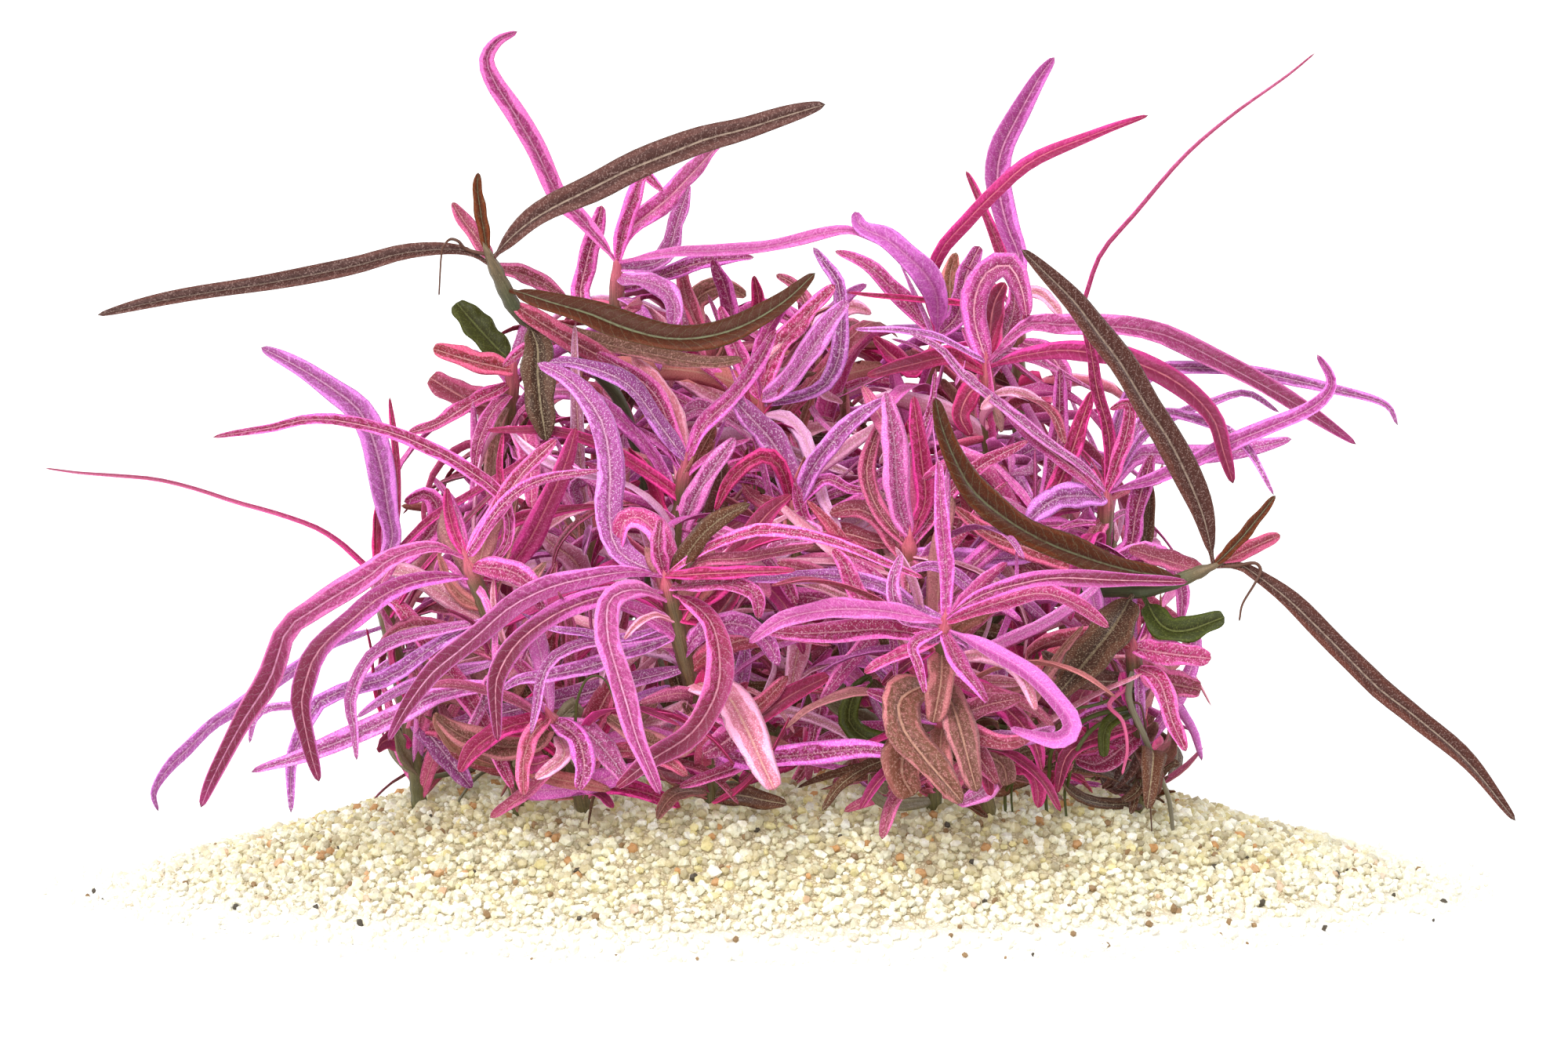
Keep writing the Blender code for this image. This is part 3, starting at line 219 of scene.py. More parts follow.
LARGE_LEAVES = (
    Leaf("left_tall", 4.3, -4, -10, (
        (785, 330), (755, 295), (735, 272), (712, 250), (685, 195), (665, 160), (650, 135), (630, 103),
        (621, 75), (635, 52), (660, 40),
    ), Tone.ORCHID, "leaf_hooked_top"),
    Leaf("left_tall", 3.0, -6, 0, (
        (800, 322), (860, 322), (920, 320), (980, 315), (1050, 298), (1080, 294), (1100, 300), (1140, 318),
    ), Tone.ORCHID, "leaf_top_level", browned=0.0, banded=0.5),
    Leaf("top_middle", 5.2, -5, -2, (
        (1205, 420), (1195, 380), (1180, 350), (1155, 325), (1130, 305), (1100, 290), (1090, 270),
    ), Tone.ORCHID, "leaf_top_broad", banded=0.6),
    Leaf("top_middle", 3.0, -8, -4, (
        (1190, 425), (1185, 370), (1200, 320), (1230, 285), (1270, 245), (1320, 203), (1400, 170),
        (1465, 147),
    ), Tone.CRIMSON, "leaf_top_arched", browned=0.0, banded=0.6),
    Leaf("top_right", 5.0, 3, -4, (
        (1310, 375), (1300, 330), (1285, 290), (1275, 250), (1272, 222), (1278, 190), (1295, 155),
        (1325, 100), (1345, 73),
    ), Tone.ORCHID, "leaf_top_tall"),
    Leaf("top_right", 1.2, -4, -8, (
        (1300, 400), (1350, 412), (1378, 395), (1395, 345), (1410, 315), (1450, 270), (1510, 200),
        (1570, 148), (1640, 98), (1678, 67),
    ), Tone.CRIMSON, "leaf_whip_right", Outline.WHIP, banded=0.7),
    Leaf("right_back", 4.8, -12, -18, (
        (1262, 440), (1310, 415), (1350, 414), (1400, 416), (1450, 420), (1500, 433), (1580, 475),
        (1660, 520), (1730, 567),
    ), Tone.ORCHID, "leaf_right_sweeping", browned=0.8),
    Leaf("right_back", 4.8, -18, -26, (
        (1270, 470), (1300, 455), (1350, 447), (1390, 450), (1440, 460), (1500, 487), (1545, 530),
        (1560, 575), (1573, 617),
    ), Tone.CRIMSON, "leaf_right_drooping", browned=0.8),
    Leaf("right_outer", 2.8, 4, 2, (
        (1414, 610), (1428, 530), (1470, 475), (1540, 470), (1600, 475), (1650, 485), (1700, 497),
        (1765, 515), (1783, 543),
    ), Tone.PURPLE, "leaf_right_slender"),
    Leaf("right_outer", 3.6, -8, -14, (
        (1420, 622), (1470, 612), (1520, 590), (1570, 565), (1620, 545), (1670, 522), (1695, 500),
        (1698, 480), (1680, 452),
    ), Tone.ORCHID, "leaf_right_upturned"),
    Leaf("left_outer", 5.2, -4, -2, (
        (482, 728), (500, 690), (495, 650), (487, 600), (472, 550), (455, 520), (430, 500), (400, 480),
        (365, 460), (333, 443),
    ), Tone.PURPLE, "leaf_left_rising", banded=0.85),
    Leaf("left_low", 2.8, -2, -6, (
        (612, 740), (648, 690), (640, 635), (605, 605), (575, 585), (540, 568), (500, 552), (450, 540),
        (415, 535), (380, 537), (350, 545), (300, 553), (271, 558),
    ), node="leaf_left_level", banded=1.0),
    Leaf("left_outer", 1.2, -4, 0, (
        (476, 732), (450, 707), (430, 690), (400, 672), (350, 654), (300, 640), (250, 624), (200, 612),
        (150, 607), (100, 603), (57, 597),
    ), Tone.CRIMSON, "leaf_whip_left", Outline.WHIP, banded=0.5),
    Leaf("left_low", 5.0, -6, -6, (
        (590, 700), (550, 697), (500, 712), (470, 735), (420, 765), (390, 785), (365, 805), (345, 865),
        (310, 920), (275, 985), (256, 1030),
    ), Tone.ORCHID, "leaf_left_sweeping", browned=1.0),
    Leaf("left_low", 4.6, -12, -14, (
        (600, 740), (560, 737), (520, 745), (480, 765), (450, 790), (420, 815), (400, 840), (390, 870),
        (385, 900), (395, 955), (407, 997),
    ), node="leaf_left_drooping", browned=1.0),
    Leaf("left_outer", 3.2, 0, 4, (
        (490, 800), (450, 812), (420, 822), (390, 845), (360, 865), (300, 905), (270, 925), (240, 955),
        (215, 980), (197, 1010), (202, 1035),
    ), Tone.PURPLE, "leaf_left_trailing"),
    Leaf("middle_front", 4.5, -8, -4, (
        (842, 730), (800, 730), (750, 737), (700, 750), (650, 775), (610, 810), (580, 835), (550, 860),
        (520, 900), (495, 945),
    ), Tone.ORCHID, "leaf_middle_sweeping", browned=0.95),
    Leaf("middle_front", 4.2, -14, -18, (
        (848, 757), (800, 757), (760, 763), (720, 778), (690, 795), (660, 820), (640, 850), (632, 880),
        (635, 945),
    ), node="leaf_middle_drooping", browned=1.0),
    Leaf("middle_front", 5.0, -14, -16, (
        (860, 755), (890, 775), (910, 800), (918, 840), (915, 880), (895, 920), (870, 945), (830, 970),
        (785, 1005),
    ), node="leaf_middle_curved", browned=0.9),
    Leaf("middle_front", 4.6, -20, -24, (
        (855, 770), (815, 752), (778, 765), (775, 810), (785, 850), (800, 900), (815, 950), (842, 1013),
    ), Tone.ORCHID, "leaf_middle_hanging", browned=0.1, banded=0.9),
    Leaf("right_front", 4.2, -10, -12, (
        (1198, 795), (1150, 783), (1100, 777), (1050, 779), (1000, 790), (955, 820),
    ), Tone.ORCHID, "leaf_front_level", browned=0.2, banded=0.6),
    Leaf("right_front", 3.8, -10, -12, (
        (1210, 802), (1250, 822), (1300, 850), (1340, 885), (1365, 915), (1365, 935), (1345, 945),
        (1315, 938), (1288, 928),
    ), Tone.ORCHID, "leaf_front_hooked", browned=0.0, banded=0.2),
    Leaf("right_front", 3.4, -12, -10, (
        (1215, 785), (1250, 760), (1300, 745), (1350, 737), (1420, 740), (1515, 742),
    ), node="leaf_front_right", browned=0.8, banded=1.0),
)

SMALL_LEAVES = (
    Leaf("right_outer", 4.3, 3, -3, (
        (1408, 590), (1450, 582), (1500, 582), (1560, 578), (1600, 572), (1648, 560),
    ), Tone.PURPLE),
    Leaf("left_outer", 3.8, -18, -28, (
        (490, 760), (510, 775), (530, 800), (560, 840), (590, 880), (615, 920), (655, 1008),
    )),
    Leaf("right_front", 3.0, -4, -2, ((1208, 780), (1208, 740), (1205, 700), (1200, 650), (1197, 585))),
    Leaf("middle_front", 4.4, -10, -14, (
        (900, 940), (940, 968), (990, 966), (1050, 960), (1100, 955), (1165, 965),
    )),
    Leaf("middle_front", 7.0, -12, -18, ((884, 868), (925, 885), (952, 930), (970, 970), (988, 1008)),
         Tone.PALE, shape=Outline.BLUNT),
    Leaf("left_tall", 3.4, -6, -10, ((788, 325), (796, 290), (810, 250), (823, 222), (846, 244))),
    Leaf("left_tall", 5.0, -16, -44, ((790, 325), (800, 297), (850, 255), (880, 225), (935, 165))),
    Leaf("left_tall", 4.3, 4, 2, ((795, 340), (840, 335), (855, 315), (865, 280), (880, 235)), Tone.PURPLE),
    Leaf("left_tall", 4.1, 5, 3, ((784, 405), (742, 385), (748, 335), (758, 300), (768, 262)),
         shape=Outline.BLUNT),
    Leaf("left_tall", 4.8, -8, -12, ((790, 350), (840, 365), (860, 390), (858, 420)), Tone.PURPLE),
    Leaf("left_back", 5.2, -2, -4, ((650, 470), (600, 460), (552, 445)), Tone.ROSE, shape=Outline.BLUNT),
    Leaf("left_back", 7.0, 0, 2, ((648, 528), (600, 512), (548, 482)), Tone.ROSE, shape=Outline.BLUNT),
    Leaf("left_back", 3.8, -6, -8, ((652, 490), (630, 500), (600, 515), (560, 540), (520, 553))),
    Leaf("left_back", 3.4, -10, -12, ((650, 500), (632, 520), (612, 560), (605, 600))),
    Leaf("middle_front", 5.5, 8, 12, (
        (846, 725), (790, 705), (777, 660), (778, 600), (770, 545), (750, 510), (720, 480), (685, 463),
    ), Tone.PURPLE),
    Leaf("middle_upper", 2.6, -4, -6, (
        (868, 690), (885, 655), (850, 620), (790, 580), (740, 558), (700, 549), (620, 549),
    ), Tone.CRIMSON),
    Leaf("left_low", 4.5, 4, 6, ((602, 730), (640, 730), (672, 695), (700, 640), (722, 590), (735, 545)),
         Tone.CRIMSON),
    Leaf("left_outer", 1.9, -4, -6, ((482, 728), (520, 690), (560, 655), (650, 600), (700, 560)),
         Tone.CRIMSON),
    Leaf("middle_upper", 4.3, -4, -8, ((872, 585), (840, 540), (800, 490), (740, 465), (700, 462)),
         Tone.PURPLE),
    Leaf("middle_upper", 3.8, 2, 0, ((875, 590), (860, 560), (840, 510), (810, 480), (760, 450))),
    Leaf("middle_upper", 3.8, -4, -6, ((880, 585), (900, 540), (950, 490), (990, 420))),
    Leaf("middle_back", 6.0, -4, -6, ((975, 505), (1005, 488), (1050, 425), (1082, 383)), Tone.PURPLE),
    Leaf("middle_back", 3.4, 3, 6, (
        (975, 515), (1040, 500), (1065, 470), (1073, 430), (1070, 365), (1055, 340), (1037, 315),
    ), Tone.PURPLE),
    Leaf("middle_back", 3.6, -2, -4, ((965, 505), (940, 450), (918, 390))),
    Leaf("top_middle", 3.8, 4, 6, ((1180, 415), (1130, 360), (1100, 335), (1065, 320))),
    Leaf("top_right", 1.5, -8, -10, ((1298, 400), (1250, 390), (1150, 380), (1080, 373)), Tone.CRIMSON),
    Leaf("right_back", 2.1, -6, -8, ((1255, 462), (1200, 432), (1150, 422), (1090, 420)), Tone.PURPLE),
    Leaf("right_middle", 5.2, -3, -6, ((1158, 685), (1146, 640), (1140, 560), (1130, 500)), Tone.PURPLE),
    Leaf("right_middle", 3.8, 2, 4, ((1165, 685), (1180, 640), (1176, 590), (1165, 505)), Tone.CRIMSON),
    Leaf("top_right", 2.4, 5, 8, ((1296, 375), (1272, 310), (1258, 275), (1245, 245), (1232, 218)),
         Tone.CRIMSON),
    Leaf("right_back", 5.5, 0, -4, (
        (1254, 455), (1242, 400), (1255, 352), (1285, 338), (1302, 365), (1310, 405),
    )),
    Leaf("right_outer", 2.6, -2, -4, ((1414, 610), (1415, 560), (1400, 500), (1390, 440), (1380, 405)),
         Tone.CRIMSON),
    Leaf("right_outer", 3.1, -8, -10, ((1416, 610), (1435, 560), (1440, 515), (1415, 522))),
    Leaf("right_outer", 2.6, -6, -8, (
        (1410, 620), (1380, 595), (1330, 560), (1280, 520), (1230, 480), (1200, 445), (1160, 425),
    ), Tone.PURPLE),
    Leaf("right_outer", 5.2, -6, -8, ((1408, 635), (1350, 635), (1310, 665)), Tone.PURPLE,
         shape=Outline.BLUNT),
    Leaf("right_outer", 2.1, 0, -8, (
        (1414, 605), (1450, 545), (1480, 525), (1545, 540), (1580, 560), (1600, 585), (1625, 632),
    ), Tone.PURPLE),
    Leaf("right_outer", 4.1, -3, -4, ((1408, 720), (1440, 700), (1450, 650), (1470, 580)),
         shape=Outline.BLUNT),
    Leaf("right_outer", 3.0, 4, 6, ((1408, 730), (1452, 705), (1466, 655), (1466, 612)), Tone.OLIVE),
    Leaf("right_low", 4.8, -5, -8, ((1450, 825), (1500, 835), (1545, 840)), shape=Outline.BLUNT),
    Leaf("right_low", 6.0, 2, 2, ((1450, 845), (1480, 868), (1532, 880)), Tone.ROSE, shape=Outline.BLUNT),
    Leaf("right_low", 4.1, -12, -14, ((1450, 850), (1478, 868), (1495, 920), (1513, 958))),
    Leaf("right_front", 4.5, -4, -2, ((1220, 795), (1270, 770), (1330, 757), (1380, 775), (1415, 800))),
    Leaf("right_front", 3.4, -14, -16, ((1205, 805), (1225, 850), (1245, 875), (1260, 897))),
    Leaf("right_front", 2.4, -10, -12, ((1200, 800), (1165, 822), (1172, 850), (1180, 885))),
    Leaf("right_front", 5.2, -8, -10, ((1206, 830), (1200, 870), (1190, 922)), Tone.BROWN,
         shape=Outline.BLUNT),
    Leaf("right_front", 2.6, 6, 4, ((1212, 790), (1245, 765), (1220, 735), (1190, 722), (1155, 730)),
         Tone.PURPLE),
    Leaf("right_front", 3.0, 6, 4, ((1200, 790), (1165, 772), (1120, 745), (1050, 735), (950, 740)),
         Tone.PURPLE),
    Leaf("middle_front", 2.4, -8, -6, (
        (850, 725), (900, 700), (950, 680), (980, 676), (1030, 682), (1080, 697), (1130, 718), (1180, 738),
    )),
    Leaf("middle_front", 2.6, -4, -2, ((852, 728), (900, 715), (950, 712), (1040, 695)), Tone.ROSE),
    Leaf("middle_front", 3.0, -12, -14, ((855, 735), (900, 732), (1015, 728)), Tone.CRIMSON),
    Leaf("middle_front", 4.8, 4, 10, ((862, 770), (905, 760), (940, 710), (975, 660), (1010, 630)),
         Tone.CRIMSON),
    Leaf("middle_front", 3.2, -2, 0, ((848, 730), (840, 700), (843, 662))),
    Leaf("middle_front", 4.0, -16, -18, ((856, 748), (920, 744), (962, 757), (968, 790))),
    Leaf("low_middle", 4.2, -4, -6, ((1195, 925), (1150, 900), (1105, 882))),
    Leaf("low_middle", 4.4, -6, -8, ((1198, 925), (1250, 902), (1302, 890)), Tone.ROSE),
    Leaf("low_middle", 8.0, -10, -12, ((1195, 935), (1160, 950), (1150, 985), (1165, 1015)), Tone.BROWN,
         shape=Outline.BLUNT),
    Leaf("low_middle", 4.2, -8, -10, ((1200, 930), (1240, 955), (1272, 1000)), Tone.ROSE),
    Leaf("low_middle", 4.4, -12, -14, ((1195, 930), (1200, 965), (1215, 1008)), Tone.BROWN),
    Leaf("low_middle", 4.2, 4, 6, ((1200, 945), (1130, 950), (1085, 925), (1090, 885), (1112, 862)),
         Tone.GREEN, shape=Outline.BLUNT),
    Leaf("low_left", 4.2, -4, -8, ((700, 920), (655, 925), (610, 950), (585, 985)), Tone.CRIMSON),
    Leaf("low_left", 4.6, -8, -12, ((702, 920), (735, 940), (745, 975), (738, 1008))),
    Leaf("low_left", 3.6, 2, 4, ((705, 925), (735, 900), (722, 940), (745, 985)), Tone.FADED),
    Leaf("left_outer", 3.4, 2, 4, ((525, 985), (512, 965), (495, 925)), Tone.FADED),
    Leaf("left_low", 4.5, -6, -8, ((605, 720), (650, 728), (680, 750), (695, 780))),
    Leaf("left_low", 2.4, -4, -6, ((596, 708), (640, 645), (690, 612), (765, 600))),
    Leaf("left_low", 3.2, 6, 8, ((598, 712), (650, 668), (700, 655), (765, 645)), Tone.CRIMSON),
    Leaf("left_low", 2.4, 2, 2, ((594, 705), (580, 680), (572, 650), (570, 622)), Tone.CRIMSON),
    Leaf("left_low", 2.6, -4, -6, (
        (628, 790), (560, 803), (510, 815), (470, 840), (447, 890), (452, 930), (455, 970),
    ), Tone.PURPLE),
    Leaf("left_low", 3.0, 8, 10, ((640, 840), (540, 870), (500, 885), (455, 915)), Tone.PURPLE),
    Leaf("left_low", 4.2, -6, -8, ((645, 870), (560, 885), (520, 905), (460, 935), (390, 962), (320, 985)),
         Tone.PURPLE),
    Leaf("left_low", 3.2, -2, 0, (
        (624, 785), (560, 820), (500, 862), (440, 880), (405, 897), (385, 935), (372, 975), (371, 1037),
    ), Tone.PURPLE),
    Leaf("left_outer", 1.8, 0, 0, ((479, 730), (480, 680), (482, 637)), Tone.CRIMSON),
    Leaf("left_outer", 1.8, 4, 6, ((482, 728), (505, 660), (506, 590), (497, 506)), Tone.CRIMSON),
    Leaf("left_outer", 2.4, -4, -4, (
        (502, 840), (450, 878), (400, 898), (345, 903), (325, 918), (318, 948),
    ), Tone.PURPLE),
    Leaf("left_outer", 4.5, -6, -8, ((482, 730), (530, 700), (560, 660), (545, 630), (515, 640))),
    Leaf("left", 2.4, -1, -2, ((621, 325), (613, 270), (609, 240), (610, 220)), Tone.BRONZE),
    Leaf("left", 3.4, 3, 4, ((622, 335), (605, 300), (590, 280), (577, 258)), Tone.ROSE),
    Leaf("left", 3.8, 5, 7, ((628, 345), (680, 355), (722, 380)), Tone.ROSE),
    Leaf("left", 4.5, 3, 3, ((645, 385), (700, 418), (760, 452), (805, 475)), Tone.ROSE),
    Leaf("right", 2.4, -2, -3, ((1548, 722), (1580, 690), (1605, 660), (1627, 632)), Tone.BRONZE),
    Leaf("right", 3.8, 4, 5, ((1546, 724), (1590, 702), (1633, 682)), Tone.ROSE),
    Leaf("right", 4.8, 6, 8, ((1535, 734), (1490, 716), (1440, 700)), Tone.ROSE),
    Leaf("right", 5.2, 3, 2, ((1500, 750), (1440, 735), (1380, 722), (1320, 702), (1262, 682), (1215, 646)),
         Tone.ROSE),
)

INNER_LEAVES = (
    Leaf("left_low", 4.0, 2, 4, ((600, 712), (632, 655), (665, 605), (710, 560))),
    Leaf("left_low", 1.6, 0, 2, ((597, 710), (628, 665), (640, 630), (637, 590), (642, 552)), Tone.CRIMSON),
    Leaf("left_low", 2.0, -6, -8, ((640, 858), (622, 868), (618, 895), (600, 932), (590, 980)), Tone.PURPLE),
    Leaf("left_outer", 4.4, -8, -10, ((530, 985), (520, 972), (510, 955), (503, 925)), Tone.FADED),
    Leaf("left_outer", 4.6, -2, -2, ((521, 905), (550, 940), (578, 975), (602, 1005)), Tone.PURPLE),
    Leaf("low_left", 3.4, -8, -10, ((737, 975), (730, 950), (723, 930), (721, 904)), Tone.FADED),
    Leaf("low_left", 5.4, -6, -8, ((703, 925), (665, 952), (612, 947), (578, 932), (556, 914)), Tone.BROWN,
         shape=Outline.BLUNT),
    Leaf("low_left", 3.4, -8, -8, ((702, 915), (680, 935), (668, 970), (668, 1015)), Tone.ROSE),
    Leaf("low_left", 3.4, -10, -12, ((712, 935), (720, 962), (702, 980), (682, 993)), Tone.PALE),
    Leaf("low_left", 4.6, -6, -6, ((704, 922), (745, 932), (778, 965), (800, 1000)), Tone.PURPLE),
    Leaf("centre_left", 3.0, -4, -6, ((757, 665), (738, 645), (733, 618), (765, 604)), Tone.PURPLE),
    Leaf("centre_left", 4.8, -8, -10, ((751, 760), (735, 718), (708, 697), (688, 680)), Tone.PALE),
    Leaf("centre_left", 1.8, -8, -10, ((752, 740), (765, 695), (774, 656)), Tone.CRIMSON),
    Leaf("centre_left", 3.2, -8, -10, ((745, 870), (712, 872), (702, 830), (712, 785)), Tone.ROSE),
    Leaf("middle_back", 4.2, -6, -8, ((966, 560), (945, 545), (920, 530), (890, 521), (850, 545)),
         Tone.PURPLE),
    Leaf("middle_back", 4.6, 4, 4, ((962, 535), (935, 515), (905, 500), (875, 482), (840, 462)), Tone.PALE),
    Leaf("middle_back", 2.8, -6, -8, ((966, 562), (1000, 574), (1045, 590), (1090, 605)), Tone.PALE),
    Leaf("middle_upper", 4.8, -8, -10, ((868, 700), (874, 665), (890, 628), (915, 590), (938, 558)),
         Tone.PURPLE),
    Leaf("middle_front", 5.0, 3, 4, ((849, 738), (850, 705), (838, 680), (815, 660), (795, 668), (790, 702))),
    Leaf("middle_front", 1.6, -6, -8, ((858, 795), (800, 813), (740, 806), (700, 800), (665, 782)),
         Tone.PURPLE),
    Leaf("middle_front", 2.6, -8, -12, (
        (862, 805), (800, 816), (748, 820), (710, 836), (692, 862), (685, 900), (677, 937),
    ), Tone.PURPLE),
    Leaf("middle_front", 2.0, -10, -14, ((860, 795), (835, 785), (812, 797), (796, 816)), Tone.PALE),
    Leaf("middle_front", 5.0, 2, 2, ((860, 785), (905, 790), (930, 765), (943, 740)), Tone.CRIMSON),
    Leaf("middle_front", 3.4, -2, -4, (
        (866, 812), (800, 832), (760, 848), (710, 860), (665, 866), (640, 880),
    ), Tone.PURPLE),
    Leaf("middle_front", 4.0, 2, 4, ((880, 852), (800, 870), (730, 889), (660, 905), (600, 918), (556, 925)),
         Tone.PURPLE),
    Leaf("middle_front", 5.0, -8, -10, ((889, 905), (868, 950), (832, 950), (800, 932), (774, 914)),
         Tone.BROWN, shape=Outline.BLUNT),
    Leaf("middle_front", 4.6, -6, -10, ((889, 905), (930, 925), (970, 912), (1010, 886), (1058, 862)),
         Tone.CRIMSON, shape=Outline.BLUNT),
    Leaf("middle_front", 5.6, -8, -8, ((890, 890), (938, 922), (928, 944), (896, 962)), shape=Outline.BLUNT),
    Leaf("middle_front", 3.2, -6, -8, ((900, 950), (945, 972), (910, 989), (866, 1004))),
    Leaf("middle_front", 3.4, 8, 10, ((884, 870), (935, 885), (948, 850), (950, 815)), Tone.PURPLE),
    Leaf("centre", 5.5, 2, 4, ((1010, 640), (1000, 590), (978, 555), (950, 525), (930, 500)), Tone.PURPLE),
    Leaf("centre", 2.4, -4, -4, ((1010, 650), (1050, 612), (1085, 624), (1117, 628))),
    Leaf("centre", 3.2, -6, -8, ((1010, 660), (1000, 605), (980, 582), (955, 590), (930, 615), (912, 652)),
         Tone.CRIMSON),
    Leaf("centre", 3.8, -6, -8, ((1011, 650), (1035, 600), (1065, 560), (1097, 530), (1130, 508)),
         Tone.PURPLE),
    Leaf("centre", 3.8, -6, -8, ((1012, 665), (1040, 680), (1025, 690), (1000, 692), (975, 707)),
         Tone.PURPLE),
    Leaf("centre", 4.2, -4, -6, ((1014, 680), (1045, 678), (1085, 682), (1120, 692), (1160, 692)), Tone.ROSE),
    Leaf("centre", 2.8, -8, -10, ((1016, 730), (1034, 685), (1022, 650), (1013, 608))),
    Leaf("centre", 4.0, -10, -12, ((1019, 860), (1015, 835), (1040, 812), (1080, 808)), Tone.ROSE),
    Leaf("centre", 3.2, -16, -18, ((1022, 840), (1046, 895), (1040, 925), (1033, 962))),
    Leaf("centre", 3.0, -18, -20, ((1022, 900), (1035, 950), (1025, 982), (1006, 1008)), Tone.ROSE),
    Leaf("back_left", 3.8, -4, -8, ((905, 436), (932, 412), (926, 370), (909, 330))),
    Leaf("back_left", 3.6, -2, -4, ((906, 440), (948, 424), (968, 392), (962, 351)), Tone.CRIMSON),
    Leaf("back_left", 4.6, 6, 8, ((904, 434), (884, 406), (890, 380), (922, 366), (952, 378)), Tone.BROWN,
         shape=Outline.BLUNT),
    Leaf("back_left", 3.6, 4, 6, ((903, 440), (884, 402), (872, 366), (870, 330)), Tone.ROSE),
    Leaf("left_tall", 3.8, 5, 9, ((788, 372), (845, 352), (895, 335), (962, 328))),
    Leaf("middle_back", 4.8, 3, 4, ((969, 500), (986, 455), (1020, 412), (1065, 363))),
    Leaf("back_middle", 4.0, -4, -6, ((1040, 445), (1022, 420), (1000, 404), (975, 398))),
    Leaf("back_middle", 4.4, 4, 6, ((1041, 440), (1052, 410), (1085, 392), (1112, 400)), Tone.PALE),
    Leaf("back_middle", 3.4, 8, 12, ((1040, 440), (1032, 400), (1015, 366), (990, 350)), Tone.ROSE),
    Leaf("left", 4.6, 2, 2, ((672, 412), (760, 436), (830, 452), (900, 464), (948, 458)), Tone.BROWN),
    Leaf("top_middle", 4.2, 4, 6, ((1194, 425), (1222, 400), (1232, 352), (1250, 314)), shape=Outline.BLUNT),
    Leaf("top_middle", 4.4, 8, 10, ((1194, 420), (1210, 390), (1212, 350), (1220, 322)), Tone.BROWN),
    Leaf("right_back", 5.2, 8, 9, ((1259, 450), (1263, 420), (1268, 388), (1282, 360)), Tone.CRIMSON),
    Leaf("right_back", 4.6, 9, 12, ((1260, 448), (1284, 425), (1294, 388), (1290, 358))),
    Leaf("top_right", 3.2, -4, -6, ((1299, 388), (1318, 372), (1338, 384), (1354, 404)), Tone.PALE),
    Leaf("right_back", 4.4, -4, -6, ((1257, 474), (1215, 456), (1160, 466), (1105, 480)), Tone.CRIMSON),
    Leaf("top_middle", 4.0, -10, -14, ((1191, 445), (1166, 470), (1140, 455), (1114, 430)), Tone.CRIMSON),
    Leaf("top_right", 4.4, -8, -12, ((1299, 440), (1330, 446), (1352, 470), (1362, 505))),
    Leaf("back_middle", 1.8, -10, -16, ((1043, 560), (1020, 530), (998, 490), (988, 450), (992, 420)),
         Tone.CRIMSON),
    Leaf("back_middle", 2.8, -8, -10, ((1040, 470), (1048, 500), (1075, 515)), Tone.PALE),
    Leaf("right_middle", 3.6, 6, 8, ((1158, 700), (1120, 650), (1105, 605), (1115, 560), (1132, 525)),
         Tone.ROSE),
    Leaf("right_middle", 3.2, 2, 0, ((1160, 700), (1205, 635), (1250, 595), (1312, 562))),
    Leaf("right_middle", 5.0, 6, 8, ((1159, 720), (1130, 672), (1095, 650), (1058, 655)), Tone.ROSE),
    Leaf("right_middle", 4.0, 2, 4, ((1160, 705), (1215, 712), (1280, 712), (1340, 705)), Tone.PURPLE),
    Leaf("right", 5.8, 8, 12, ((1262, 785), (1230, 750), (1180, 738), (1110, 735), (1050, 738), (1000, 752)),
         Tone.OLIVE),
    Leaf("right_front", 4.2, 4, 6, ((1200, 800), (1130, 792), (1095, 760), (1078, 722), (1062, 700))),
    Leaf("right_front", 3.2, -4, -6, ((1201, 800), (1150, 785), (1138, 745), (1150, 706)), Tone.PURPLE),
    Leaf("right_front", 4.0, -4, -4, ((1204, 812), (1130, 803), (1070, 806), (1010, 808), (965, 802))),
    Leaf("right_front", 2.6, -8, -8, ((1208, 820), (1235, 822), (1212, 811), (1182, 819)), Tone.PURPLE),
    Leaf("right_front", 2.8, -2, -2, ((1204, 812), (1165, 828), (1130, 842), (1102, 858))),
    Leaf("right_front", 2.6, 2, 2, ((1204, 820), (1160, 845), (1125, 874)), Tone.CRIMSON),
    Leaf("right_front", 3.4, 4, 4, ((1206, 845), (1250, 868), (1302, 871)), Tone.PALE),
    Leaf("right_front", 7.6, -13, -16, (
        (1201, 875), (1170, 878), (1146, 896), (1152, 930), (1178, 966), (1204, 996), (1228, 1024),
    ), Tone.BROWN),
    Leaf("right_front", 6.0, -11, -14, ((1203, 868), (1215, 900), (1226, 935), (1235, 970), (1246, 1010)),
         Tone.BROWN),
    Leaf("low_middle", 3.6, -6, -8, ((1198, 928), (1240, 934), (1280, 948), (1318, 940)), Tone.ROSE),
    Leaf("low_middle", 3.2, -10, -12, ((1199, 935), (1232, 960), (1256, 985), (1264, 1015)), Tone.CRIMSON),
    Leaf("low_middle", 5.2, -2, -2, ((1203, 945), (1250, 960), (1278, 975), (1285, 1002)), Tone.BROWN,
         shape=Outline.BLUNT),
    Leaf("right_back", 4.4, -8, -10, ((1258, 490), (1238, 500), (1225, 530), (1238, 556)), Tone.CRIMSON),
    Leaf("right_back", 2.6, -6, -8, ((1259, 505), (1295, 500), (1340, 520)), Tone.PALE),
    Leaf("centre_right", 4.2, -4, -6, ((1324, 665), (1342, 610), (1350, 545), (1352, 470))),
    Leaf("centre_right", 3.8, 2, 2, ((1324, 670), (1358, 600), (1376, 550), (1393, 498)), Tone.CRIMSON),
    Leaf("right_outer", 3.4, -4, -6, ((1408, 660), (1396, 682), (1380, 702)), Tone.ROSE),
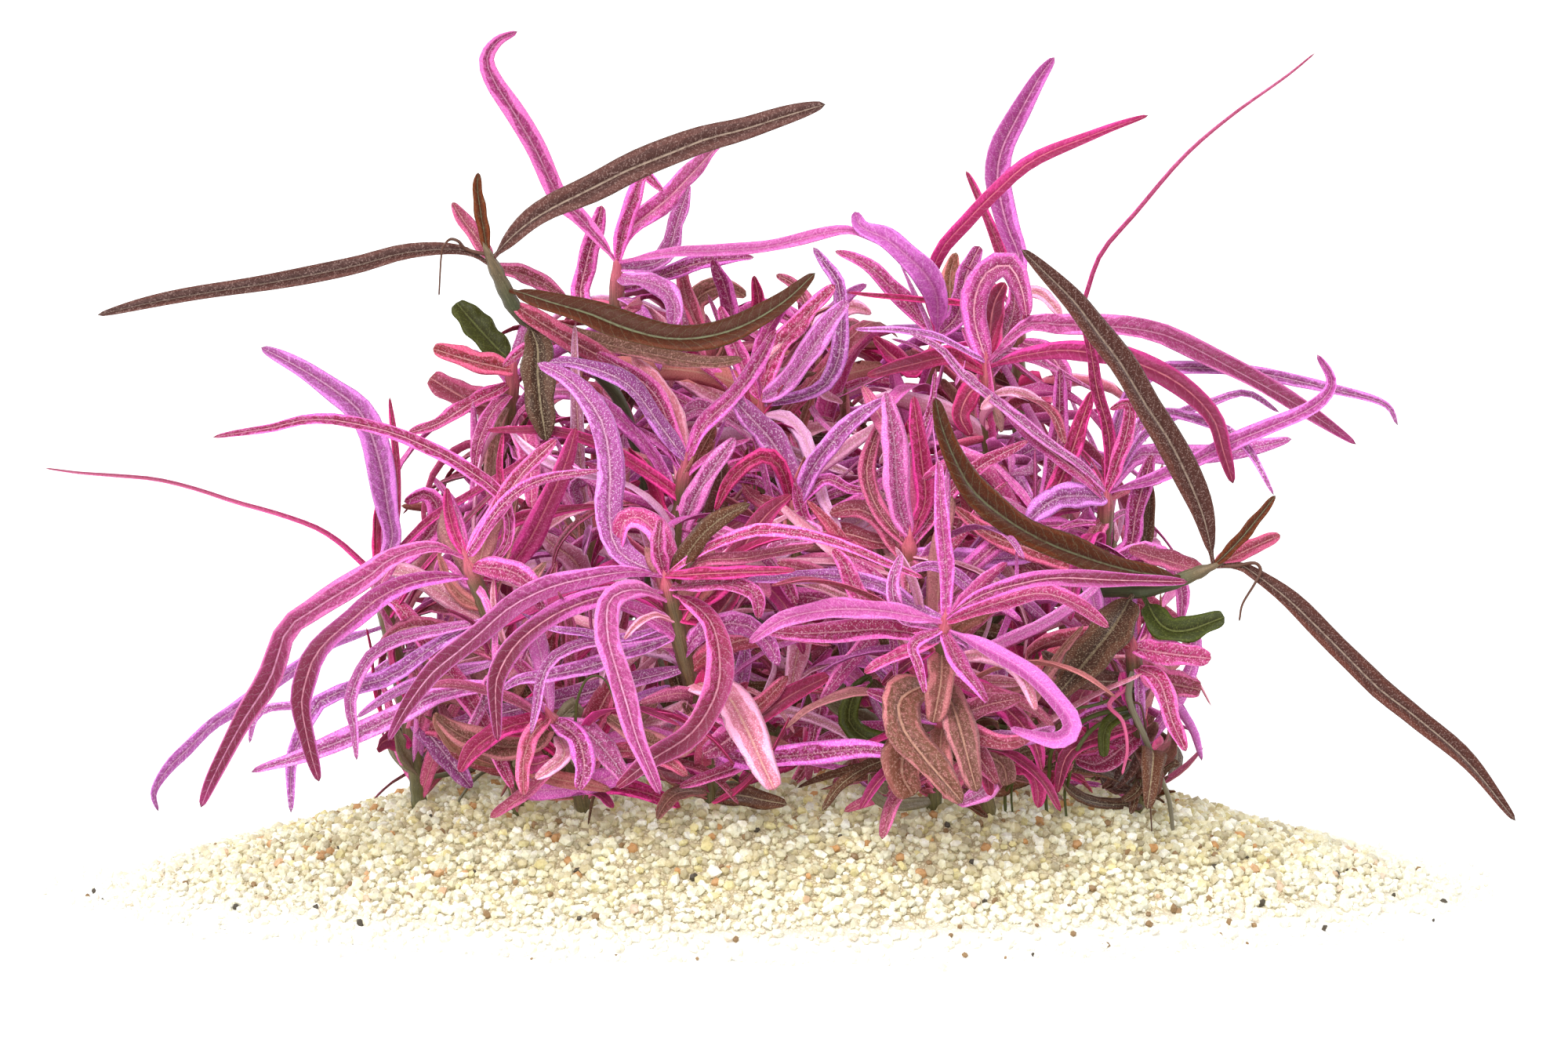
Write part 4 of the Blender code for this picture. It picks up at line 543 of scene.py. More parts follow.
    Leaf("right_outer", 1.6, -6, -8, ((1407, 665), (1370, 668), (1338, 682))),
    Leaf("right_outer", 2.0, 2, 0, (
        (1415, 612), (1455, 560), (1500, 530), (1545, 513), (1590, 502), (1632, 526),
    ), Tone.PURPLE),
    Leaf("right_low", 3.2, -8, -10, ((1451, 925), (1400, 940), (1362, 962), (1348, 1012)), Tone.CRIMSON),
    Leaf("right_low", 5.0, -4, -4, ((1452, 935), (1430, 955), (1400, 975), (1372, 968)), shape=Outline.BLUNT),
    Leaf("right_low", 2.8, -8, -10, ((1451, 905), (1425, 915), (1409, 932), (1408, 966)), Tone.GREEN,
         shape=Outline.BLUNT),
    Leaf("right_low", 4.5, 0, 0, ((1453, 945), (1440, 975), (1420, 1005)), Tone.DARK),
    Leaf("right_low", 4.0, -2, -2, ((1453, 950), (1470, 985), (1475, 1015)), Tone.DARK),
)

STRANDS = (
    Strand("left", 0.35, Tone.OLIVE, (
        (622, 325, -14), (595, 318, -14), (585, 308, -15), (575, 305, -15), (568, 311, -16), (563, 325, -16),
        (560, 375, -16),
    )),
    Strand("right", 0.4, Tone.OLIVE, (
        (1555, 722, -27), (1575, 722, -28), (1600, 718, -29), (1608, 728, -29), (1600, 745, -30),
        (1585, 770, -30), (1581, 790, -30),
    )),
    Strand("right_low", 0.3, Tone.OLIVE, (
        (1449, 860, -25), (1440, 893, -27), (1455, 900, -28), (1462, 940, -25), (1465, 990, -21),
    ), rooted=True),
    Strand("right_low", 0.35, Tone.GREEN, (
        (1450, 880, -25), (1400, 898, -30), (1370, 905, -32), (1330, 925, -34), (1300, 980, -29),
        (1290, 1012, -25),
    ), rooted=True),
    Strand("low_middle", 0.55, Tone.GREEN, (
        (1216, 935, -38), (1270, 925, -36), (1310, 950, -35), (1296, 990, -29), (1282, 1015, -25),
    ), rooted=True),
    Strand("right_low", 0.55, Tone.GREEN, (
        (1452, 900, -24), (1390, 915, -30), (1345, 950, -34), (1338, 990, -28), (1334, 1020, -24),
    ), rooted=True),
    Strand("right_low", 0.5, Tone.GREEN, (
        (1453, 910, -23), (1400, 925, -30), (1372, 960, -32), (1362, 1000, -26), (1358, 1015, -24),
    ), rooted=True),
    Strand("low_left", 0.3, Tone.GREEN, (
        (722, 950, -38), (733, 925, -41), (736, 895, -43), (747, 868, -44), (762, 862, -45), (775, 872, -46),
        (786, 902, -46),
    )),
    Strand("right_low", 0.55, Tone.ROSE, (
        (1448, 870, -26), (1415, 897, -29), (1432, 920, -31), (1438, 955, -31), (1432, 985, -31),
    )),
    Strand("right_low", 0.7, Tone.FADED, (
        (1448, 850, -26), (1440, 890, -28), (1460, 940, -27), (1480, 990, -23), (1492, 1025, -19),
    ), rooted=True),
)

SLOT_TONES = {
    Tone.PINK: "pink",
    Tone.PURPLE: "purple",
    Tone.CRIMSON: "crimson",
    Tone.DARK: "dark",
    Tone.BRONZE: "bronze",
    Tone.OLIVE: "olive",
    Tone.GREEN: "green",
}


@dataclass(frozen=True)
class FrontView:
    """The front view that the lines are drawn in: its squares, and the eye that sees it."""

    step: float = 0.15 * MM
    middle: tuple[float, float] = (1000.0, 667.0)
    width: float = 2000.0
    target: tuple[float, float, float] = (0.0, 0.0, 71.0 * MM)
    distance: float = 900.0 * MM
    height: float = math.radians(8.0)
    sensor: float = 36.0

    @property
    def eye(self) -> Vector:
        """Where the view is seen from."""
        back = Vector((0.0, -math.cos(self.height), math.sin(self.height)))
        return Vector(self.target) + back * self.distance

    @property
    def lens(self) -> float:
        """The focal length, in millimetres, that fills the frame with the drawing's width."""
        return self.sensor * self.distance / (self.width * self.step)

    def point(self, column: float, row: float, depth: float) -> Vector:
        """The point that the drawing shows at a grid place.

        Args:
            column: squares to the right of the drawing's left edge.
            row: squares below its top edge.
            depth: metres behind the clump's middle.

        Returns:
            The point in space.
        """
        eye = self.eye
        up = Vector((0.0, math.sin(self.height), math.cos(self.height)))
        aim = Vector(self.target) + up * ((self.middle[1] - row) * self.step)
        aim.x += (column - self.middle[0]) * self.step
        return eye + (aim - eye) * ((depth - eye.y) / (aim.y - eye.y))

    def place_of(self, point: Vector) -> tuple[float, float]:
        """The grid place that the drawing shows a point in.

        Args:
            point: the point in space.

        Returns:
            Its column and row.
        """
        up = Vector((0.0, math.sin(self.height), math.cos(self.height)))
        ahead = Vector((0.0, math.cos(self.height), -math.sin(self.height)))
        away = point - Vector(self.target)
        squares = self.distance / (self.distance + away.dot(ahead)) / self.step
        return self.middle[0] + away.x * squares, self.middle[1] - away.dot(up) * squares

    def add_camera(self) -> None:
        """Puts the camera at the eye and makes it the scene's."""
        data = bpy.data.cameras.new("camera")
        data.sensor_width = self.sensor
        data.lens = self.lens
        data.clip_start = 10.0 * MM
        camera = bpy.data.objects.new("camera", data)
        camera.location = self.eye
        camera.rotation_euler = (Vector(self.target) - self.eye).to_track_quat("-Z", "Y").to_euler()
        bpy.context.scene.collection.objects.link(camera)
        bpy.context.scene.camera = camera


VIEW = FrontView()


def curve_through(points: Line, steps: int = 8) -> Line:
    """Close points along a smooth curve.

    Args:
        points: the points that the curve runs through.
        steps: how many points each stretch gets.

    Returns:
        The curve's points, ends included.
    """
    ends = [points[0] * 2 - points[1], *points, points[-1] * 2 - points[-2]]
    curve = []
    for a, b, c, d in zip(ends, ends[1:], ends[2:], ends[3:]):
        for step in range(steps):
            s = step / steps
            bend = (a * 2 - b * 5 + c * 4 - d) * s * s + (b * 3 - a - c * 3 + d) * s * s * s
            curve.append((b * 2 + (c - a) * s + bend) * 0.5)
    curve.append(points[-1].copy())
    return curve


def reach_of(line: Line) -> list[float]:
    """How far along a line each of its points is.

    Args:
        line: the points.

    Returns:
        The distance to each point from the first, in metres.
    """
    reach = [0.0]
    for a, b in zip(line, line[1:]):
        reach.append(reach[-1] + (b - a).length)
    return reach


def spaced(curve: Line, count: int) -> Line:
    """Points at equal steps along a run of close points.

    Args:
        curve: the run of points.
        count: how many are wanted, ends included.

    Returns:
        The spaced points.
    """
    reach = reach_of(curve)
    wanted = np.linspace(0.0, reach[-1], count)
    axes = [np.interp(wanted, reach, [p[axis] for p in curve]) for axis in range(3)]
    return [Vector(p) for p in zip(*axes)]


def headings(line: Line) -> Line:
    """The direction of travel at each point of a line.

    Args:
        line: the points.

    Returns:
        A unit vector for each point.
    """
    ahead = line[1:] + [line[-1] * 2 - line[-2]]
    behind = [line[0] * 2 - line[1]] + line[:-1]
    return [(b - a).normalized() for a, b in zip(behind, ahead)]


def eased(value: float | np.ndarray, low: float, high: float) -> float | np.ndarray:
    """A smooth step from nought at a low value to one at a high value."""
    s = np.clip((value - low) / (high - low), 0.0, 1.0)
    return s * s * (3.0 - 2.0 * s)


@dataclass(frozen=True)
class Heap:
    """The gravel heap: an oval mound with a flat underside."""

    half_length: float = 128.0 * MM
    half_depth: float = 63.0 * MM
    height: float = 18.5 * MM
    rim: float = 1.5 * MM
    fall: float = 2.2
    wobble: float = 0.035
    wobble_seed: int = 3

    def height_at(self, x: float | np.ndarray, y: float | np.ndarray) -> float | np.ndarray:
        """The height of the gravel at a place in plan, or at many."""
        out = np.hypot(x / self.half_length, y / self.half_depth)
        return self.rim + self.height * np.maximum(0.0, 1.0 - out**self.fall)

    def outline(self, way: float | np.ndarray) -> float | np.ndarray:
        """How far out the rim is, next to a true oval.

        Args:
            way: a direction seen from above, or many, in radians.

        Returns:
            The share of the oval's reach in each direction.
        """
        chance = random.Random(self.wobble_seed)
        phases = [chance.uniform(0.0, math.tau) for _ in range(3)]
        waves = sum(np.sin((k + 2) * way + phase) for k, phase in enumerate(phases)) / 3.0
        return 1.0 + self.wobble * waves


HEAP = Heap()


@dataclass(frozen=True)
class Build:
    """The sizes that the stems' and leaves' solids share with the frame."""

    gap: float = 0.3 * MM
    rooted: float = 7.0 * MM
    stem_sides: int = 4
    stem_radius: float = 1.15 * MM
    crown_radius: float = 0.9 * MM
    bud: float = 5.0 * MM
    stem_station: float = 31.0 * MM
    stem_places: int = 80
    leaf_thickness: float = 0.7 * MM
    tip_thinning: float = 0.4
    petiole: float = 0.5 * MM
    channel: float = 0.15
    widest_towards_base: float = 0.85
    lance_power: float = 0.75
    blunt_power: float = 0.5
    twist_step: float = 0.6
    large_stations: int = 8
    small_stations: int = 5
    grown_stations: int = 4
    clear_of_heap: float = 0.6 * MM
    depth_tries: tuple[int, ...] = (0, -3, 3, -6, 6, -9, 9, -12, 12, -16, 16, -20, 20, -25, 25)
    slide_tries: tuple[int, ...] = (0, -3, 3, -6, 6, -10)

    def share_of_width(self, along: float, shape: Outline) -> float:
        """How wide a leaf is, next to its full width.

        Args:
            along: a share of its length, from its base.
            shape: its outline.

        Returns:
            The share of its width there.
        """
        if shape is Outline.WHIP:
            return (1.0 - along) ** 0.5
        power = self.blunt_power if shape is Outline.BLUNT else self.lance_power
        base_heavy = along**self.widest_towards_base
        return max(0.0, 4.0 * base_heavy * (1.0 - base_heavy)) ** power

    def stations(self, leaf: Leaf) -> int:
        """How many points the solid of a leaf has along it.

        Args:
            leaf: the leaf.

        Returns:
            The number of points, base and tip included.
        """
        if leaf.node:
            return self.large_stations
        return self.small_stations if leaf.line else self.grown_stations

    def leaf_frame(self, line: Line, face: Vector) -> list[tuple[Vector, Vector]]:
        """The side and the upper face of a leaf at each point of its line but the tip.

        Args:
            line: the points along the leaf.
            face: the way that its upper face turns.

        Returns:
            The side direction and the normal at each point.
        """
        frames = []
        normal = face
        for heading in headings(line)[:-1]:
            normal = face * self.twist_step + normal * (1.0 - self.twist_step)
            normal = (normal - heading * normal.dot(heading)).normalized()
            frames.append((heading.cross(normal), normal))
        return frames

    def leaf_rings(self, line: Line, leaf: Leaf, face: Vector, grow: float = 0.0) -> Rings:
        """Rings of corners of a leaf's plain solid, last the tip alone.

        Args:
            line: the points along the leaf.
            leaf: the leaf.
            face: the way that its upper face turns.
            grow: how far the solid is fattened all round.

        Returns:
            Three corners at each point, and the tip.
        """
        rings = []
        for index, (side, normal) in enumerate(self.leaf_frame(line, face)):
            along = index / (len(line) - 1)
            half = 0.5 * leaf.width * MM * self.share_of_width(along, leaf.shape)
            half = max(self.petiole, half) + grow
            thick = 0.5 * self.leaf_thickness * (1.0 - self.tip_thinning * along) + grow
            edge = normal * (self.channel * half)
            point = line[index]
            rings.append([point - side * half + edge, point - normal * thick, point + side * half + edge])
        rings.append([line[-1]])
        return rings

    def stem_curve(self, shoot: Shoot) -> Line:
        """Close points up a stem.

        Args:
            shoot: the stem's shoot.

        Returns:
            The points from its rooted foot to its crown.
        """
        x, y = (value * MM for value in shoot.foot)
        ground = HEAP.height_at(x, y)
        rooted = Vector((x, y, ground - self.rooted))
        surface = Vector((x, y, ground))
        rise = [VIEW.point(column, row, depth * MM) for column, row, depth in shoot.rise]
        return curve_through([rooted, surface, *rise])

    def stem_line(self, shoot: Shoot) -> Line:
        """The few points of a stem's plain solid.

        Args:
            shoot: the stem's shoot.

        Returns:
            Evenly spaced points from its foot to its crown.
        """
        curve = self.stem_curve(shoot)
        length = sum((b - a).length for a, b in zip(curve, curve[1:]))
        return spaced(curve, max(len(shoot.rise) + 1, round(length / self.stem_station) + 1))

    def stem_rings(self, line: Line) -> Rings:
        """Rings of corners up a stem's plain solid.

        Args:
            line: the points up the stem.

        Returns:
            A ring at each point, and last the tip of its bud alone.
        """
        thinner = (self.stem_radius - self.crown_radius) / (len(line) - 1)
        rings = []
        for index, (point, heading) in enumerate(zip(line, headings(line))):
            side = heading.cross(Vector((0.0, 1.0, 0.0))).normalized()
            side *= self.stem_radius - thinner * index
            turns = [Matrix.Rotation(math.tau * k / self.stem_sides, 3, heading)
                     for k in range(self.stem_sides)]
            rings.append([point + turn @ side for turn in turns])
        return [*rings, [line[-1] + headings(line)[-1] * self.bud]]


BUILD = Build()


def skin(rings: Rings) -> tuple[Line, list[tuple[int, ...]]]:
    """A closed skin over rings of corners.

    Args:
        rings: equal rings, then a single tip.

    Returns:
        The skin's corners, and its faces by corner.
    """
    corners = [corner for ring in rings for corner in ring]
    count = len(rings[0])
    faces = [tuple(range(count))]
    for ring in range(len(rings) - 2):
        for side in range(count):
            a = ring * count + side
            b = ring * count + (side + 1) % count
            faces.append((b, a, a + count, b + count))
    tip = len(corners) - 1
    last = (len(rings) - 2) * count
    for side in range(count):
        faces.append((last + (side + 1) % count, last + side, tip))
    return corners, faces


class Space:
    """The room that a solid takes, from the rings of its skin."""

    def __init__(self, rings: Rings) -> None:
        """Keeps the skin over the rings, and its box.

        Args:
            rings: the rings of the solid's corners, last its tip alone.
        """
        corners, faces = skin(rings)
        self.low = np.min(corners, axis=0)
        self.high = np.max(corners, axis=0)
        self.tree = BVHTree.FromPolygons(corners, faces)

    def touches(self, other: Space) -> bool:
        """Whether two solids' skins meet.

        Args:
            other: the room of the other solid.

        Returns:
            True where they cross or touch.
        """
        if (self.low > other.high).any() or (self.high < other.low).any():
            return False
        return bool(self.tree.overlap(other.tree))


@dataclass(frozen=True)
class PlacedLeaf:
    """A leaf in its place: its line from its stem to its blade, its blade's line, and its upper face's way.

    A main leaf is one of the plant's main form, and the others fill the clump.
    """

    leaf: Leaf
    root: Line
    curve: Line
    face: Vector
    main: bool = True


# Duller tones for leaves low on their stems: partly older leaves' own browner colour, partly painted shade
# low in the clump.
SHADED_TONES = {Tone.PALE: Tone.OLIVE, Tone.PINK: Tone.ROSE, Tone.ROSE: Tone.BROWN, Tone.PURPLE: Tone.ROSE}


@dataclass(frozen=True)
class Growth:
    """How leaves that aren't drawn grow: in crossed pairs, rising from their stem and bending over.

    Their heights on the stem are shares of it, or metres above the gravel where these are given. Those that
    leave their stem below a height take duller tones: partly the browner colour of older low leaves, partly
    painted shade low in the clump. Angles are in degrees.
    """

    pairs: int
    lowest: float
    span: float
    tries: int
    scatter: float
    length: tuple[float, float]
    width: tuple[float, float]
    rise: tuple[float, float]
    bend: tuple[float, float]
    turn: float
    tones: tuple[Tone, ...]
    block: tuple[float, float, float]
    lowest_row: float = math.inf
    facing: float = 0.0
    outward: float = 0.0
    wave: float = 0.0
    above: tuple[float, float] | None = None
    shaded_below: float = 0.0
    steps: int = 5
    rounding: int = 3
    pitch_turns: float = 4.0
    heading_turns: float = 5.0
    face_up: float = 0.85
    face_out: float = 0.5

    def inside(self, point: Vector) -> bool:
        """Whether these leaves may reach a point.

        Args:
            point: the point.

        Returns:
            True inside the rounded block that they fill, where it isn't seen too low down.
        """
        if VIEW.place_of(point)[1] > self.lowest_row:
            return False
        return sum(abs(p / half) ** self.rounding for p, half in zip(point, self.block)) < 1.0

    def leaf(self, shoot: str, start: Vector, way: float, chance: random.Random, main: bool) -> PlacedLeaf:
        """A leaf that leaves its stem one way, rises and bends over.

        Args:
            shoot: the name of its shoot.
            start: where it leaves the stem.
            way: the direction seen from above, in radians.
            chance: what it draws its size and bend from.
            main: whether it is one of the main form.

        Returns:
            The leaf along its curve.
        """
        length = chance.uniform(*self.length)
        width = chance.uniform(*self.width)
        rise = math.radians(chance.uniform(*self.rise))
        bend = math.radians(chance.uniform(*self.bend))
        turn = math.radians(chance.uniform(-self.turn, self.turn))
        way += math.radians(chance.uniform(-self.scatter, self.scatter))
        tone = chance.choice(self.tones)
        if start.z < self.shaded_below:
            tone = SHADED_TONES.get(tone, tone)
        wave, phase = 0.0, 0.0
        if self.wave:
            wave = math.radians(chance.uniform(-self.wave, self.wave))
            phase = chance.uniform(0.0, math.tau)
        points = [start]
        for step in range(self.steps):
            s = (step + 0.5) / self.steps
            pitch = rise - bend * s + wave * math.cos(phase + self.pitch_turns * s)
            heading = way + turn * s + wave * math.sin(phase + self.heading_turns * s)
            level = math.cos(pitch)
            along = Vector((level * math.cos(heading), level * math.sin(heading), math.sin(pitch)))
            points.append(points[-1] + along * (length / self.steps))
        outward = Vector((math.cos(way), math.sin(way), 0.0))
        face = Vector((0.0, 0.0, self.face_up)) + outward * self.face_out
        if self.facing:
            face += Vector([chance.uniform(-self.facing, self.facing) for _ in range(3)])
            face += outward * self.face_out * self.facing
            face += Vector((0.4 * start.x, start.y, 0.0)).normalized() * self.outward
        face.normalize()
        return PlacedLeaf(Leaf(shoot, width, 0, 0, (), tone), [], curve_through(points, 4), face, main)


PAIRED = Growth(
    pairs=3, lowest=0.22, span=0.72, tries=3, scatter=25.0,
    length=(26.0 * MM, 48.0 * MM), width=(3.2, 5.2), rise=(35.0, 75.0), bend=(60.0, 150.0), turn=50.0,
    tones=(Tone.PINK, Tone.PINK, Tone.PURPLE, Tone.CRIMSON, Tone.ROSE, Tone.PALE),
    block=(80.0 * MM, 67.0 * MM, 118.0 * MM), shaded_below=42.0 * MM,
)

# The lower and innermost layers take darker, browner tones: partly older leaves' own colour, partly painted
# shade deep in the clump.
FILLING = (
    Growth(
        pairs=2, lowest=0.93, span=0.07, tries=6, scatter=30.0,
        length=(8.0 * MM, 20.0 * MM), width=(1.6, 3.0), rise=(50.0, 80.0), bend=(10.0, 70.0), turn=30.0,
        tones=(Tone.PINK, Tone.PINK, Tone.CRIMSON, Tone.PURPLE),
        block=(86.0 * MM, 67.0 * MM, 124.0 * MM), lowest_row=1000.0, facing=0.4,
    ),
    Growth(
        pairs=8, lowest=0.7, span=0.29, tries=14, scatter=50.0,
        length=(26.0 * MM, 58.0 * MM), width=(1.5, 4.3), rise=(0.0, 80.0), bend=(-40.0, 130.0), turn=80.0,
        tones=(Tone.PINK, Tone.PINK, Tone.ORCHID, Tone.ORCHID, Tone.PURPLE, Tone.PALE, Tone.PALE, Tone.ROSE),
        block=(84.0 * MM, 66.0 * MM, 121.0 * MM), lowest_row=980.0, facing=0.9, outward=0.9, wave=32.0,
    ),
    Growth(
        pairs=9, lowest=0.36, span=0.5, tries=14, scatter=60.0,
        length=(22.0 * MM, 50.0 * MM), width=(1.7, 4.6), rise=(-10.0, 80.0), bend=(-60.0, 100.0), turn=90.0,
        tones=(Tone.PINK, Tone.ORCHID, Tone.PURPLE, Tone.CRIMSON, Tone.ROSE, Tone.PALE, Tone.BROWN),
        block=(82.0 * MM, 64.0 * MM, 116.0 * MM), lowest_row=1000.0, facing=0.9, outward=0.8, wave=35.0,
    ),
    Growth(
        pairs=9, lowest=0.05, span=0.5, tries=10, scatter=60.0,
        length=(16.0 * MM, 38.0 * MM), width=(2.2, 5.0), rise=(-5.0, 80.0), bend=(-50.0, 80.0), turn=80.0,
        tones=(
            Tone.ROSE, Tone.ROSE, Tone.PINK, Tone.CRIMSON, Tone.PURPLE, Tone.BROWN, Tone.CRIMSON, Tone.OLIVE,
        ),
        block=(81.0 * MM, 62.0 * MM, 100.0 * MM), lowest_row=1030.0, facing=0.8, outward=0.8, wave=30.0,
    ),
    Growth(
        pairs=8, lowest=0.0, span=0.0, tries=16, scatter=80.0,
        length=(13.0 * MM, 30.0 * MM), width=(2.2, 4.8), rise=(-5.0, 65.0), bend=(-40.0, 60.0), turn=60.0,
        tones=(Tone.ROSE, Tone.BROWN, Tone.CRIMSON, Tone.ROSE, Tone.BROWN, Tone.FADED, Tone.OLIVE),
        block=(77.0 * MM, 58.0 * MM, 70.0 * MM), lowest_row=1046.0, facing=0.8, outward=1.0, wave=25.0,
        above=(4.0 * MM, 17.0 * MM),
    ),
    Growth(
        pairs=11, lowest=0.02, span=0.95, tries=14, scatter=80.0,
        length=(12.0 * MM, 30.0 * MM), width=(3.0, 6.0), rise=(-10.0, 85.0), bend=(-60.0, 60.0), turn=60.0,
        tones=(Tone.ROSE, Tone.BROWN, Tone.CRIMSON, Tone.OLIVE, Tone.BROWN, Tone.DARK, Tone.BROWN),
        block=(78.0 * MM, 58.0 * MM, 108.0 * MM), lowest_row=1030.0, facing=0.7, outward=1.0, wave=30.0,
    ),
)

CROWNED = Growth(
    pairs=6, lowest=0.86, span=0.14, tries=14, scatter=45.0,
    length=(18.0 * MM, 36.0 * MM), width=(2.8, 5.0), rise=(5.0, 75.0), bend=(0.0, 120.0), turn=60.0,
    tones=(Tone.PINK, Tone.ORCHID, Tone.ROSE, Tone.PALE, Tone.CRIMSON, Tone.BROWN),
    block=(84.0 * MM, 66.0 * MM, 121.0 * MM), lowest_row=760.0, facing=0.8, outward=1.0, wave=25.0,
)

MOSSY = Growth(
    pairs=16, lowest=0.0, span=0.0, tries=12, scatter=90.0,
    length=(4.0 * MM, 10.0 * MM), width=(1.6, 3.2), rise=(-10.0, 80.0), bend=(-60.0, 60.0), turn=60.0,
    tones=(Tone.DARK, Tone.DARK, Tone.OLIVE, Tone.BRONZE),
    block=(84.0 * MM, 60.0 * MM, 70.0 * MM), facing=0.9, outward=0.5, wave=40.0,
    above=(4.0 * MM, 13.0 * MM),
)

THICKENED = (
    ("right_low", MOSSY), ("right_low", MOSSY), ("back_left", CROWNED), ("back_middle", CROWNED),
    ("middle_back", CROWNED), ("left_tall", CROWNED),
)


@dataclass
class DrawnFront:
    """Where the drawn leaves are in the front view, cell by cell, so that no other leaf hides them."""

    cell: float = 6.0
    reach: float = 0.7
    places: int = 60
    margin: float = 0.5 * MM
    most_hidden: float = 0.14
    depths: dict[tuple[int, int], float] = field(default_factory=dict)

    def cell_of(self, column: float, row: float) -> tuple[int, int]:
        """The cell that a place in the view is in."""
        return round(column / self.cell), round(row / self.cell)

    def take(self, line: Line, half_width: float) -> None:
        """Takes in a drawn leaf or strand.

        Args:
            line: the points along it.
            half_width: half its width, in metres.
        """
        side = self.reach * half_width / VIEW.step
        for point in spaced(line, self.places):
            column, row = VIEW.place_of(point)
            for across in (-side, 0.0, side):
                for up in (-side, 0.0, side):
                    cell = self.cell_of(column + across, row + up)
                    self.depths[cell] = min(point.y, self.depths.get(cell, math.inf))

    def hidden_by(self, placed: PlacedLeaf) -> bool:
        """Whether a leaf would hide drawn ones.

        Args:
            placed: the leaf in its place.

        Returns:
            True where it would stand before them along more than a little of its length.
        """
        before = [p.y + self.margin < self.depths.get(self.cell_of(*VIEW.place_of(p)), -math.inf)
                  for p in placed.curve]
        return sum(before) > self.most_hidden * len(before)


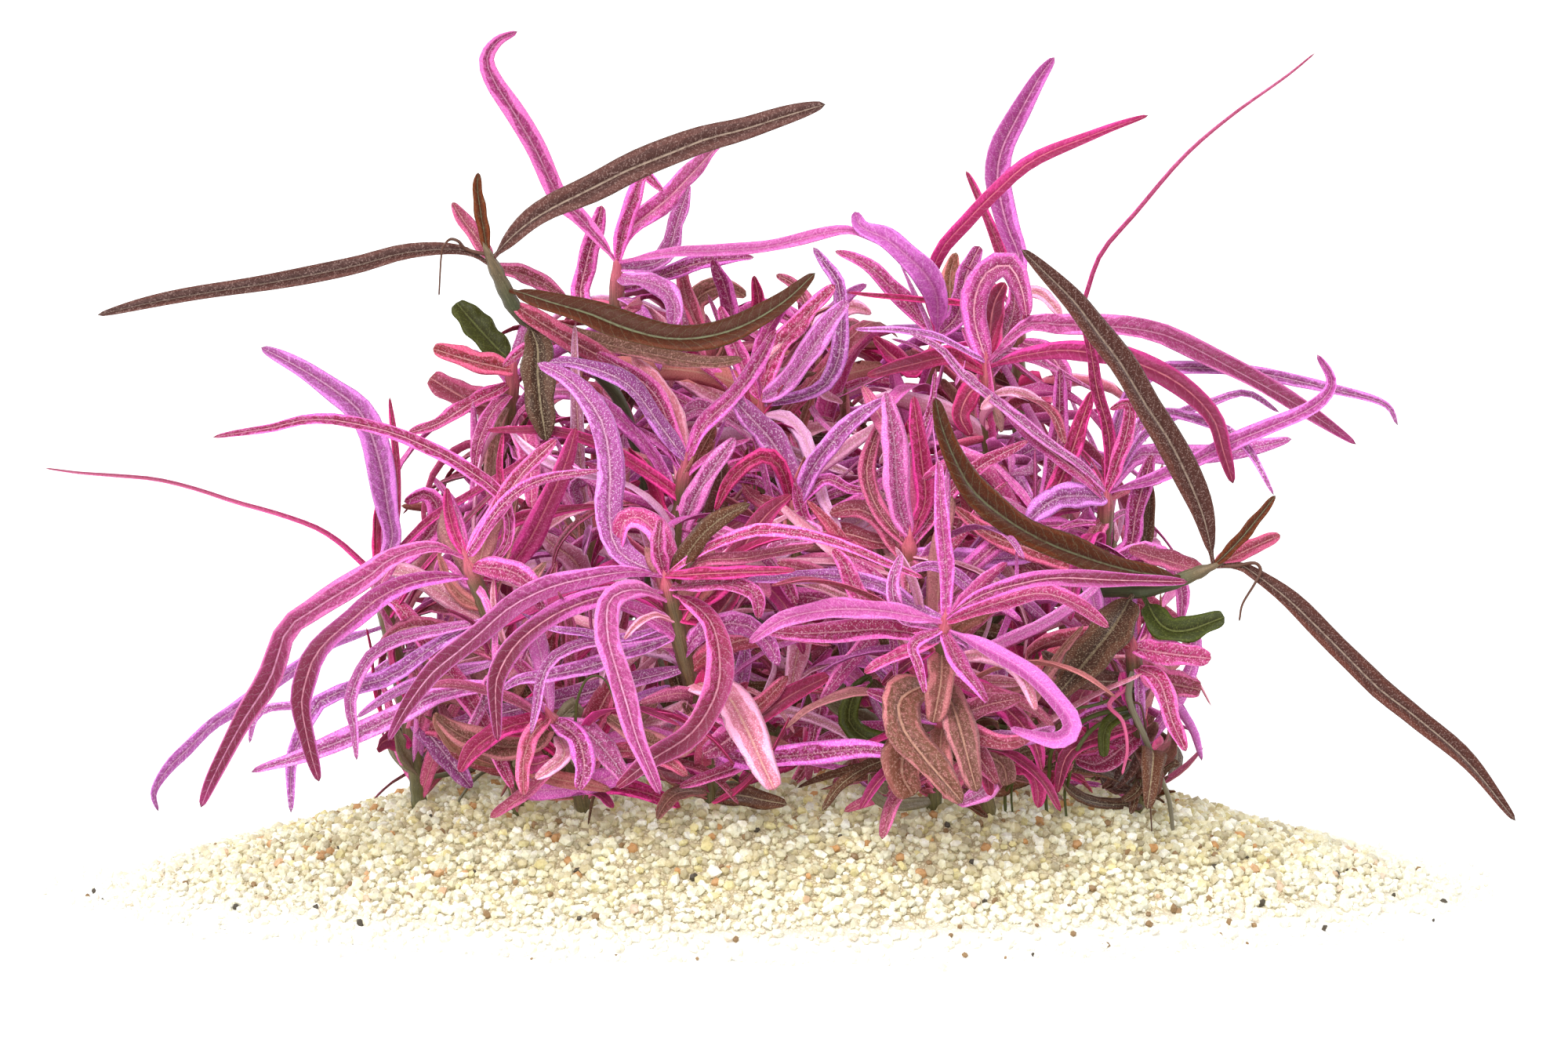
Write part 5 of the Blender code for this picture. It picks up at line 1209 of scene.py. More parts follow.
class Clump:
    """Every stem and leaf placed so far, which a new leaf has to keep clear of."""

    front_face = Vector((0.0, -0.8, 0.6))

    def __init__(self) -> None:
        """Starts with no stem."""
        self.stems: dict[str, Line] = {}
        self.solids: list[tuple[str, str, Space, Space]] = []
        self.leaves: list[PlacedLeaf] = []
        self.front = DrawnFront()

    def add_stem(self, shoot: Shoot) -> None:
        """Takes a stem in.

        Args:
            shoot: the stem's shoot.
        """
        line = BUILD.stem_line(shoot)
        self.stems[shoot.name] = spaced(line, BUILD.stem_places)
        solid = Space(BUILD.stem_rings(line))
        self.solids.append((shoot.name, "stem", solid, solid))

    def is_clear(self, leaf: Leaf, line: Line, face: Vector, gap: float) -> bool:
        """Whether a leaf has room along a line.

        Args:
            leaf: the leaf.
            line: the few points of its solid.
            face: the way that its upper face turns.
            gap: how far it has to keep from other pieces.

        Returns:
            True where it keeps clear of the heap and of every solid but its own stem.
        """
        if any(p.z < HEAP.height_at(p.x, p.y) + BUILD.clear_of_heap for p in line[1:]):
            return False
        rings = BUILD.leaf_rings(line, leaf, face, gap)
        whole = Space(rings)
        outer = Space(rings[1:])
        for shoot, node, other_whole, other_outer in self.solids:
            fused = shoot == leaf.shoot and not leaf.node
            if fused and node == "stem":
                continue
            if fused and not node:
                if outer.touches(other_outer):
                    return False
            elif whole.touches(other_whole):
                return False
        return True

    def drawn(self, leaf: Leaf, shift: float, slide: float) -> PlacedLeaf:
        """A drawn leaf in space.

        Args:
            leaf: the leaf.
            shift: how much farther back it bends than it is drawn, in millimetres.
            slide: how far up its stem its base is slid, in millimetres.

        Returns:
            The leaf in that place.
        """
        stem = self.stems[leaf.shoot]
        column, row = leaf.line[0]
        gaps = [(p - VIEW.point(column, row, p.y)).length for p in stem]
        start = min(range(len(stem)), key=gaps.__getitem__)
        spacing = sum((b - a).length for a, b in zip(stem, stem[1:])) / (len(stem) - 1)
        start = min(max(start + round(slide * MM / spacing), 0), len(stem) - 1)
        base = stem[start]
        steps = [math.dist(a, b) for a, b in zip(leaf.line, leaf.line[1:])]
        points = [base]
        reach = 0.0
        for step, (column, row) in zip(steps, leaf.line[1:]):
            reach += step
            s = reach / sum(steps)
            middle = (leaf.middle + shift) * 4.0 * s * (1.0 - s)
            tip = (leaf.tip + shift) * s * (2.0 * s - 1.0)
            points.append(VIEW.point(column, row, base.y + (middle + tip) * MM))
        curve = curve_through(points)
        first = 0
        if leaf.node:
            away = BUILD.stem_radius + BUILD.gap + BUILD.petiole
            first = next(i for i, p in enumerate(curve) if min((p - q).length for q in stem) > away)
        return PlacedLeaf(leaf, curve[:first], curve[first:], self.front_face.normalized())

    def place(self, placed: PlacedLeaf, gap: float = BUILD.gap) -> bool:
        """Takes a leaf in if it is clear.

        Args:
            placed: the leaf in its place.
            gap: how far it has to keep from other pieces.

        Returns:
            Whether it was taken in.
        """
        leaf = placed.leaf
        line = spaced(placed.curve, BUILD.stations(leaf))
        if not self.is_clear(leaf, line, placed.face, gap):
            return False
        rings = BUILD.leaf_rings(line, leaf, placed.face)
        self.solids.append((leaf.shoot, leaf.node, Space(rings), Space(rings[1:])))
        self.leaves.append(placed)
        return True

    def place_drawn(self, leaf: Leaf, gap: float = BUILD.gap) -> None:
        """Places a drawn leaf at the first depth and height on its stem that leave it clear.

        Args:
            leaf: the leaf.
            gap: how far it has to keep from other pieces.
        """
        for slide in BUILD.slide_tries:
            for shift in BUILD.depth_tries:
                placed = self.drawn(leaf, shift, slide)
                if self.place(placed, gap):
                    self.front.take(placed.curve, 0.5 * leaf.width * MM)
                    return
        LOG.warning("no room for the %s leaf of %s at %s", leaf.tone.value, leaf.shoot, leaf.line[-1])

    def grow(self, shoot: Shoot, growth: Growth, seed: int, gap: float = BUILD.gap,
             main: bool = True) -> None:
        """Grows leaves in crossed pairs up a stem, where there is room for them.

        Args:
            shoot: the stem's shoot.
            growth: how they grow.
            seed: what their sizes are drawn from.
            gap: how far they keep from other leaves.
            main: whether they are of the main form.
        """
        chance = random.Random(seed)
        stem = self.stems[shoot.name]
        first_way = chance.uniform(0.0, math.pi)
        for pair in range(growth.pairs):
            height = growth.lowest + growth.span * (pair + 0.5) / growth.pairs
            start = stem[round(height * (len(stem) - 1))]
            if growth.above:
                height = chance.uniform(*growth.above)
                start = next((p for p in stem if p.z > HEAP.height_at(p.x, p.y) + height), stem[-1])
            for half in range(2):
                way = first_way + 0.5 * math.pi * pair + math.pi * half
                for _ in range(growth.tries):
                    placed = growth.leaf(shoot.name, start, way, chance, main)
                    if not main and self.front.hidden_by(placed):
                        continue
                    if all(growth.inside(p) for p in placed.curve) and self.place(placed, gap):
                        break


Source = bpy.types.NodeSocket | float | tuple[float, ...]


def linear(colour: Colour) -> np.ndarray:
    """A colour of 0 to 255 as light: red, green and blue from nought to one."""
    share = np.asarray(colour, dtype=float) / 255.0
    return np.where(share <= 0.04045, share / 12.92, ((share + 0.055) / 1.055) ** 2.4)


@dataclass(frozen=True)
class Tints:
    """The colours of a leaf: its margins, the band beside its midrib, its pale marks and its midrib.

    Shares say how strong its specks are, and how far its outer part turns crimson brown.
    """

    margin: Colour
    band: Colour
    light: Colour
    rib: Colour
    specks: float = 0.3
    crimson_tip: float = 0.3


LEAF_TINTS = {
    Tone.PINK: Tints((248, 110, 206), (132, 30, 72), (252, 210, 232), (226, 158, 176), 0.36, 0.25),
    Tone.ORCHID: Tints((240, 122, 212), (150, 50, 114), (252, 208, 238), (228, 160, 196), 0.4, 0.2),
    Tone.PURPLE: Tints((232, 126, 212), (140, 58, 112), (244, 216, 240), (222, 172, 202), 0.46, 0.1),
    Tone.CRIMSON: Tints((234, 60, 150), (124, 20, 56), (240, 140, 186), (206, 122, 130), 0.2, 0.5),
    Tone.ROSE: Tints((220, 96, 144), (122, 46, 54), (238, 180, 194), (210, 148, 146), 0.36, 0.3),
    Tone.PALE: Tints((244, 172, 212), (176, 100, 122), (248, 216, 228), (206, 158, 146), 0.45, 0.1),
    Tone.DARK: Tints((94, 52, 44), (66, 34, 28), (164, 136, 128), (158, 138, 122), 0.36, 0.0),
    Tone.BRONZE: Tints((96, 38, 9), (70, 26, 4), (124, 132, 102), (128, 138, 104), 0.1, 0.0),
    Tone.OLIVE: Tints((90, 54, 38), (62, 36, 22), (158, 138, 116), (158, 142, 112), 0.5, 0.0),
    Tone.GREEN: Tints((70, 74, 20), (52, 54, 12), (110, 116, 58), (112, 118, 60), 0.25, 0.0),
    Tone.BROWN: Tints((192, 114, 122), (100, 64, 48), (214, 166, 152), (186, 142, 122), 0.3, 0.1),
    Tone.FADED: Tints((122, 114, 92), (96, 88, 66), (156, 148, 124), (158, 150, 124), 0.4, 0.0),
}


@dataclass(frozen=True)
class StemTints:
    """The colours up a stem: its foot, its middle and its crown."""

    foot: Colour
    middle: Colour
    crown: Colour


PINK_STEM = StemTints((96, 96, 56), (104, 84, 54), (196, 92, 112))
SPRIG_STEM = StemTints((84, 92, 52), (74, 80, 50), (112, 92, 66))


class Wiring:
    """A material's nodes while they are wired."""

    def __init__(self, name: str) -> None:
        """Starts a material.

        Args:
            name: the material's name.
        """
        self.material = bpy.data.materials.new(name)
        self.material.use_nodes = True
        self.tree = self.material.node_tree
        self.shader = self.tree.nodes["Principled BSDF"]

    def node(self, kind: str, **settings: object) -> bpy.types.Node:
        """A new node.

        Args:
            kind: the type of node.
            settings: its settings, by name.

        Returns:
            The node.
        """
        made = self.tree.nodes.new(kind)
        for name, value in settings.items():
            setattr(made, name, value)
        return made

    def feed(self, socket: bpy.types.NodeSocket, source: Source) -> None:
        """Wires a source to a socket, or sets the socket's own value.

        Args:
            socket: the socket.
            source: an output, or a number or colour.
        """
        if isinstance(source, bpy.types.NodeSocket):
            self.tree.links.new(source, socket)
        elif isinstance(source, tuple) and socket.type == "RGBA":
            socket.default_value = (*source, 1.0)
        else:
            socket.default_value = source

    def painted(self, name: str) -> bpy.types.NodeSocket:
        """The values that the mesh's corners hold under that name."""
        return self.node("ShaderNodeAttribute", attribute_name=name).outputs["Vector"]

    def parts(self, vector: Source) -> tuple[bpy.types.NodeSocket, ...]:
        """The three numbers of a vector.

        Args:
            vector: the vector.

        Returns:
            An output for each.
        """
        node = self.node("ShaderNodeSeparateXYZ")
        self.feed(node.inputs[0], vector)
        return tuple(node.outputs)

    def math(self, operation: str, *values: Source) -> bpy.types.NodeSocket:
        """The result of a sum.

        Args:
            operation: what is done.
            values: the numbers that it is done to.

        Returns:
            The result.
        """
        node = self.node("ShaderNodeMath", operation=operation)
        for socket, value in zip(node.inputs, values):
            self.feed(socket, value)
        return node.outputs[0]

    def step(self, value: Source, low: float, high: float, least: float = 0.0,
             most: float = 1.0) -> bpy.types.NodeSocket:
        """A smooth step between two numbers.

        Args:
            value: what is measured.
            low: where the step starts.
            high: where it ends, which may be the lower of the two.
            least: the result where the step starts.
            most: the result where it ends.

        Returns:
            The stepped value.
        """
        node = self.node("ShaderNodeMapRange", interpolation_type="SMOOTHSTEP")
        falling = high < low
        limits = (high, low, most, least) if falling else (low, high, least, most)
        self.feed(node.inputs["Value"], value)
        for name, number in zip(("From Min", "From Max", "To Min", "To Max"), limits):
            self.feed(node.inputs[name], number)
        return node.outputs["Result"]

    def blend(self, share: Source, first: Source, second: Source, kind: str = "MIX") -> bpy.types.NodeSocket:
        """One colour over another.

        Args:
            share: how much of the second there is.
            first: the colour below.
            second: the colour above.
            kind: how they mix.

        Returns:
            The mixed colour.
        """
        node = self.node("ShaderNodeMix", data_type="RGBA", blend_type=kind)
        self.feed(node.inputs["Factor"], share)
        self.feed(node.inputs[6], first)
        self.feed(node.inputs[7], second)
        return node.outputs[2]

    def stretched(self, place: Source, share: tuple[float, float, float]) -> bpy.types.NodeSocket:
        """A place scaled along each axis.

        Args:
            place: the place.
            share: the scale along each axis.

        Returns:
            The scaled place.
        """
        node = self.node("ShaderNodeVectorMath", operation="MULTIPLY")
        self.feed(node.inputs[0], place)
        self.feed(node.inputs[1], share)
        return node.outputs[0]

    def noise(self, place: Source, scale: float, detail: float = 2.0) -> bpy.types.NodeSocket:
        """Cloudy noise.

        Args:
            place: where it is read.
            scale: how many clouds there are to a unit.
            detail: how finely they are broken up.

        Returns:
            A number from nought to one.
        """
        node = self.node("ShaderNodeTexNoise")
        self.feed(node.inputs["Vector"], place)
        self.feed(node.inputs["Scale"], scale)
        self.feed(node.inputs["Detail"], detail)
        return node.outputs["Fac"]

    def cells(self, place: Source, scale: float) -> bpy.types.NodeSocket:
        """Small cells.

        Args:
            place: where they are read.
            scale: how many there are to a unit.

        Returns:
            The distance to the nearest edge between two.
        """
        node = self.node("ShaderNodeTexVoronoi", feature="DISTANCE_TO_EDGE")
        self.feed(node.inputs["Vector"], place)
        self.feed(node.inputs["Scale"], scale)
        return node.outputs["Distance"]

    def relief(self, height: Source, strength: float, depth: float) -> None:
        """Gives the surface a relief.

        Args:
            height: the height, from nought to one.
            strength: how much of it shows.
            depth: how deep it is, in metres.
        """
        node = self.node("ShaderNodeBump")
        self.feed(node.inputs["Height"], height)
        self.feed(node.inputs["Strength"], strength)
        self.feed(node.inputs["Distance"], depth)
        self.feed(self.shader.inputs["Normal"], node.outputs["Normal"])

    def finish(self, colour: Source, roughness: Source, shine: float = 0.5) -> bpy.types.Material:
        """Ends the wiring in the shader.

        Args:
            colour: the surface's colour.
            roughness: its roughness.
            shine: how strongly it reflects.

        Returns:
            The material.
        """
        self.feed(self.shader.inputs["Base Color"], colour)
        self.feed(self.shader.inputs["Roughness"], roughness)
        self.shader.inputs["Specular IOR Level"].default_value = shine
        return self.material


@dataclass(frozen=True)
class BladeFinish:
    """The skin of a leaf: bright margins, a grainy darker band, a pale midrib, veins and pale specks.

    One half of a blade, chosen at random, is darkened with painted shade.

    Places across a blade run from nought at its midrib to one at its margins, and places along it from nought
    at its base to one at its tip. Each strength is the share of a colour that lies over the ones before it.
    """

    crimson_brown: tuple[float, float, float] = (0.115, 0.01, 0.03)
    beside_rib: tuple[float, float, float] = (0.5, 0.36, 0.3)
    band_edge: float = 0.66
    band_softness: float = 0.09
    band_drift: float = 1.1
    band_marbling: float = 0.68
    beside_rib_strength: float = 0.7
    half_shade_strength: float = 0.75
    browned_along: tuple[float, float] = (0.15, 0.7)
    browned_margin: float = 0.45
    dark_tip: float = 0.6
    rim_tint: float = 0.6
    rim_light: float = 0.25
    vein_spacing: float = 2.3
    vein_slant: float = 1.1
    vein_wander: float = 1.2
    vein_strength: float = 0.1
    browned_vein_strength: float = 0.05
    browned_specks: float = 0.4
    dark_grain: float = 0.5
    rib_edge: tuple[float, float] = (0.1, 0.03)
    underside_shade: float = 0.25
    relief_strength: float = 0.6
    relief_depth: float = 0.14 * MM
    roughness: tuple[float, float] = (0.42, 0.62)
    shine: float = 0.17

    def material(self) -> bpy.types.Material:
        """The leaf skin, painted by what each blade's corners hold.

        Returns:
            The material.
        """
        w = Wiring("leaf_skin")
        place = w.painted("place")
        tint, shade, light, rib_tint = (w.painted(name) for name in ("tint", "shade", "light", "rib"))
        across, along, side = w.parts(w.painted("blade"))
        specks, crimson, shaded_half = w.parts(w.painted("traits"))
        banded, edge, ribbed = w.parts(w.painted("marks"))
        out = w.math("ABSOLUTE", across)
        mottle = w.noise(w.stretched(place, (1.0, 0.5, 1.0)), 1.9, 4.0)
        grain = w.noise(place, 3.6, 2.0)

        in_band = w.math("MULTIPLY", self.band(w, place, out, edge), banded)
        marbled = w.step(mottle, 0.36, 0.58, self.band_marbling, 1.0)
        colour = w.blend(w.math("MULTIPLY", in_band, marbled), tint, shade)
        beside_rib = w.math("MULTIPLY", w.step(out, 0.36, 0.1, 0.0, self.beside_rib_strength), in_band)
        colour = w.blend(beside_rib, colour, self.beside_rib, "MULTIPLY")
        # Painted shade: one half of the blade, chosen at random, is darkened towards the band colour as if
        # turned from the light.
        half_shade = w.step(w.math("MULTIPLY", across, shaded_half), 0.0, 0.2, 0.0, self.half_shade_strength)
        colour = w.blend(half_shade, colour, shade)
        browned = w.math("MULTIPLY", w.step(along, *self.browned_along), crimson)
        browned = w.math("MULTIPLY", browned, w.step(out, 1.0, 0.7, self.browned_margin, 1.0))
        colour = w.blend(browned, colour, self.crimson_brown)
        colour = w.blend(w.step(along, 0.9, 0.99, 0.0, self.dark_tip), colour, shade)
        colour = w.blend(w.step(out, 0.84, 1.0, 0.0, self.rim_tint), colour, tint)
        colour = w.blend(w.step(out, 0.9, 1.0, 0.0, self.rim_light), colour, light)

        veins = self.veins(w, place)
        vein_strength = w.step(browned, 0.0, 0.7, self.vein_strength, self.browned_vein_strength)
        colour = w.blend(w.math("MULTIPLY", veins, vein_strength), colour, light)
        specked = w.math("MULTIPLY", specks, w.step(browned, 0.0, 1.0, 1.0, self.browned_specks))
        colour = w.blend(w.math("MULTIPLY", w.step(grain, 0.54, 0.68), specked), colour, light)
        colour = w.blend(w.step(grain, 0.46, 0.32, 0.0, self.dark_grain), colour, shade)
        rib = w.math("MULTIPLY", w.step(out, *self.rib_edge), w.step(mottle, 0.3, 0.6, 0.4, 1.0))
        colour = w.blend(w.math("MULTIPLY", rib, ribbed), colour, rib_tint)
        colour = w.blend(w.step(side, 0.0, -1.0, 0.0, self.underside_shade), colour, shade)

        height = w.math("ADD", w.math("MULTIPLY", mottle, 0.6), w.math("MULTIPLY", veins, -0.25))
        height = w.math("ADD", height, w.math("MULTIPLY", grain, 0.5))
        w.relief(height, self.relief_strength, self.relief_depth)
        return w.finish(colour, w.step(mottle, 0.25, 0.75, *self.roughness), self.shine)

    def band(self, w: Wiring, place: Source, out: Source, edge: Source) -> bpy.types.NodeSocket:
        """Where the darker band lies on each side of the midrib, with a wandering edge.

        Args:
            w: the material's nodes.
            place: the place on the blade, in millimetres.
            out: the place across it.
            edge: how much narrower than others this blade's band is.

        Returns:
            One in the band and nought beyond it.
        """
        patches = w.noise(w.stretched(place, (1.0, 0.25, 1.0)), 0.6, 2.0)
        drift = w.math("MULTIPLY", w.math("SUBTRACT", patches, 0.5), self.band_drift)
        away = w.math("ADD", w.math("ADD", out, drift), edge)
        return w.step(away, self.band_edge + self.band_softness, self.band_edge - self.band_softness)

    def veins(self, w: Wiring, place: Source) -> bpy.types.NodeSocket:
        """Side veins that leave the midrib forwards.

        Args:
            w: the material's nodes.
            place: the place on the blade, in millimetres.

        Returns:
            One on a vein and nought between two.
        """
        x, y, _ = w.parts(place)
        forwards = w.math("SUBTRACT", y, w.math("MULTIPLY", w.math("ABSOLUTE", x), self.vein_slant))
        wander = w.math("MULTIPLY", w.noise(place, 0.8, 1.0), self.vein_wander)
        turns = w.math("MULTIPLY", w.math("ADD", forwards, wander), math.tau / self.vein_spacing)
        return w.step(w.math("SINE", turns), 0.88, 1.0)


@dataclass(frozen=True)
class StemFinish:
    """The skin of the stems and rootlets: streaked along, a little glossy."""

    light_patches: float = 0.5
    relief_strength: float = 0.5
    relief_depth: float = 0.15 * MM
    roughness: tuple[float, float] = (0.38, 0.6)
    shine: float = 0.4

    def material(self) -> bpy.types.Material:
        """The stem skin, painted by what each stem's corners hold.

        Returns:
            The material.
        """
        w = Wiring("stem_skin")
        place = w.painted("place")
        streaks = w.noise(w.stretched(place, (1.6, 0.12, 1.0)), 1.6, 3.0)
        grain = w.noise(place, 2.5, 3.0)
        colour = w.blend(w.step(streaks, 0.35, 0.65), w.painted("shade"), w.painted("tint"))
        colour = w.blend(w.step(grain, 0.55, 0.75, 0.0, self.light_patches), colour, w.painted("light"))
        w.relief(w.math("ADD", streaks, grain), self.relief_strength, self.relief_depth)
        return w.finish(colour, w.step(grain, 0.3, 0.7, *self.roughness), self.shine)


@dataclass(frozen=True)
class GrainFinish:
    """The stone of the gravel's grains: cloudy quartz with a few darker flaws."""

    flaw_strength: float = 0.5
    relief_strength: float = 0.6
    relief_depth: float = 0.15 * MM
    roughness: tuple[float, float] = (0.45, 0.8)
    shine: float = 0.45

    def material(self) -> bpy.types.Material:
        """The grains' stone, painted by what each grain's corners hold.

        Returns:
            The material.
        """
        w = Wiring("grain_stone")
        place = w.painted("place")
        clouds = w.noise(place, 0.9, 4.0)
        flaws = w.noise(place, 2.6, 2.0)
        colour = w.blend(w.step(clouds, 0.35, 0.65), w.painted("shade"), w.painted("tint"))
        colour = w.blend(w.step(flaws, 0.58, 0.72, 0.0, self.flaw_strength), colour, w.painted("light"))
        w.relief(w.math("ADD", clouds, flaws), self.relief_strength, self.relief_depth)
        return w.finish(colour, w.step(flaws, 0.3, 0.7, *self.roughness), self.shine)


@dataclass(frozen=True)
class SandFinish:
    """The finer sand that shows between the grains, with painted shade at its cells' edges."""

    dark: tuple[float, float, float] = (0.34, 0.27, 0.16)
    pale: tuple[float, float, float] = (0.62, 0.55, 0.38)
    rim: tuple[float, float, float] = (0.92, 0.91, 0.87)
    cloud_strength: float = 0.4
    rim_strength: float = 0.8
    relief_strength: float = 0.8
    relief_depth: float = 0.4 * MM
    roughness: tuple[float, float] = (0.75, 0.9)
    shine: float = 0.3

    def material(self) -> bpy.types.Material:
        """The sand between the grains.

        Returns:
            The material.
        """
        w = Wiring("fine_sand")
        place = w.painted("place")
        grains = w.cells(place, 1.3)
        clouds = w.noise(place, 0.25, 3.0)
        # Painted shade: the sand darkens towards the edges of its cells, standing for the shaded gaps between
        # grains.
        colour = w.blend(w.step(grains, 0.02, 0.3), self.dark, self.pale)
        colour = w.blend(w.step(clouds, 0.4, 0.7, 0.0, self.cloud_strength), colour, self.pale)
        out, _, _ = w.parts(w.painted("blade"))
        colour = w.blend(w.step(out, 0.86, 1.0, 0.0, self.rim_strength), colour, self.rim)
        w.relief(grains, self.relief_strength, self.relief_depth)
        return w.finish(colour, w.step(clouds, 0.3, 0.7, *self.roughness), self.shine)


class MeshDraft:
    """A mesh while it is drawn: its corners, its faces and the values painted on its corners."""

    def __init__(self) -> None:
        """Starts with nothing drawn."""
        self.corners: list[np.ndarray] = []
        self.faces: list[tuple[int, ...]] = []
        self.skins: list[int] = []
        self.painted: dict[str, list[np.ndarray]] = {}
        self.count = 0

    def add(self, corners: np.ndarray, faces: Iterable[tuple[int, ...]], skin_index: int,
            painted: dict[str, np.ndarray]) -> None:
        """Adds a closed skin.

        Args:
            corners: its corners, one row each.
            faces: its faces, by corner.
            skin_index: which of the piece's materials it takes.
            painted: a row of three numbers for each corner, by name.
        """
        before = self.count
        self.corners.append(corners)
        added = [tuple(before + corner for corner in face) for face in faces]
        self.faces.extend(added)
        self.skins.extend([skin_index] * len(added))
        for name, values in painted.items():
            rows = np.broadcast_to(values, (len(corners), 3))
            self.painted.setdefault(name, []).append(rows)
        self.count += len(corners)

    def object(self, name: str, materials: Sequence[bpy.types.Material],
               smooth: bool = True) -> bpy.types.Object:
        """The drawn mesh as an object in the scene.

        Args:
            name: the object's name.
            materials: what its skins are made of.
            smooth: whether its faces are shaded round.

        Returns:
            The object.
        """
        mesh = bpy.data.meshes.new(name)
        mesh.from_pydata(np.concatenate(self.corners).tolist(), [], self.faces)
        for material in materials:
            mesh.materials.append(material)
        mesh.polygons.foreach_set("material_index", self.skins)
        for label, values in self.painted.items():
            attribute = mesh.attributes.new(label, "FLOAT_VECTOR", "POINT")
            attribute.data.foreach_set("vector", np.concatenate(values).astype(np.float32).ravel())
        if smooth:
            mesh.shade_smooth()
        mesh.update()
        made = bpy.data.objects.new(name, mesh)
        bpy.context.scene.collection.objects.link(made)
        return made


def drawn_to_points(rings: np.ndarray, foot: np.ndarray,
                    tip: np.ndarray) -> tuple[np.ndarray, list[tuple[int, ...]]]:
    """A closed skin over equal rings, drawn to a point at both ends.

    Args:
        rings: the corners of each ring, which run so that the skin faces out.
        foot: the point before the first ring.
        tip: the point after the last.

    Returns:
        The corners, foot first and tip last, and the faces.
    """
    count, around, _ = rings.shape
    corners = np.vstack([foot[None], rings.reshape(-1, 3), tip[None]])
    place = 1 + np.arange(count * around).reshape(count, around)
    after = np.roll(place, -1, axis=1)
    sides = np.stack([place[:-1], after[:-1], after[1:], place[1:]], axis=-1).reshape(-1, 4)
    last = len(corners) - 1
    faces = [tuple(face) for face in sides.tolist()]
    faces += [(0, b, a) for a, b in zip(place[0].tolist(), after[0].tolist())]
    faces += [(a, b, last) for a, b in zip(place[-1].tolist(), after[-1].tolist())]
    return corners, faces


def unit(rows: np.ndarray) -> np.ndarray:
    """Rows of numbers, each brought to a length of one."""
    return rows / np.maximum(np.linalg.norm(rows, axis=-1, keepdims=True), 1e-12)


@dataclass(frozen=True)
class Fineness:
    """How finely a blade is drawn: how many times along, and where across, from margin to margin."""

    stations: int
    across: tuple[float, ...]


LARGE = Fineness(34, (-1.0, -0.84, -0.55, -0.24, -0.08, 0.0, 0.08, 0.24, 0.55, 0.84, 1.0))
MEDIUM = Fineness(22, (-1.0, -0.72, -0.3, -0.08, 0.0, 0.08, 0.3, 0.72, 1.0))
SMALL = Fineness(15, (-1.0, -0.5, 0.0, 0.5, 1.0))


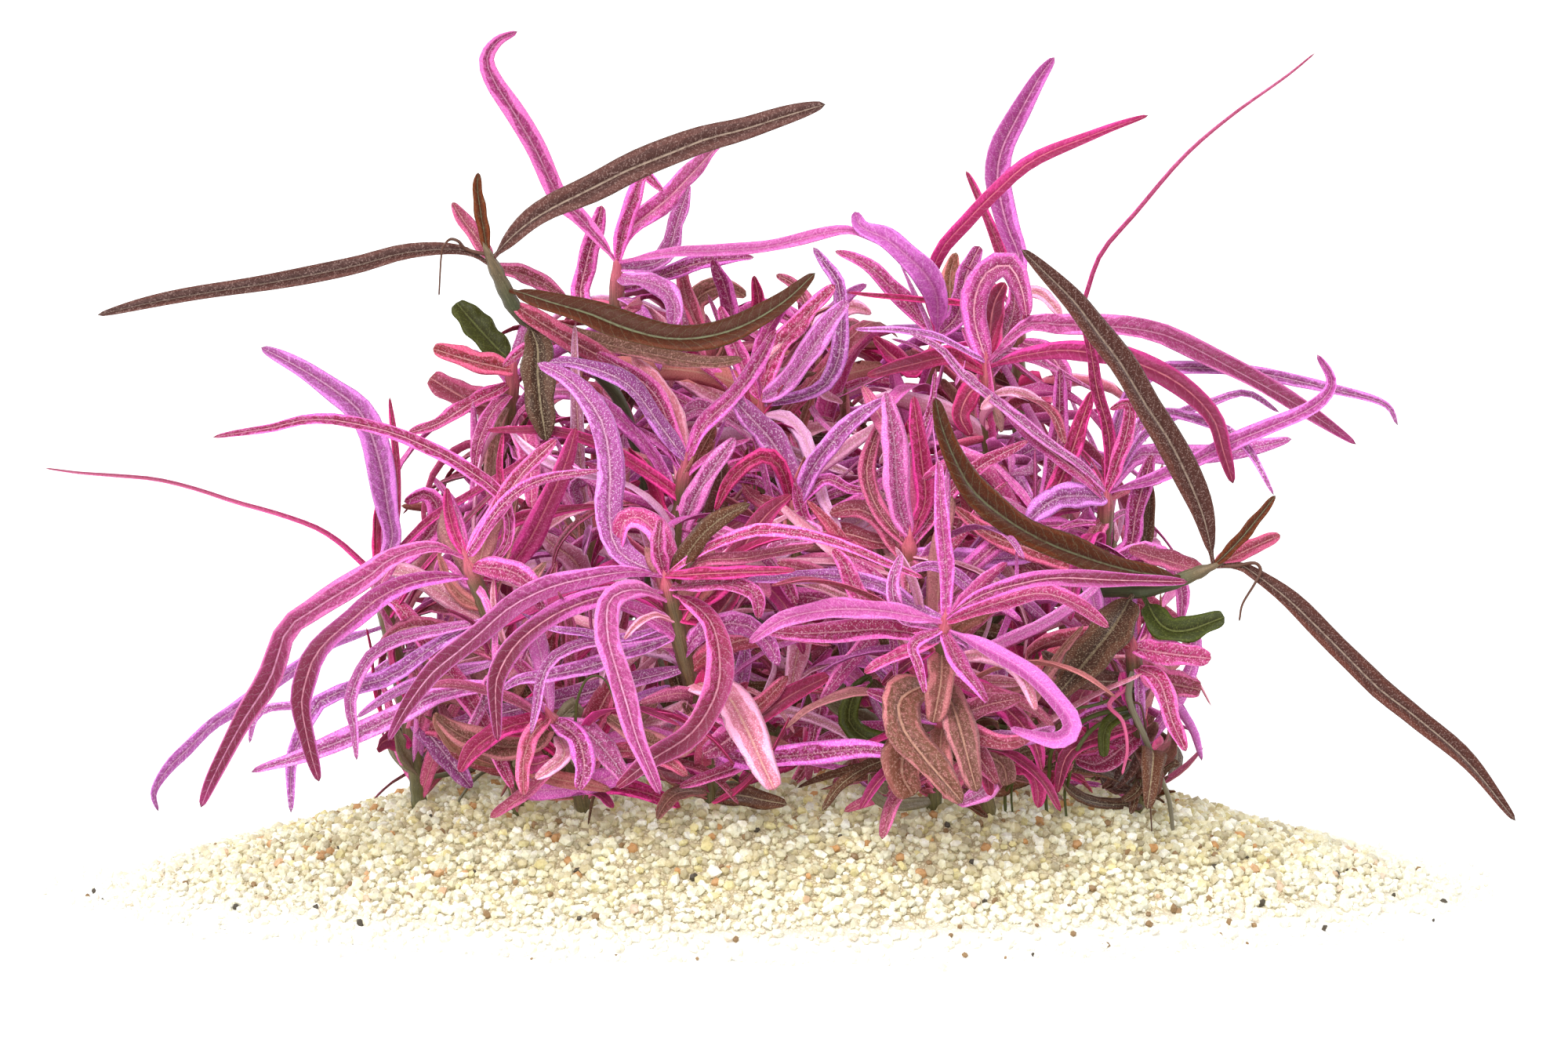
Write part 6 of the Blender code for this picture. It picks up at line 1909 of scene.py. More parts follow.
@dataclass(frozen=True)
class BladeShape:
    """The form of every leaf's blade, and the chance in it."""

    end_crowding: float = 0.09
    foot_point: float = 0.3 * MM
    petiole: float = 0.45 * MM
    petiole_end: float = 0.16
    fullness: float = 0.76
    tip_fullness: float = 0.18
    whip_end: float = 0.16 * MM
    thickness: float = 0.34 * MM
    petiole_thickness: float = 0.75 * MM
    keel: float = 0.28 * MM
    groove: float = 0.07 * MM
    channel: float = 0.2
    puff: float = 0.14
    margin_waves: float = 0.09
    ruffle: float = 0.1
    twist: float = 0.3
    large_twist: float = 0.3
    tint_spread: float = 0.2
    warm_cast: tuple[float, float, float] = (0.4, -0.3, -0.8)
    large_glow: float = 0.8
    large_glow_spread: float = 0.3
    large_specks: float = 0.4

    def draw(self, draft: MeshDraft, placed: PlacedLeaf, fineness: Fineness, chance: random.Random) -> None:
        """Draws a leaf's blade from its stem to its tip.

        Args:
            draft: the mesh it is added to.
            placed: the leaf in its place.
            fineness: how finely it is drawn.
            chance: what its waves and tints are drawn from.
        """
        leaf = placed.leaf
        line = np.array([tuple(p) for p in [*placed.root, *placed.curve]])
        reach = np.concatenate([[0.0], np.cumsum(np.linalg.norm(np.diff(line, axis=0), axis=1))])
        start = reach[len(placed.root)]
        even = np.linspace(0.0, 1.0, fineness.stations)
        length = reach[-1] * (even - self.end_crowding * np.sin(math.tau * even))
        points = np.stack([np.interp(length, reach, line[:, axis]) for axis in range(3)], axis=1)
        along = np.clip((length - start) / (reach[-1] - start), 0.0, 1.0)
        heading = unit(np.gradient(points, axis=0))
        side, normal = self.turned(placed, along, heading, chance)
        half = self.half_widths(leaf, along)
        rings, across = self.rings(points, side, normal, along, half, fineness, chance)
        foot = points[0] - heading[0] * self.foot_point
        corners, faces = drawn_to_points(rings[:-1], foot, points[-1])
        draft.add(corners, faces, 0, self.paint(leaf, rings, across, along, length, half, chance))

    def turned(self, placed: PlacedLeaf, along: np.ndarray, heading: np.ndarray,
               chance: random.Random) -> tuple[np.ndarray, np.ndarray]:
        """How the blade turns along its line: as its solid does, with a slight twist of its own.

        Args:
            placed: the leaf in its place.
            along: shares of its length.
            heading: the direction of travel at each.
            chance: what its twist is drawn from.

        Returns:
            The way across the blade and the way that its upper face looks, at each.
        """
        plain = spaced(placed.curve, BUILD.stations(placed.leaf))
        frames = np.array([tuple(normal) for _, normal in BUILD.leaf_frame(plain, placed.face)])
        places = np.linspace(0.0, 1.0, len(plain))[:-1]
        normal = np.stack([np.interp(along, places, frames[:, axis]) for axis in range(3)], axis=1)
        normal = unit(normal - heading * np.sum(normal * heading, axis=1, keepdims=True))
        side = np.cross(heading, normal)
        most = self.twist * (self.large_twist if placed.leaf.node else 1.0)
        tip, middle = chance.uniform(-most, most), chance.uniform(-most, most)
        angle = (tip * along + middle * np.sin(math.pi * along))[:, None]
        return side * np.cos(angle) + normal * np.sin(angle), normal * np.cos(angle) - side * np.sin(angle)

    def half_widths(self, leaf: Leaf, along: np.ndarray) -> np.ndarray:
        """Half the blade's width along it.

        Args:
            leaf: the leaf.
            along: shares of its length.

        Returns:
            Half the width at each, in metres.
        """
        share = np.array([BUILD.share_of_width(float(s), leaf.shape) for s in along])
        share = share ** (self.fullness - self.tip_fullness * along)
        if leaf.shape is Outline.WHIP:
            return np.maximum(0.5 * leaf.width * MM * share, self.whip_end)
        return np.maximum(0.5 * leaf.width * MM * share, self.petiole * (1.0 - along) ** 2)

    def rings(self, points: np.ndarray, side: np.ndarray, normal: np.ndarray, along: np.ndarray,
              half: np.ndarray, fineness: Fineness, chance: random.Random) -> tuple[np.ndarray, np.ndarray]:
        """The corners round the blade at each station, and how far across each stands.

        Args:
            points: the midrib's points.
            side: the way across the blade.
            normal: the way that its upper face looks.
            along: shares of its length.
            half: half its width.
            fineness: how finely it is drawn.
            chance: what its waves are drawn from.

        Returns:
            The corners by station, and the places across, from -1 to 1, of one ring.
        """
        upper = np.array(fineness.across)
        lower = upper[-2:0:-1]
        across = np.concatenate([upper, lower])
        under = np.concatenate([np.zeros(len(upper)), np.ones(len(lower))])
        out = np.abs(across)
        turns = [chance.uniform(0.0, math.tau) for _ in range(4)]
        rate = [chance.uniform(1.5, 3.5) for _ in range(3)]
        waves = [1.0 + self.margin_waves * np.sin(math.tau * rate[k] * along + turns[k]) for k in range(2)]
        reach = np.where(across < 0.0, waves[0][:, None], waves[1][:, None]) * across * half[:, None]
        ruffle = self.ruffle * np.sin(math.tau * rate[2] * along + turns[2])[:, None]
        ruffle = (ruffle + 0.5 * ruffle * np.sign(across)) * out**2
        puffed = self.puff * np.sin(math.pi * out) * eased(along, 0.05, 0.3)[:, None]
        rise = half[:, None] * (self.channel * out + ruffle + puffed)
        rise = rise - self.groove * (out < 0.04) * (1.0 - along[:, None])
        blade = eased(along, 0.02, self.petiole_end)[:, None]
        thinning = self.thickness * (1.0 - 0.4 * along[:, None])
        thick = self.petiole_thickness + (thinning - self.petiole_thickness) * blade
        thick = np.minimum(thick, 1.6 * half[:, None])
        keeled = self.keel * np.maximum(0.0, 1.0 - out / 0.3) * blade * (1.0 - along[:, None]) ** 0.7
        depth = thick * (1.0 - 0.55 * out**2) + keeled
        height = rise + 0.5 * thick * (1.0 - out**2) * (1.0 - blade) - under * depth
        corners = points[:, None] + side[:, None] * reach[..., None] + normal[:, None] * height[..., None]
        return corners, across

    def paint(self, leaf: Leaf, rings: np.ndarray, across: np.ndarray, along: np.ndarray,
              length: np.ndarray, half: np.ndarray, chance: random.Random) -> dict[str, np.ndarray]:
        """What the blade's corners hold for its finish.

        Args:
            leaf: the leaf.
            rings: the corners round the blade at each station, the tip's among them.
            across: the places across of one ring.
            along: shares of the blade's length.
            length: the same in metres from its stem.
            half: half its width.
            chance: what its tints are drawn from.

        Returns:
            A row of three numbers for each corner, by name.
        """
        count, around, _ = rings[:-1].shape
        top = (len(across) + 2) // 2
        side = np.concatenate([np.ones(top), -np.ones(around - top)])
        side[0] = side[top - 1] = 0.0
        grid = np.stack([
            np.broadcast_to(across, (count, around)),
            np.broadcast_to(along[:-1, None], (count, around)),
            np.broadcast_to(side, (count, around)),
        ], axis=-1).reshape(-1, 3)
        blade = np.vstack([[0.0, 0.0, 1.0], grid, [0.0, 1.0, 1.0]])
        offset = chance.uniform(0.0, 900.0)
        place = np.stack([
            (across[None] * half[:-1, None] / MM).ravel(),
            np.broadcast_to(length[:-1, None] / MM, (count, around)).ravel(),
            np.full(count * around, offset),
        ], axis=-1)
        ends = [[0.0, 0.0, offset]], [[0.0, length[-1] / MM, offset]]
        tints = LEAF_TINTS[leaf.tone]
        glow = 1.0 + chance.uniform(-self.tint_spread, self.tint_spread)
        specks = tints.specks
        if leaf.node:
            glow = self.large_glow + self.large_glow_spread * (glow - 1.0)
            specks *= self.large_specks if tints.crimson_tip else 1.0
        warmth = chance.uniform(-self.tint_spread, self.tint_spread)
        cast = glow * (1.0 + warmth * np.array(self.warm_cast))
        tip = tints.crimson_tip * chance.uniform(0.0, 2.0)
        if leaf.browned is not None:
            tip = leaf.browned
        # Which half of the blade takes painted shade, and how strongly.
        shaded_half = chance.choice((-1.0, 1.0)) * max(0.0, chance.uniform(-0.5, 0.7))
        banded = min(1.0, chance.uniform(0.8, 1.2) if leaf.line else chance.uniform(0.2, 1.2))
        if leaf.banded is not None:
            banded = leaf.banded
        tint, shade = linear(tints.margin) * cast, linear(tints.band) * cast
        if leaf.shape is Outline.WHIP:
            tint = tint * (1.0 - blade[:, 1:2]) + linear(tints.light) * blade[:, 1:2]
        return {
            "blade": blade,
            "place": np.vstack([ends[0], place, ends[1]]),
            "tint": tint,
            "shade": shade,
            "light": linear(tints.light),
            "rib": linear(tints.rib),
            "traits": np.array([specks, min(tip, 1.0), shaded_half]),
            "marks": np.array([banded, chance.uniform(-0.15, 0.15), chance.uniform(0.25, 0.8)]),
        }


BLADE = BladeShape()


@dataclass(frozen=True)
class StemShape:
    """The form of the stems and of the strands that grow from them."""

    sides: int = 10
    squareness: float = 0.07
    node_swelling: float = 0.28
    node_length: float = 1.6 * MM
    rounding: int = 3
    stations: int = 90
    foot_point: float = 0.2 * MM
    tint_spread: float = 0.15
    strand_sides: int = 6
    strand_taper: float = 0.5

    def draw(self, draft: MeshDraft, line: Line, nodes: Sequence[Vector], tints: StemTints,
             chance: random.Random) -> None:
        """Draws a stem, swollen at its nodes, from its rooted foot to its bud.

        Args:
            draft: the mesh it is added to.
            line: the points up the stem.
            nodes: where its leaves leave it.
            tints: its colours.
            chance: what its tints are drawn from.
        """
        points = np.array([tuple(p) for p in line])
        for _ in range(self.rounding):
            points[1:-1] = (points[:-2] + points[1:-1] * 2.0 + points[2:]) / 4.0
        reach = np.concatenate([[0.0], np.cumsum(np.linalg.norm(np.diff(points, axis=0), axis=1))])
        length = np.linspace(0.0, reach[-1], self.stations)
        points = np.stack([np.interp(length, reach, points[:, axis]) for axis in range(3)], axis=1)
        share = length / length[-1]
        radius = BUILD.stem_radius + (BUILD.crown_radius - BUILD.stem_radius) * share
        for node in nodes:
            away = np.linalg.norm(points - np.array(tuple(node)), axis=1)
            swelling = self.node_swelling * np.exp(-(away / self.node_length) ** 2)
            radius = np.maximum(radius, BUILD.stem_radius * (1.0 + swelling))
        radius *= 1.0 - 0.5 * eased(share, 0.96, 1.0)
        tip = points[-1] + unit(points[-1] - points[-2]) * BUILD.bud * 0.5
        self.tube(draft, points, radius, self.sides, tip, self.colours(share, tints, chance))

    def colours(self, share: np.ndarray, tints: StemTints, chance: random.Random) -> dict[str, np.ndarray]:
        """The colours up a stem.

        Args:
            share: how far up each of its stations is, from nought to one.
            tints: its colours at its foot, middle and crown.
            chance: what its own tint is drawn from.

        Returns:
            The tint, shade and light at each station.
        """
        foot, middle, crown = (linear(colour) for colour in (tints.foot, tints.middle, tints.crown))
        low = eased(share, 0.1, 0.5)[:, None]
        high = eased(share, 0.9, 1.0)[:, None]
        tint = (foot * (1.0 - low) + middle * low) * (1.0 - high) + crown * high
        tint = tint * (1.0 + chance.uniform(-self.tint_spread, self.tint_spread))
        return {"tint": tint, "shade": tint * 0.55, "light": np.minimum(tint * 1.7 + 0.03, 1.0)}

    def tube(self, draft: MeshDraft, points: np.ndarray, radius: np.ndarray, sides: int, tip: np.ndarray,
             colours: dict[str, np.ndarray]) -> None:
        """Draws a tube through points, a little squared, that ends in a point.

        Args:
            draft: the mesh it is added to.
            points: the points along it.
            radius: its radius at each.
            sides: how many sides it has.
            tip: the point that it ends in.
            colours: the tint, shade and light at each point.
        """
        heading = unit(np.gradient(points, axis=0))
        side = [np.cross(heading[0], np.array([0.0, 1.0, 0.3]))]
        for step in heading[1:]:
            side.append(side[-1] - step * np.dot(side[-1], step))
            side[-1] = side[-1] / np.linalg.norm(side[-1])
        side = unit(np.array(side))
        other = np.cross(heading, side)
        way = math.tau * np.arange(sides) / sides
        square = 1.0 + self.squareness * np.cos(4.0 * way)
        spokes = side[:, None] * np.cos(way)[None, :, None] + other[:, None] * np.sin(way)[None, :, None]
        rings = points[:, None] + spokes * (radius[:, None] * square)[..., None]
        corners, faces = drawn_to_points(rings, points[0] - heading[0] * self.foot_point, tip)
        length = np.concatenate([[0.0], np.cumsum(np.linalg.norm(np.diff(points, axis=0), axis=1))]) / MM
        around = np.broadcast_to(np.sin(way * 2.0) * 2.0, (len(points), sides))
        place = np.stack([around, np.broadcast_to(length[:, None], around.shape),
                          np.full(around.shape, points[0].sum() / MM)], axis=-1).reshape(-1, 3)
        painted = {name: np.repeat(rows, sides, axis=0) for name, rows in colours.items()}
        painted = {name: np.vstack([rows[:1], rows, rows[-1:]]) for name, rows in painted.items()}
        painted["place"] = np.vstack([place[:1], place, place[-1:]])
        for name in ("blade", "rib", "traits", "marks"):
            painted[name] = np.zeros(3)
        draft.add(corners, faces, 1, painted)

    def strand_line(self, strand: Strand) -> Line:
        """Close points along a tendril or rootlet; a rooted one goes on down into the gravel.

        Args:
            strand: the tendril or rootlet.

        Returns:
            The points.
        """
        line = [VIEW.point(column, row, depth * MM) for column, row, depth in strand.line]
        if strand.rooted:
            x, y, _ = line[-1]
            line.append(Vector((x + 1.0 * MM, y, HEAP.height_at(x, y) - 2.0 * MM)))
        return curve_through(line, 5)

    def draw_strand(self, draft: MeshDraft, strand: Strand) -> None:
        """Draws a tendril or rootlet.

        Args:
            draft: the mesh it is added to.
            strand: the tendril or rootlet.
        """
        points = np.array([tuple(p) for p in self.strand_line(strand)])
        share = np.linspace(0.0, 1.0, len(points))
        radius = strand.radius * MM * (1.0 - self.strand_taper * share)
        tint = np.tile(linear(LEAF_TINTS[strand.tone].margin), (len(points), 1))
        colours = {"tint": tint, "shade": tint * 0.6, "light": np.minimum(tint * 1.6, 1.0)}
        tip = points[-1] + unit(points[-1] - points[-2]) * strand.radius * MM
        self.tube(draft, points, radius, self.strand_sides, tip, colours)


STEM = StemShape()


@dataclass
class Foliage:
    """A shoot or sprig with the leaves, tendrils and rootlets that grow on it, in one piece."""

    shoot: Shoot
    node: str
    slot: str
    seed: int

    def build(self, clump: Clump, finishes: Sequence[bpy.types.Material]) -> bpy.types.Object:
        """Builds the piece and puts it in its node's place.

        Args:
            clump: every stem and leaf in place.
            finishes: the skins of leaf and stem.

        Returns:
            The piece.
        """
        chance = random.Random(self.seed)
        draft = MeshDraft()
        own = [placed for placed in clump.leaves if placed.leaf.shoot == self.shoot.name]
        starts = [(placed.root or placed.curve)[0] for placed in own]
        tints = SPRIG_STEM if self.shoot in SPRIGS else PINK_STEM
        STEM.draw(draft, clump.stems[self.shoot.name], starts, tints, chance)
        for placed in own:
            if not placed.leaf.node:
                BLADE.draw(draft, placed, MEDIUM if placed.main else SMALL, chance)
        for strand in STRANDS:
            if strand.shoot == self.shoot.name:
                STEM.draw_strand(draft, strand)
        piece = draft.object(f"foliage_{self.shoot.name}", finishes)
        dress(piece, self.slot, self.node)
        LOG.info("%s: a stem with %d leaves of its own", piece.name, len(own))
        return piece


@dataclass
class SeparateLeaf:
    """One of the large leaves that are pieces of their own."""

    placed: PlacedLeaf
    seed: int

    def build(self, finishes: Sequence[bpy.types.Material]) -> bpy.types.Object:
        """Builds the leaf and puts it in its node's place.

        Args:
            finishes: the skins of leaf and stem.

        Returns:
            The piece.
        """
        leaf = self.placed.leaf
        draft = MeshDraft()
        BLADE.draw(draft, self.placed, LARGE, random.Random(self.seed))
        piece = draft.object(leaf.node.replace("leaf_", "blade_"), finishes)
        dress(piece, f"{SLOT_TONES.get(leaf.tone, 'pink')}_leaf", leaf.node)
        LOG.info("%s: a %s leaf", piece.name, leaf.tone.value)
        return piece


def dress(piece: bpy.types.Object, slot: str, *nodes: str) -> None:
    """Makes a piece ride on the plant and stand for its nodes.

    Args:
        piece: the piece.
        slot: the name of its slot; not used.
        nodes: the nodes that it replaces, if any.
    """
    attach(piece, BODY)
    if nodes:
        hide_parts(*nodes)


@dataclass
class GravelHeap:
    """The heap of pale gravel: the packed sand below, and the loose grains that cover it."""

    spacing: float = 1.35 * MM
    size: tuple[float, float] = (1.0 * MM, 2.3 * MM)
    bed_sinks: float = 0.8 * MM
    banked: float = 4.8 * MM
    bank_half: tuple[float, float] = (84.0 * MM, 44.0 * MM)
    bed_rings: int = 26
    bed_sides: int = 120
    jitter: float = 0.45
    rim_gaps: float = 0.75
    strays: int = 300
    stray_spread: float = 0.055
    stray_limit: float = 1.16
    stray_share: float = 0.7
    dark_share: float = 0.75
    squash: tuple[float, float] = (0.72, 1.28)
    unevenness: float = 0.1
    sunk: tuple[float, float] = (0.05, 0.45)
    skirt: float = 0.035
    seed: int = 11
    tint_spread: tuple[float, float] = (0.82, 1.1)
    shade_cast: tuple[float, float, float] = (0.88, 0.84, 0.74)
    flaw_share: float = 0.6
    rim_white: tuple[float, float, float] = (0.86, 0.87, 0.82)
    rim_whiteness: float = 0.75
    colours: tuple[tuple[float, Colour], ...] = (
        (0.26, (222, 220, 197)),
        (0.24, (213, 207, 176)),
        (0.14, (235, 234, 222)),
        (0.14, (195, 184, 147)),
        (0.08, (211, 201, 150)),
        (0.08, (178, 168, 140)),
        (0.03, (188, 142, 92)),
        (0.02, (140, 112, 78)),
        (0.008, (70, 62, 52)),
    )

    def build(self) -> None:
        """Builds the sand and the grains."""
        self.build_bed(SandFinish().material())
        stone = GrainFinish().material()
        centres, out = self.places()
        parts = np.array_split(np.argsort(centres[:, 0]), 3)
        for name, chosen in zip(("left", "middle", "right"), parts):
            draft = self.grains(centres[chosen], out[chosen])
            piece = draft.object(f"gravel_grains_{name}", [stone], smooth=False)
            dress(piece, "gravel")
            LOG.info("%s: %d grains", piece.name, len(chosen))

    def build_bed(self, sand: bpy.types.Material) -> None:
        """Builds the sand below the grains, closed by its flat underside.

        Args:
            sand: what it is made of.
        """
        draft = MeshDraft()
        way = math.tau * np.arange(self.bed_sides) / self.bed_sides
        shares = np.linspace(0.0, 1.0, self.bed_rings + 1)[1:]
        outline = HEAP.outline(way)
        rings = []
        for share in shares[::-1]:
            x = HEAP.half_length * share * outline * np.cos(way)
            y = HEAP.half_depth * share * outline * np.sin(way)
            rings.append(np.stack([x, y, self.ground(x, y, np.full(len(way), share))], axis=-1))
        foot = rings[0] * np.array([1.0, 1.0, 0.0])
        rings = np.array([foot, *rings])
        top = np.array([0.0, 0.0, HEAP.height_at(0.0, 0.0) + self.banked - self.bed_sinks])
        corners, faces = drawn_to_points(rings, np.zeros(3), top)
        out = np.concatenate([[0.0], np.repeat([1.0, *shares[::-1]], self.bed_sides), [0.0]])
        draft.add(corners, faces, 0, {"place": corners / MM, "blade": np.outer(out, (1.0, 0.0, 0.0))})
        piece = draft.object("gravel_sand", [sand])
        dress(piece, "gravel", "gravel_bed")
        LOG.info("%s: the sand below the grains", piece.name)

    def ground(self, x: np.ndarray, y: np.ndarray, out: np.ndarray) -> np.ndarray:
        """The height of the sand: banked up round the stems, and thin at the rim.

        Args:
            x: places in plan, to the right.
            y: the same, to the back.
            out: how far out each is, one at the rim.

        Returns:
            The height at each, in metres.
        """
        away = np.hypot(x / self.bank_half[0], y / self.bank_half[1])
        bank = self.banked * (1.0 - eased(away, 0.6, 1.25))
        packed = HEAP.height_at(x, y) + bank - self.bed_sinks
        return np.maximum(0.05 * MM, packed * (1.0 - eased(out, 1.0 - self.skirt, 1.0 + self.skirt)))

    def places(self) -> tuple[np.ndarray, np.ndarray]:
        """Where the grains lie.

        Returns:
            Their middles in plan, and how far out each is, one at the rim.
        """
        chance = np.random.default_rng(self.seed)
        step = self.spacing
        columns = np.arange(-HEAP.half_length * 1.05, HEAP.half_length * 1.05, step)
        rows = np.arange(-HEAP.half_depth * 1.05, HEAP.half_depth * 1.05, step)
        x, y = (values.ravel() for values in np.meshgrid(columns, rows))
        x = x + chance.uniform(-self.jitter, self.jitter, x.shape) * step
        y = y + chance.uniform(-self.jitter, self.jitter, y.shape) * step
        away = 1.0 + np.abs(chance.normal(0.0, self.stray_spread, self.strays))
        way = chance.uniform(0.0, math.tau, self.strays)
        x = np.concatenate([x, HEAP.half_length * away * np.cos(way)])
        y = np.concatenate([y, HEAP.half_depth * away * np.sin(way)])
        out = np.hypot(x / HEAP.half_length, y / HEAP.half_depth)
        out = out / HEAP.outline(np.arctan2(y / HEAP.half_depth, x / HEAP.half_length))
        stray = np.arange(len(x)) >= len(x) - self.strays
        chosen = chance.uniform(size=len(x)) > self.rim_gaps * eased(out, 0.84, 1.0 + self.skirt)
        kept = (chosen & (out < 1.0 + self.skirt)) | (stray & (out < self.stray_limit))
        return np.stack([x[kept], y[kept]], axis=-1), out[kept]

    def grains(self, centres: np.ndarray, out: np.ndarray) -> MeshDraft:
        """Draws grains where they lie.

        Args:
            centres: their middles in plan.
            out: how far out each is, one at the rim.

        Returns:
            The mesh of them all.
        """
        chance = np.random.default_rng(self.seed + len(centres))
        many = len(centres)
        ball, faces = pebble()
        tints = self.tints(chance, out)
        size = chance.uniform(*self.size, many) * np.where(out > 1.0, self.stray_share, 1.0)
        size = size * np.where(tints.max(axis=1) < 0.3, self.dark_share, 1.0)
        squash = chance.uniform(*self.squash, (many, 1, 3))
        rough = chance.normal(1.0, self.unevenness, (many, len(ball), 1))
        turns = chance.normal(size=(many, 4))
        turns = turns / np.linalg.norm(turns, axis=1, keepdims=True)
        shaped = ball[None] * squash * rough * 0.5 * size[:, None, None]
        shaped = np.einsum("nij,nkj->nki", turned_by(turns), shaped)
        ground = self.ground(centres[:, 0], centres[:, 1], out)
        middle = ground + size * chance.uniform(*self.sunk, many)
        corners = shaped + np.column_stack([centres, middle])[:, None]
        lowest = corners[..., 2].min(axis=1)
        corners[..., 2] += np.where(out > 1.0, -lowest, np.maximum(0.0, -lowest))[:, None]
        draft = MeshDraft()
        numbers = (np.arange(many)[:, None, None] * len(ball) + faces[None]).reshape(-1, 3)
        place = shaped / MM + chance.uniform(0.0, 500.0, (many, 1, 3))
        painted = {
            "tint": tints,
            "shade": tints * np.array(self.shade_cast),
            "light": tints * self.flaw_share,
        }
        painted = {name: np.repeat(rows, len(ball), axis=0) for name, rows in painted.items()}
        draft.add(corners.reshape(-1, 3), [tuple(face) for face in numbers.tolist()], 0,
                  {**painted, "place": place.reshape(-1, 3)})
        return draft

    def tints(self, chance: np.random.Generator, out: np.ndarray) -> np.ndarray:
        """A colour for each grain, whiter towards the rim.

        Args:
            chance: what it is drawn from.
            out: how far out each grain is, one at the rim.

        Returns:
            A row for each grain.
        """
        shares = np.array([share for share, _ in self.colours])
        table = np.array([linear(colour) for _, colour in self.colours])
        rows = table[chance.choice(len(table), len(out), p=shares / shares.sum())]
        rows = rows * chance.uniform(*self.tint_spread, (len(out), 1))
        white = self.rim_whiteness * eased(out, 0.7, 1.03)[:, None] * (rows.max(axis=1, keepdims=True) > 0.3)
        return np.clip(rows * (1.0 - white) + np.array(self.rim_white) * white, 0.0, 0.95)


def pebble() -> tuple[np.ndarray, np.ndarray]:
    """A ball of twenty faces.

    Returns:
        Its corners and its faces.
    """
    gold = (1.0 + math.sqrt(5.0)) / 2.0
    corners = unit(np.array([
        (-1, gold, 0), (1, gold, 0), (-1, -gold, 0), (1, -gold, 0), (0, -1, gold), (0, 1, gold),
        (0, -1, -gold), (0, 1, -gold), (gold, 0, -1), (gold, 0, 1), (-gold, 0, -1), (-gold, 0, 1),
    ], dtype=float))
    faces = np.array([
        (0, 11, 5), (0, 5, 1), (0, 1, 7), (0, 7, 10), (0, 10, 11), (1, 5, 9), (5, 11, 4), (11, 10, 2),
        (10, 7, 6), (7, 1, 8), (3, 9, 4), (3, 4, 2), (3, 2, 6), (3, 6, 8), (3, 8, 9), (4, 9, 5),
        (2, 4, 11), (6, 2, 10), (8, 6, 7), (9, 8, 1),
    ])
    return corners, faces


def turned_by(turns: np.ndarray) -> np.ndarray:
    """Rotations as matrices.

    Args:
        turns: a row of four numbers for each.

    Returns:
        A matrix for each.
    """
    w, x, y, z = turns.T
    return np.array([
        [1 - 2 * (y * y + z * z), 2 * (x * y - w * z), 2 * (x * z + w * y)],
        [2 * (x * y + w * z), 1 - 2 * (x * x + z * z), 2 * (y * z - w * x)],
        [2 * (x * z - w * y), 2 * (y * z + w * x), 1 - 2 * (x * x + y * y)],
    ]).transpose(2, 0, 1)


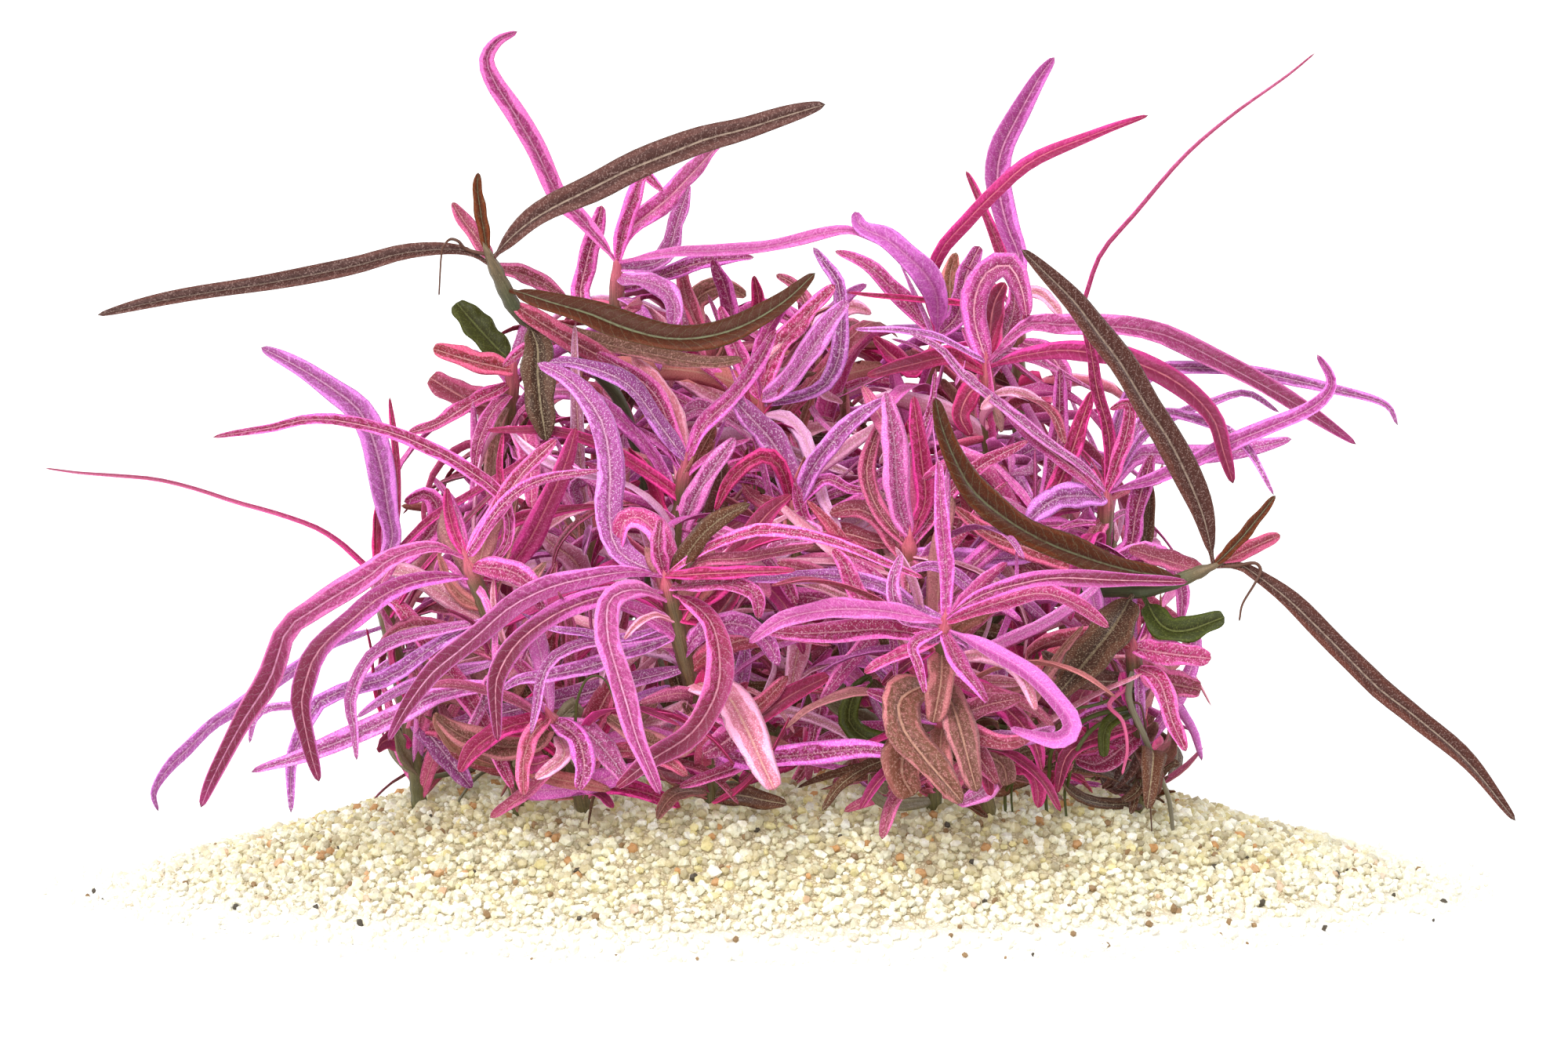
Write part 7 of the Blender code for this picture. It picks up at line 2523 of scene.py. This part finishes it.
@dataclass(frozen=True)
class Studio:
    """The pale floor and the soft light round the plant."""

    floor_half: float = 12.0
    floor_colour: tuple[float, float, float] = (0.9, 0.9, 0.9)
    sky: float = 0.66
    sun: float = 3.25
    sun_spread: float = math.radians(44.0)
    sun_tilt: tuple[float, float] = (42.0, -24.0)
    fill: float = 0.9
    fill_tilts: tuple[tuple[float, float], ...] = ((66.0, 0.0), (66.0, 120.0), (66.0, 240.0))

    def build(self) -> None:
        """Lays the floor, lights the scene and sets the camera."""
        bpy.context.scene.view_settings.view_transform = "Standard"
        self.lay_floor()
        self.light()
        VIEW.add_camera()
        LOG.info("studio: floor, soft light and camera")

    def lay_floor(self) -> None:
        """Lays the plain floor."""
        half = self.floor_half
        mesh = bpy.data.meshes.new("floor")
        mesh.from_pydata([(-half, -half, 0.0), (half, -half, 0.0), (half, half, 0.0), (-half, half, 0.0)], [],
                         [(0, 1, 2, 3)])
        plain = Wiring("floor").finish(self.floor_colour, 0.9, 0.2)
        mesh.materials.append(plain)
        floor = bpy.data.objects.new("floor", mesh)
        bpy.context.scene.collection.objects.link(floor)

    def light(self) -> None:
        """Sets an even white sky, a wide soft sun from the upper left of the front and fill all round."""
        world = bpy.data.worlds.new("studio_sky")
        world.use_nodes = True
        sky = world.node_tree.nodes["Background"]
        sky.inputs["Color"].default_value = (1.0, 1.0, 1.0, 1.0)
        sky.inputs["Strength"].default_value = self.sky
        bpy.context.scene.world = world
        self.add_lamp("soft_sun", self.sun, self.sun_spread, self.sun_tilt)
        for number, tilt in enumerate(self.fill_tilts):
            self.add_lamp(f"fill_{number}", self.fill, 0.0, tilt).use_shadow = False

    def add_lamp(self, name: str, strength: float, spread: float,
                 tilt: tuple[float, float]) -> bpy.types.Light:
        """Adds a far lamp.

        Args:
            name: its name.
            strength: how strong it is.
            spread: how wide it looks, in radians.
            tilt: how far its light leans from straight down, and to the side that it comes from, in degrees.

        Returns:
            The lamp.
        """
        data = bpy.data.lights.new(name, "SUN")
        data.energy = strength
        data.angle = spread
        lamp = bpy.data.objects.new(name, data)
        lamp.rotation_euler = (math.radians(tilt[0]), 0.0, math.radians(tilt[1]))
        bpy.context.scene.collection.objects.link(lamp)
        return data


def grown_clump() -> Clump:
    """Every stem and leaf of the plant, in place.

    Returns:
        The clump.
    """
    clump = Clump()
    for shoot in SHOOTS + SPRIGS:
        clump.add_stem(shoot)
    for leaf in SPRIG_LEAVES + LARGE_LEAVES + SMALL_LEAVES:
        clump.place_drawn(leaf)
    for seed, shoot in enumerate(SHOOTS):
        clump.grow(shoot, PAIRED, seed)
    LOG.info("%d leaves of the main form", len(clump.leaves))
    for leaf in INNER_LEAVES:
        clump.place_drawn(leaf, 0.0)
    for strand in STRANDS:
        clump.front.take(STEM.strand_line(strand), strand.radius * MM)
    LOG.info("%d leaves with the inner ones", len(clump.leaves))
    for seed, (name, growth) in enumerate(THICKENED):
        shoot = next(shoot for shoot in SHOOTS if shoot.name == name)
        clump.grow(shoot, growth, THICKENING_SEEDS + seed, gap=0.0, main=False)
    for layer, growth in enumerate(FILLING):
        for seed, shoot in enumerate(SHOOTS):
            clump.grow(shoot, growth, FILLING_SEEDS * (layer + 1) + seed, gap=0.0, main=False)
        LOG.info("%d leaves with the filling", len(clump.leaves))
    return clump


def main() -> None:
    """Builds every piece of the plant and the studio round it."""
    logging.basicConfig(level=logging.INFO, format="%(message)s")
    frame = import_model()
    clump = grown_clump()
    finishes = [BladeFinish().material(), StemFinish().material()]
    for seed, shoot in enumerate(SHOOTS):
        Foliage(shoot, f"shoot_{shoot.name}", "pink_shoot", SHOOT_SEEDS + seed).build(clump, finishes)
    for seed, shoot in enumerate(SPRIGS):
        Foliage(shoot, f"sprig_{shoot.name}", "sprig_stem", SPRIG_SEEDS + seed).build(clump, finishes)
    for seed, placed in enumerate(placed for placed in clump.leaves if placed.leaf.node):
        SeparateLeaf(placed, LARGE_LEAF_SEEDS + seed).build(finishes)
    GravelHeap().build()
    Studio().build()
    LOG.info("%d nodes in the frame", len(frame["nodes"]))
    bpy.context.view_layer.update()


if __name__ == "__main__":
    main()
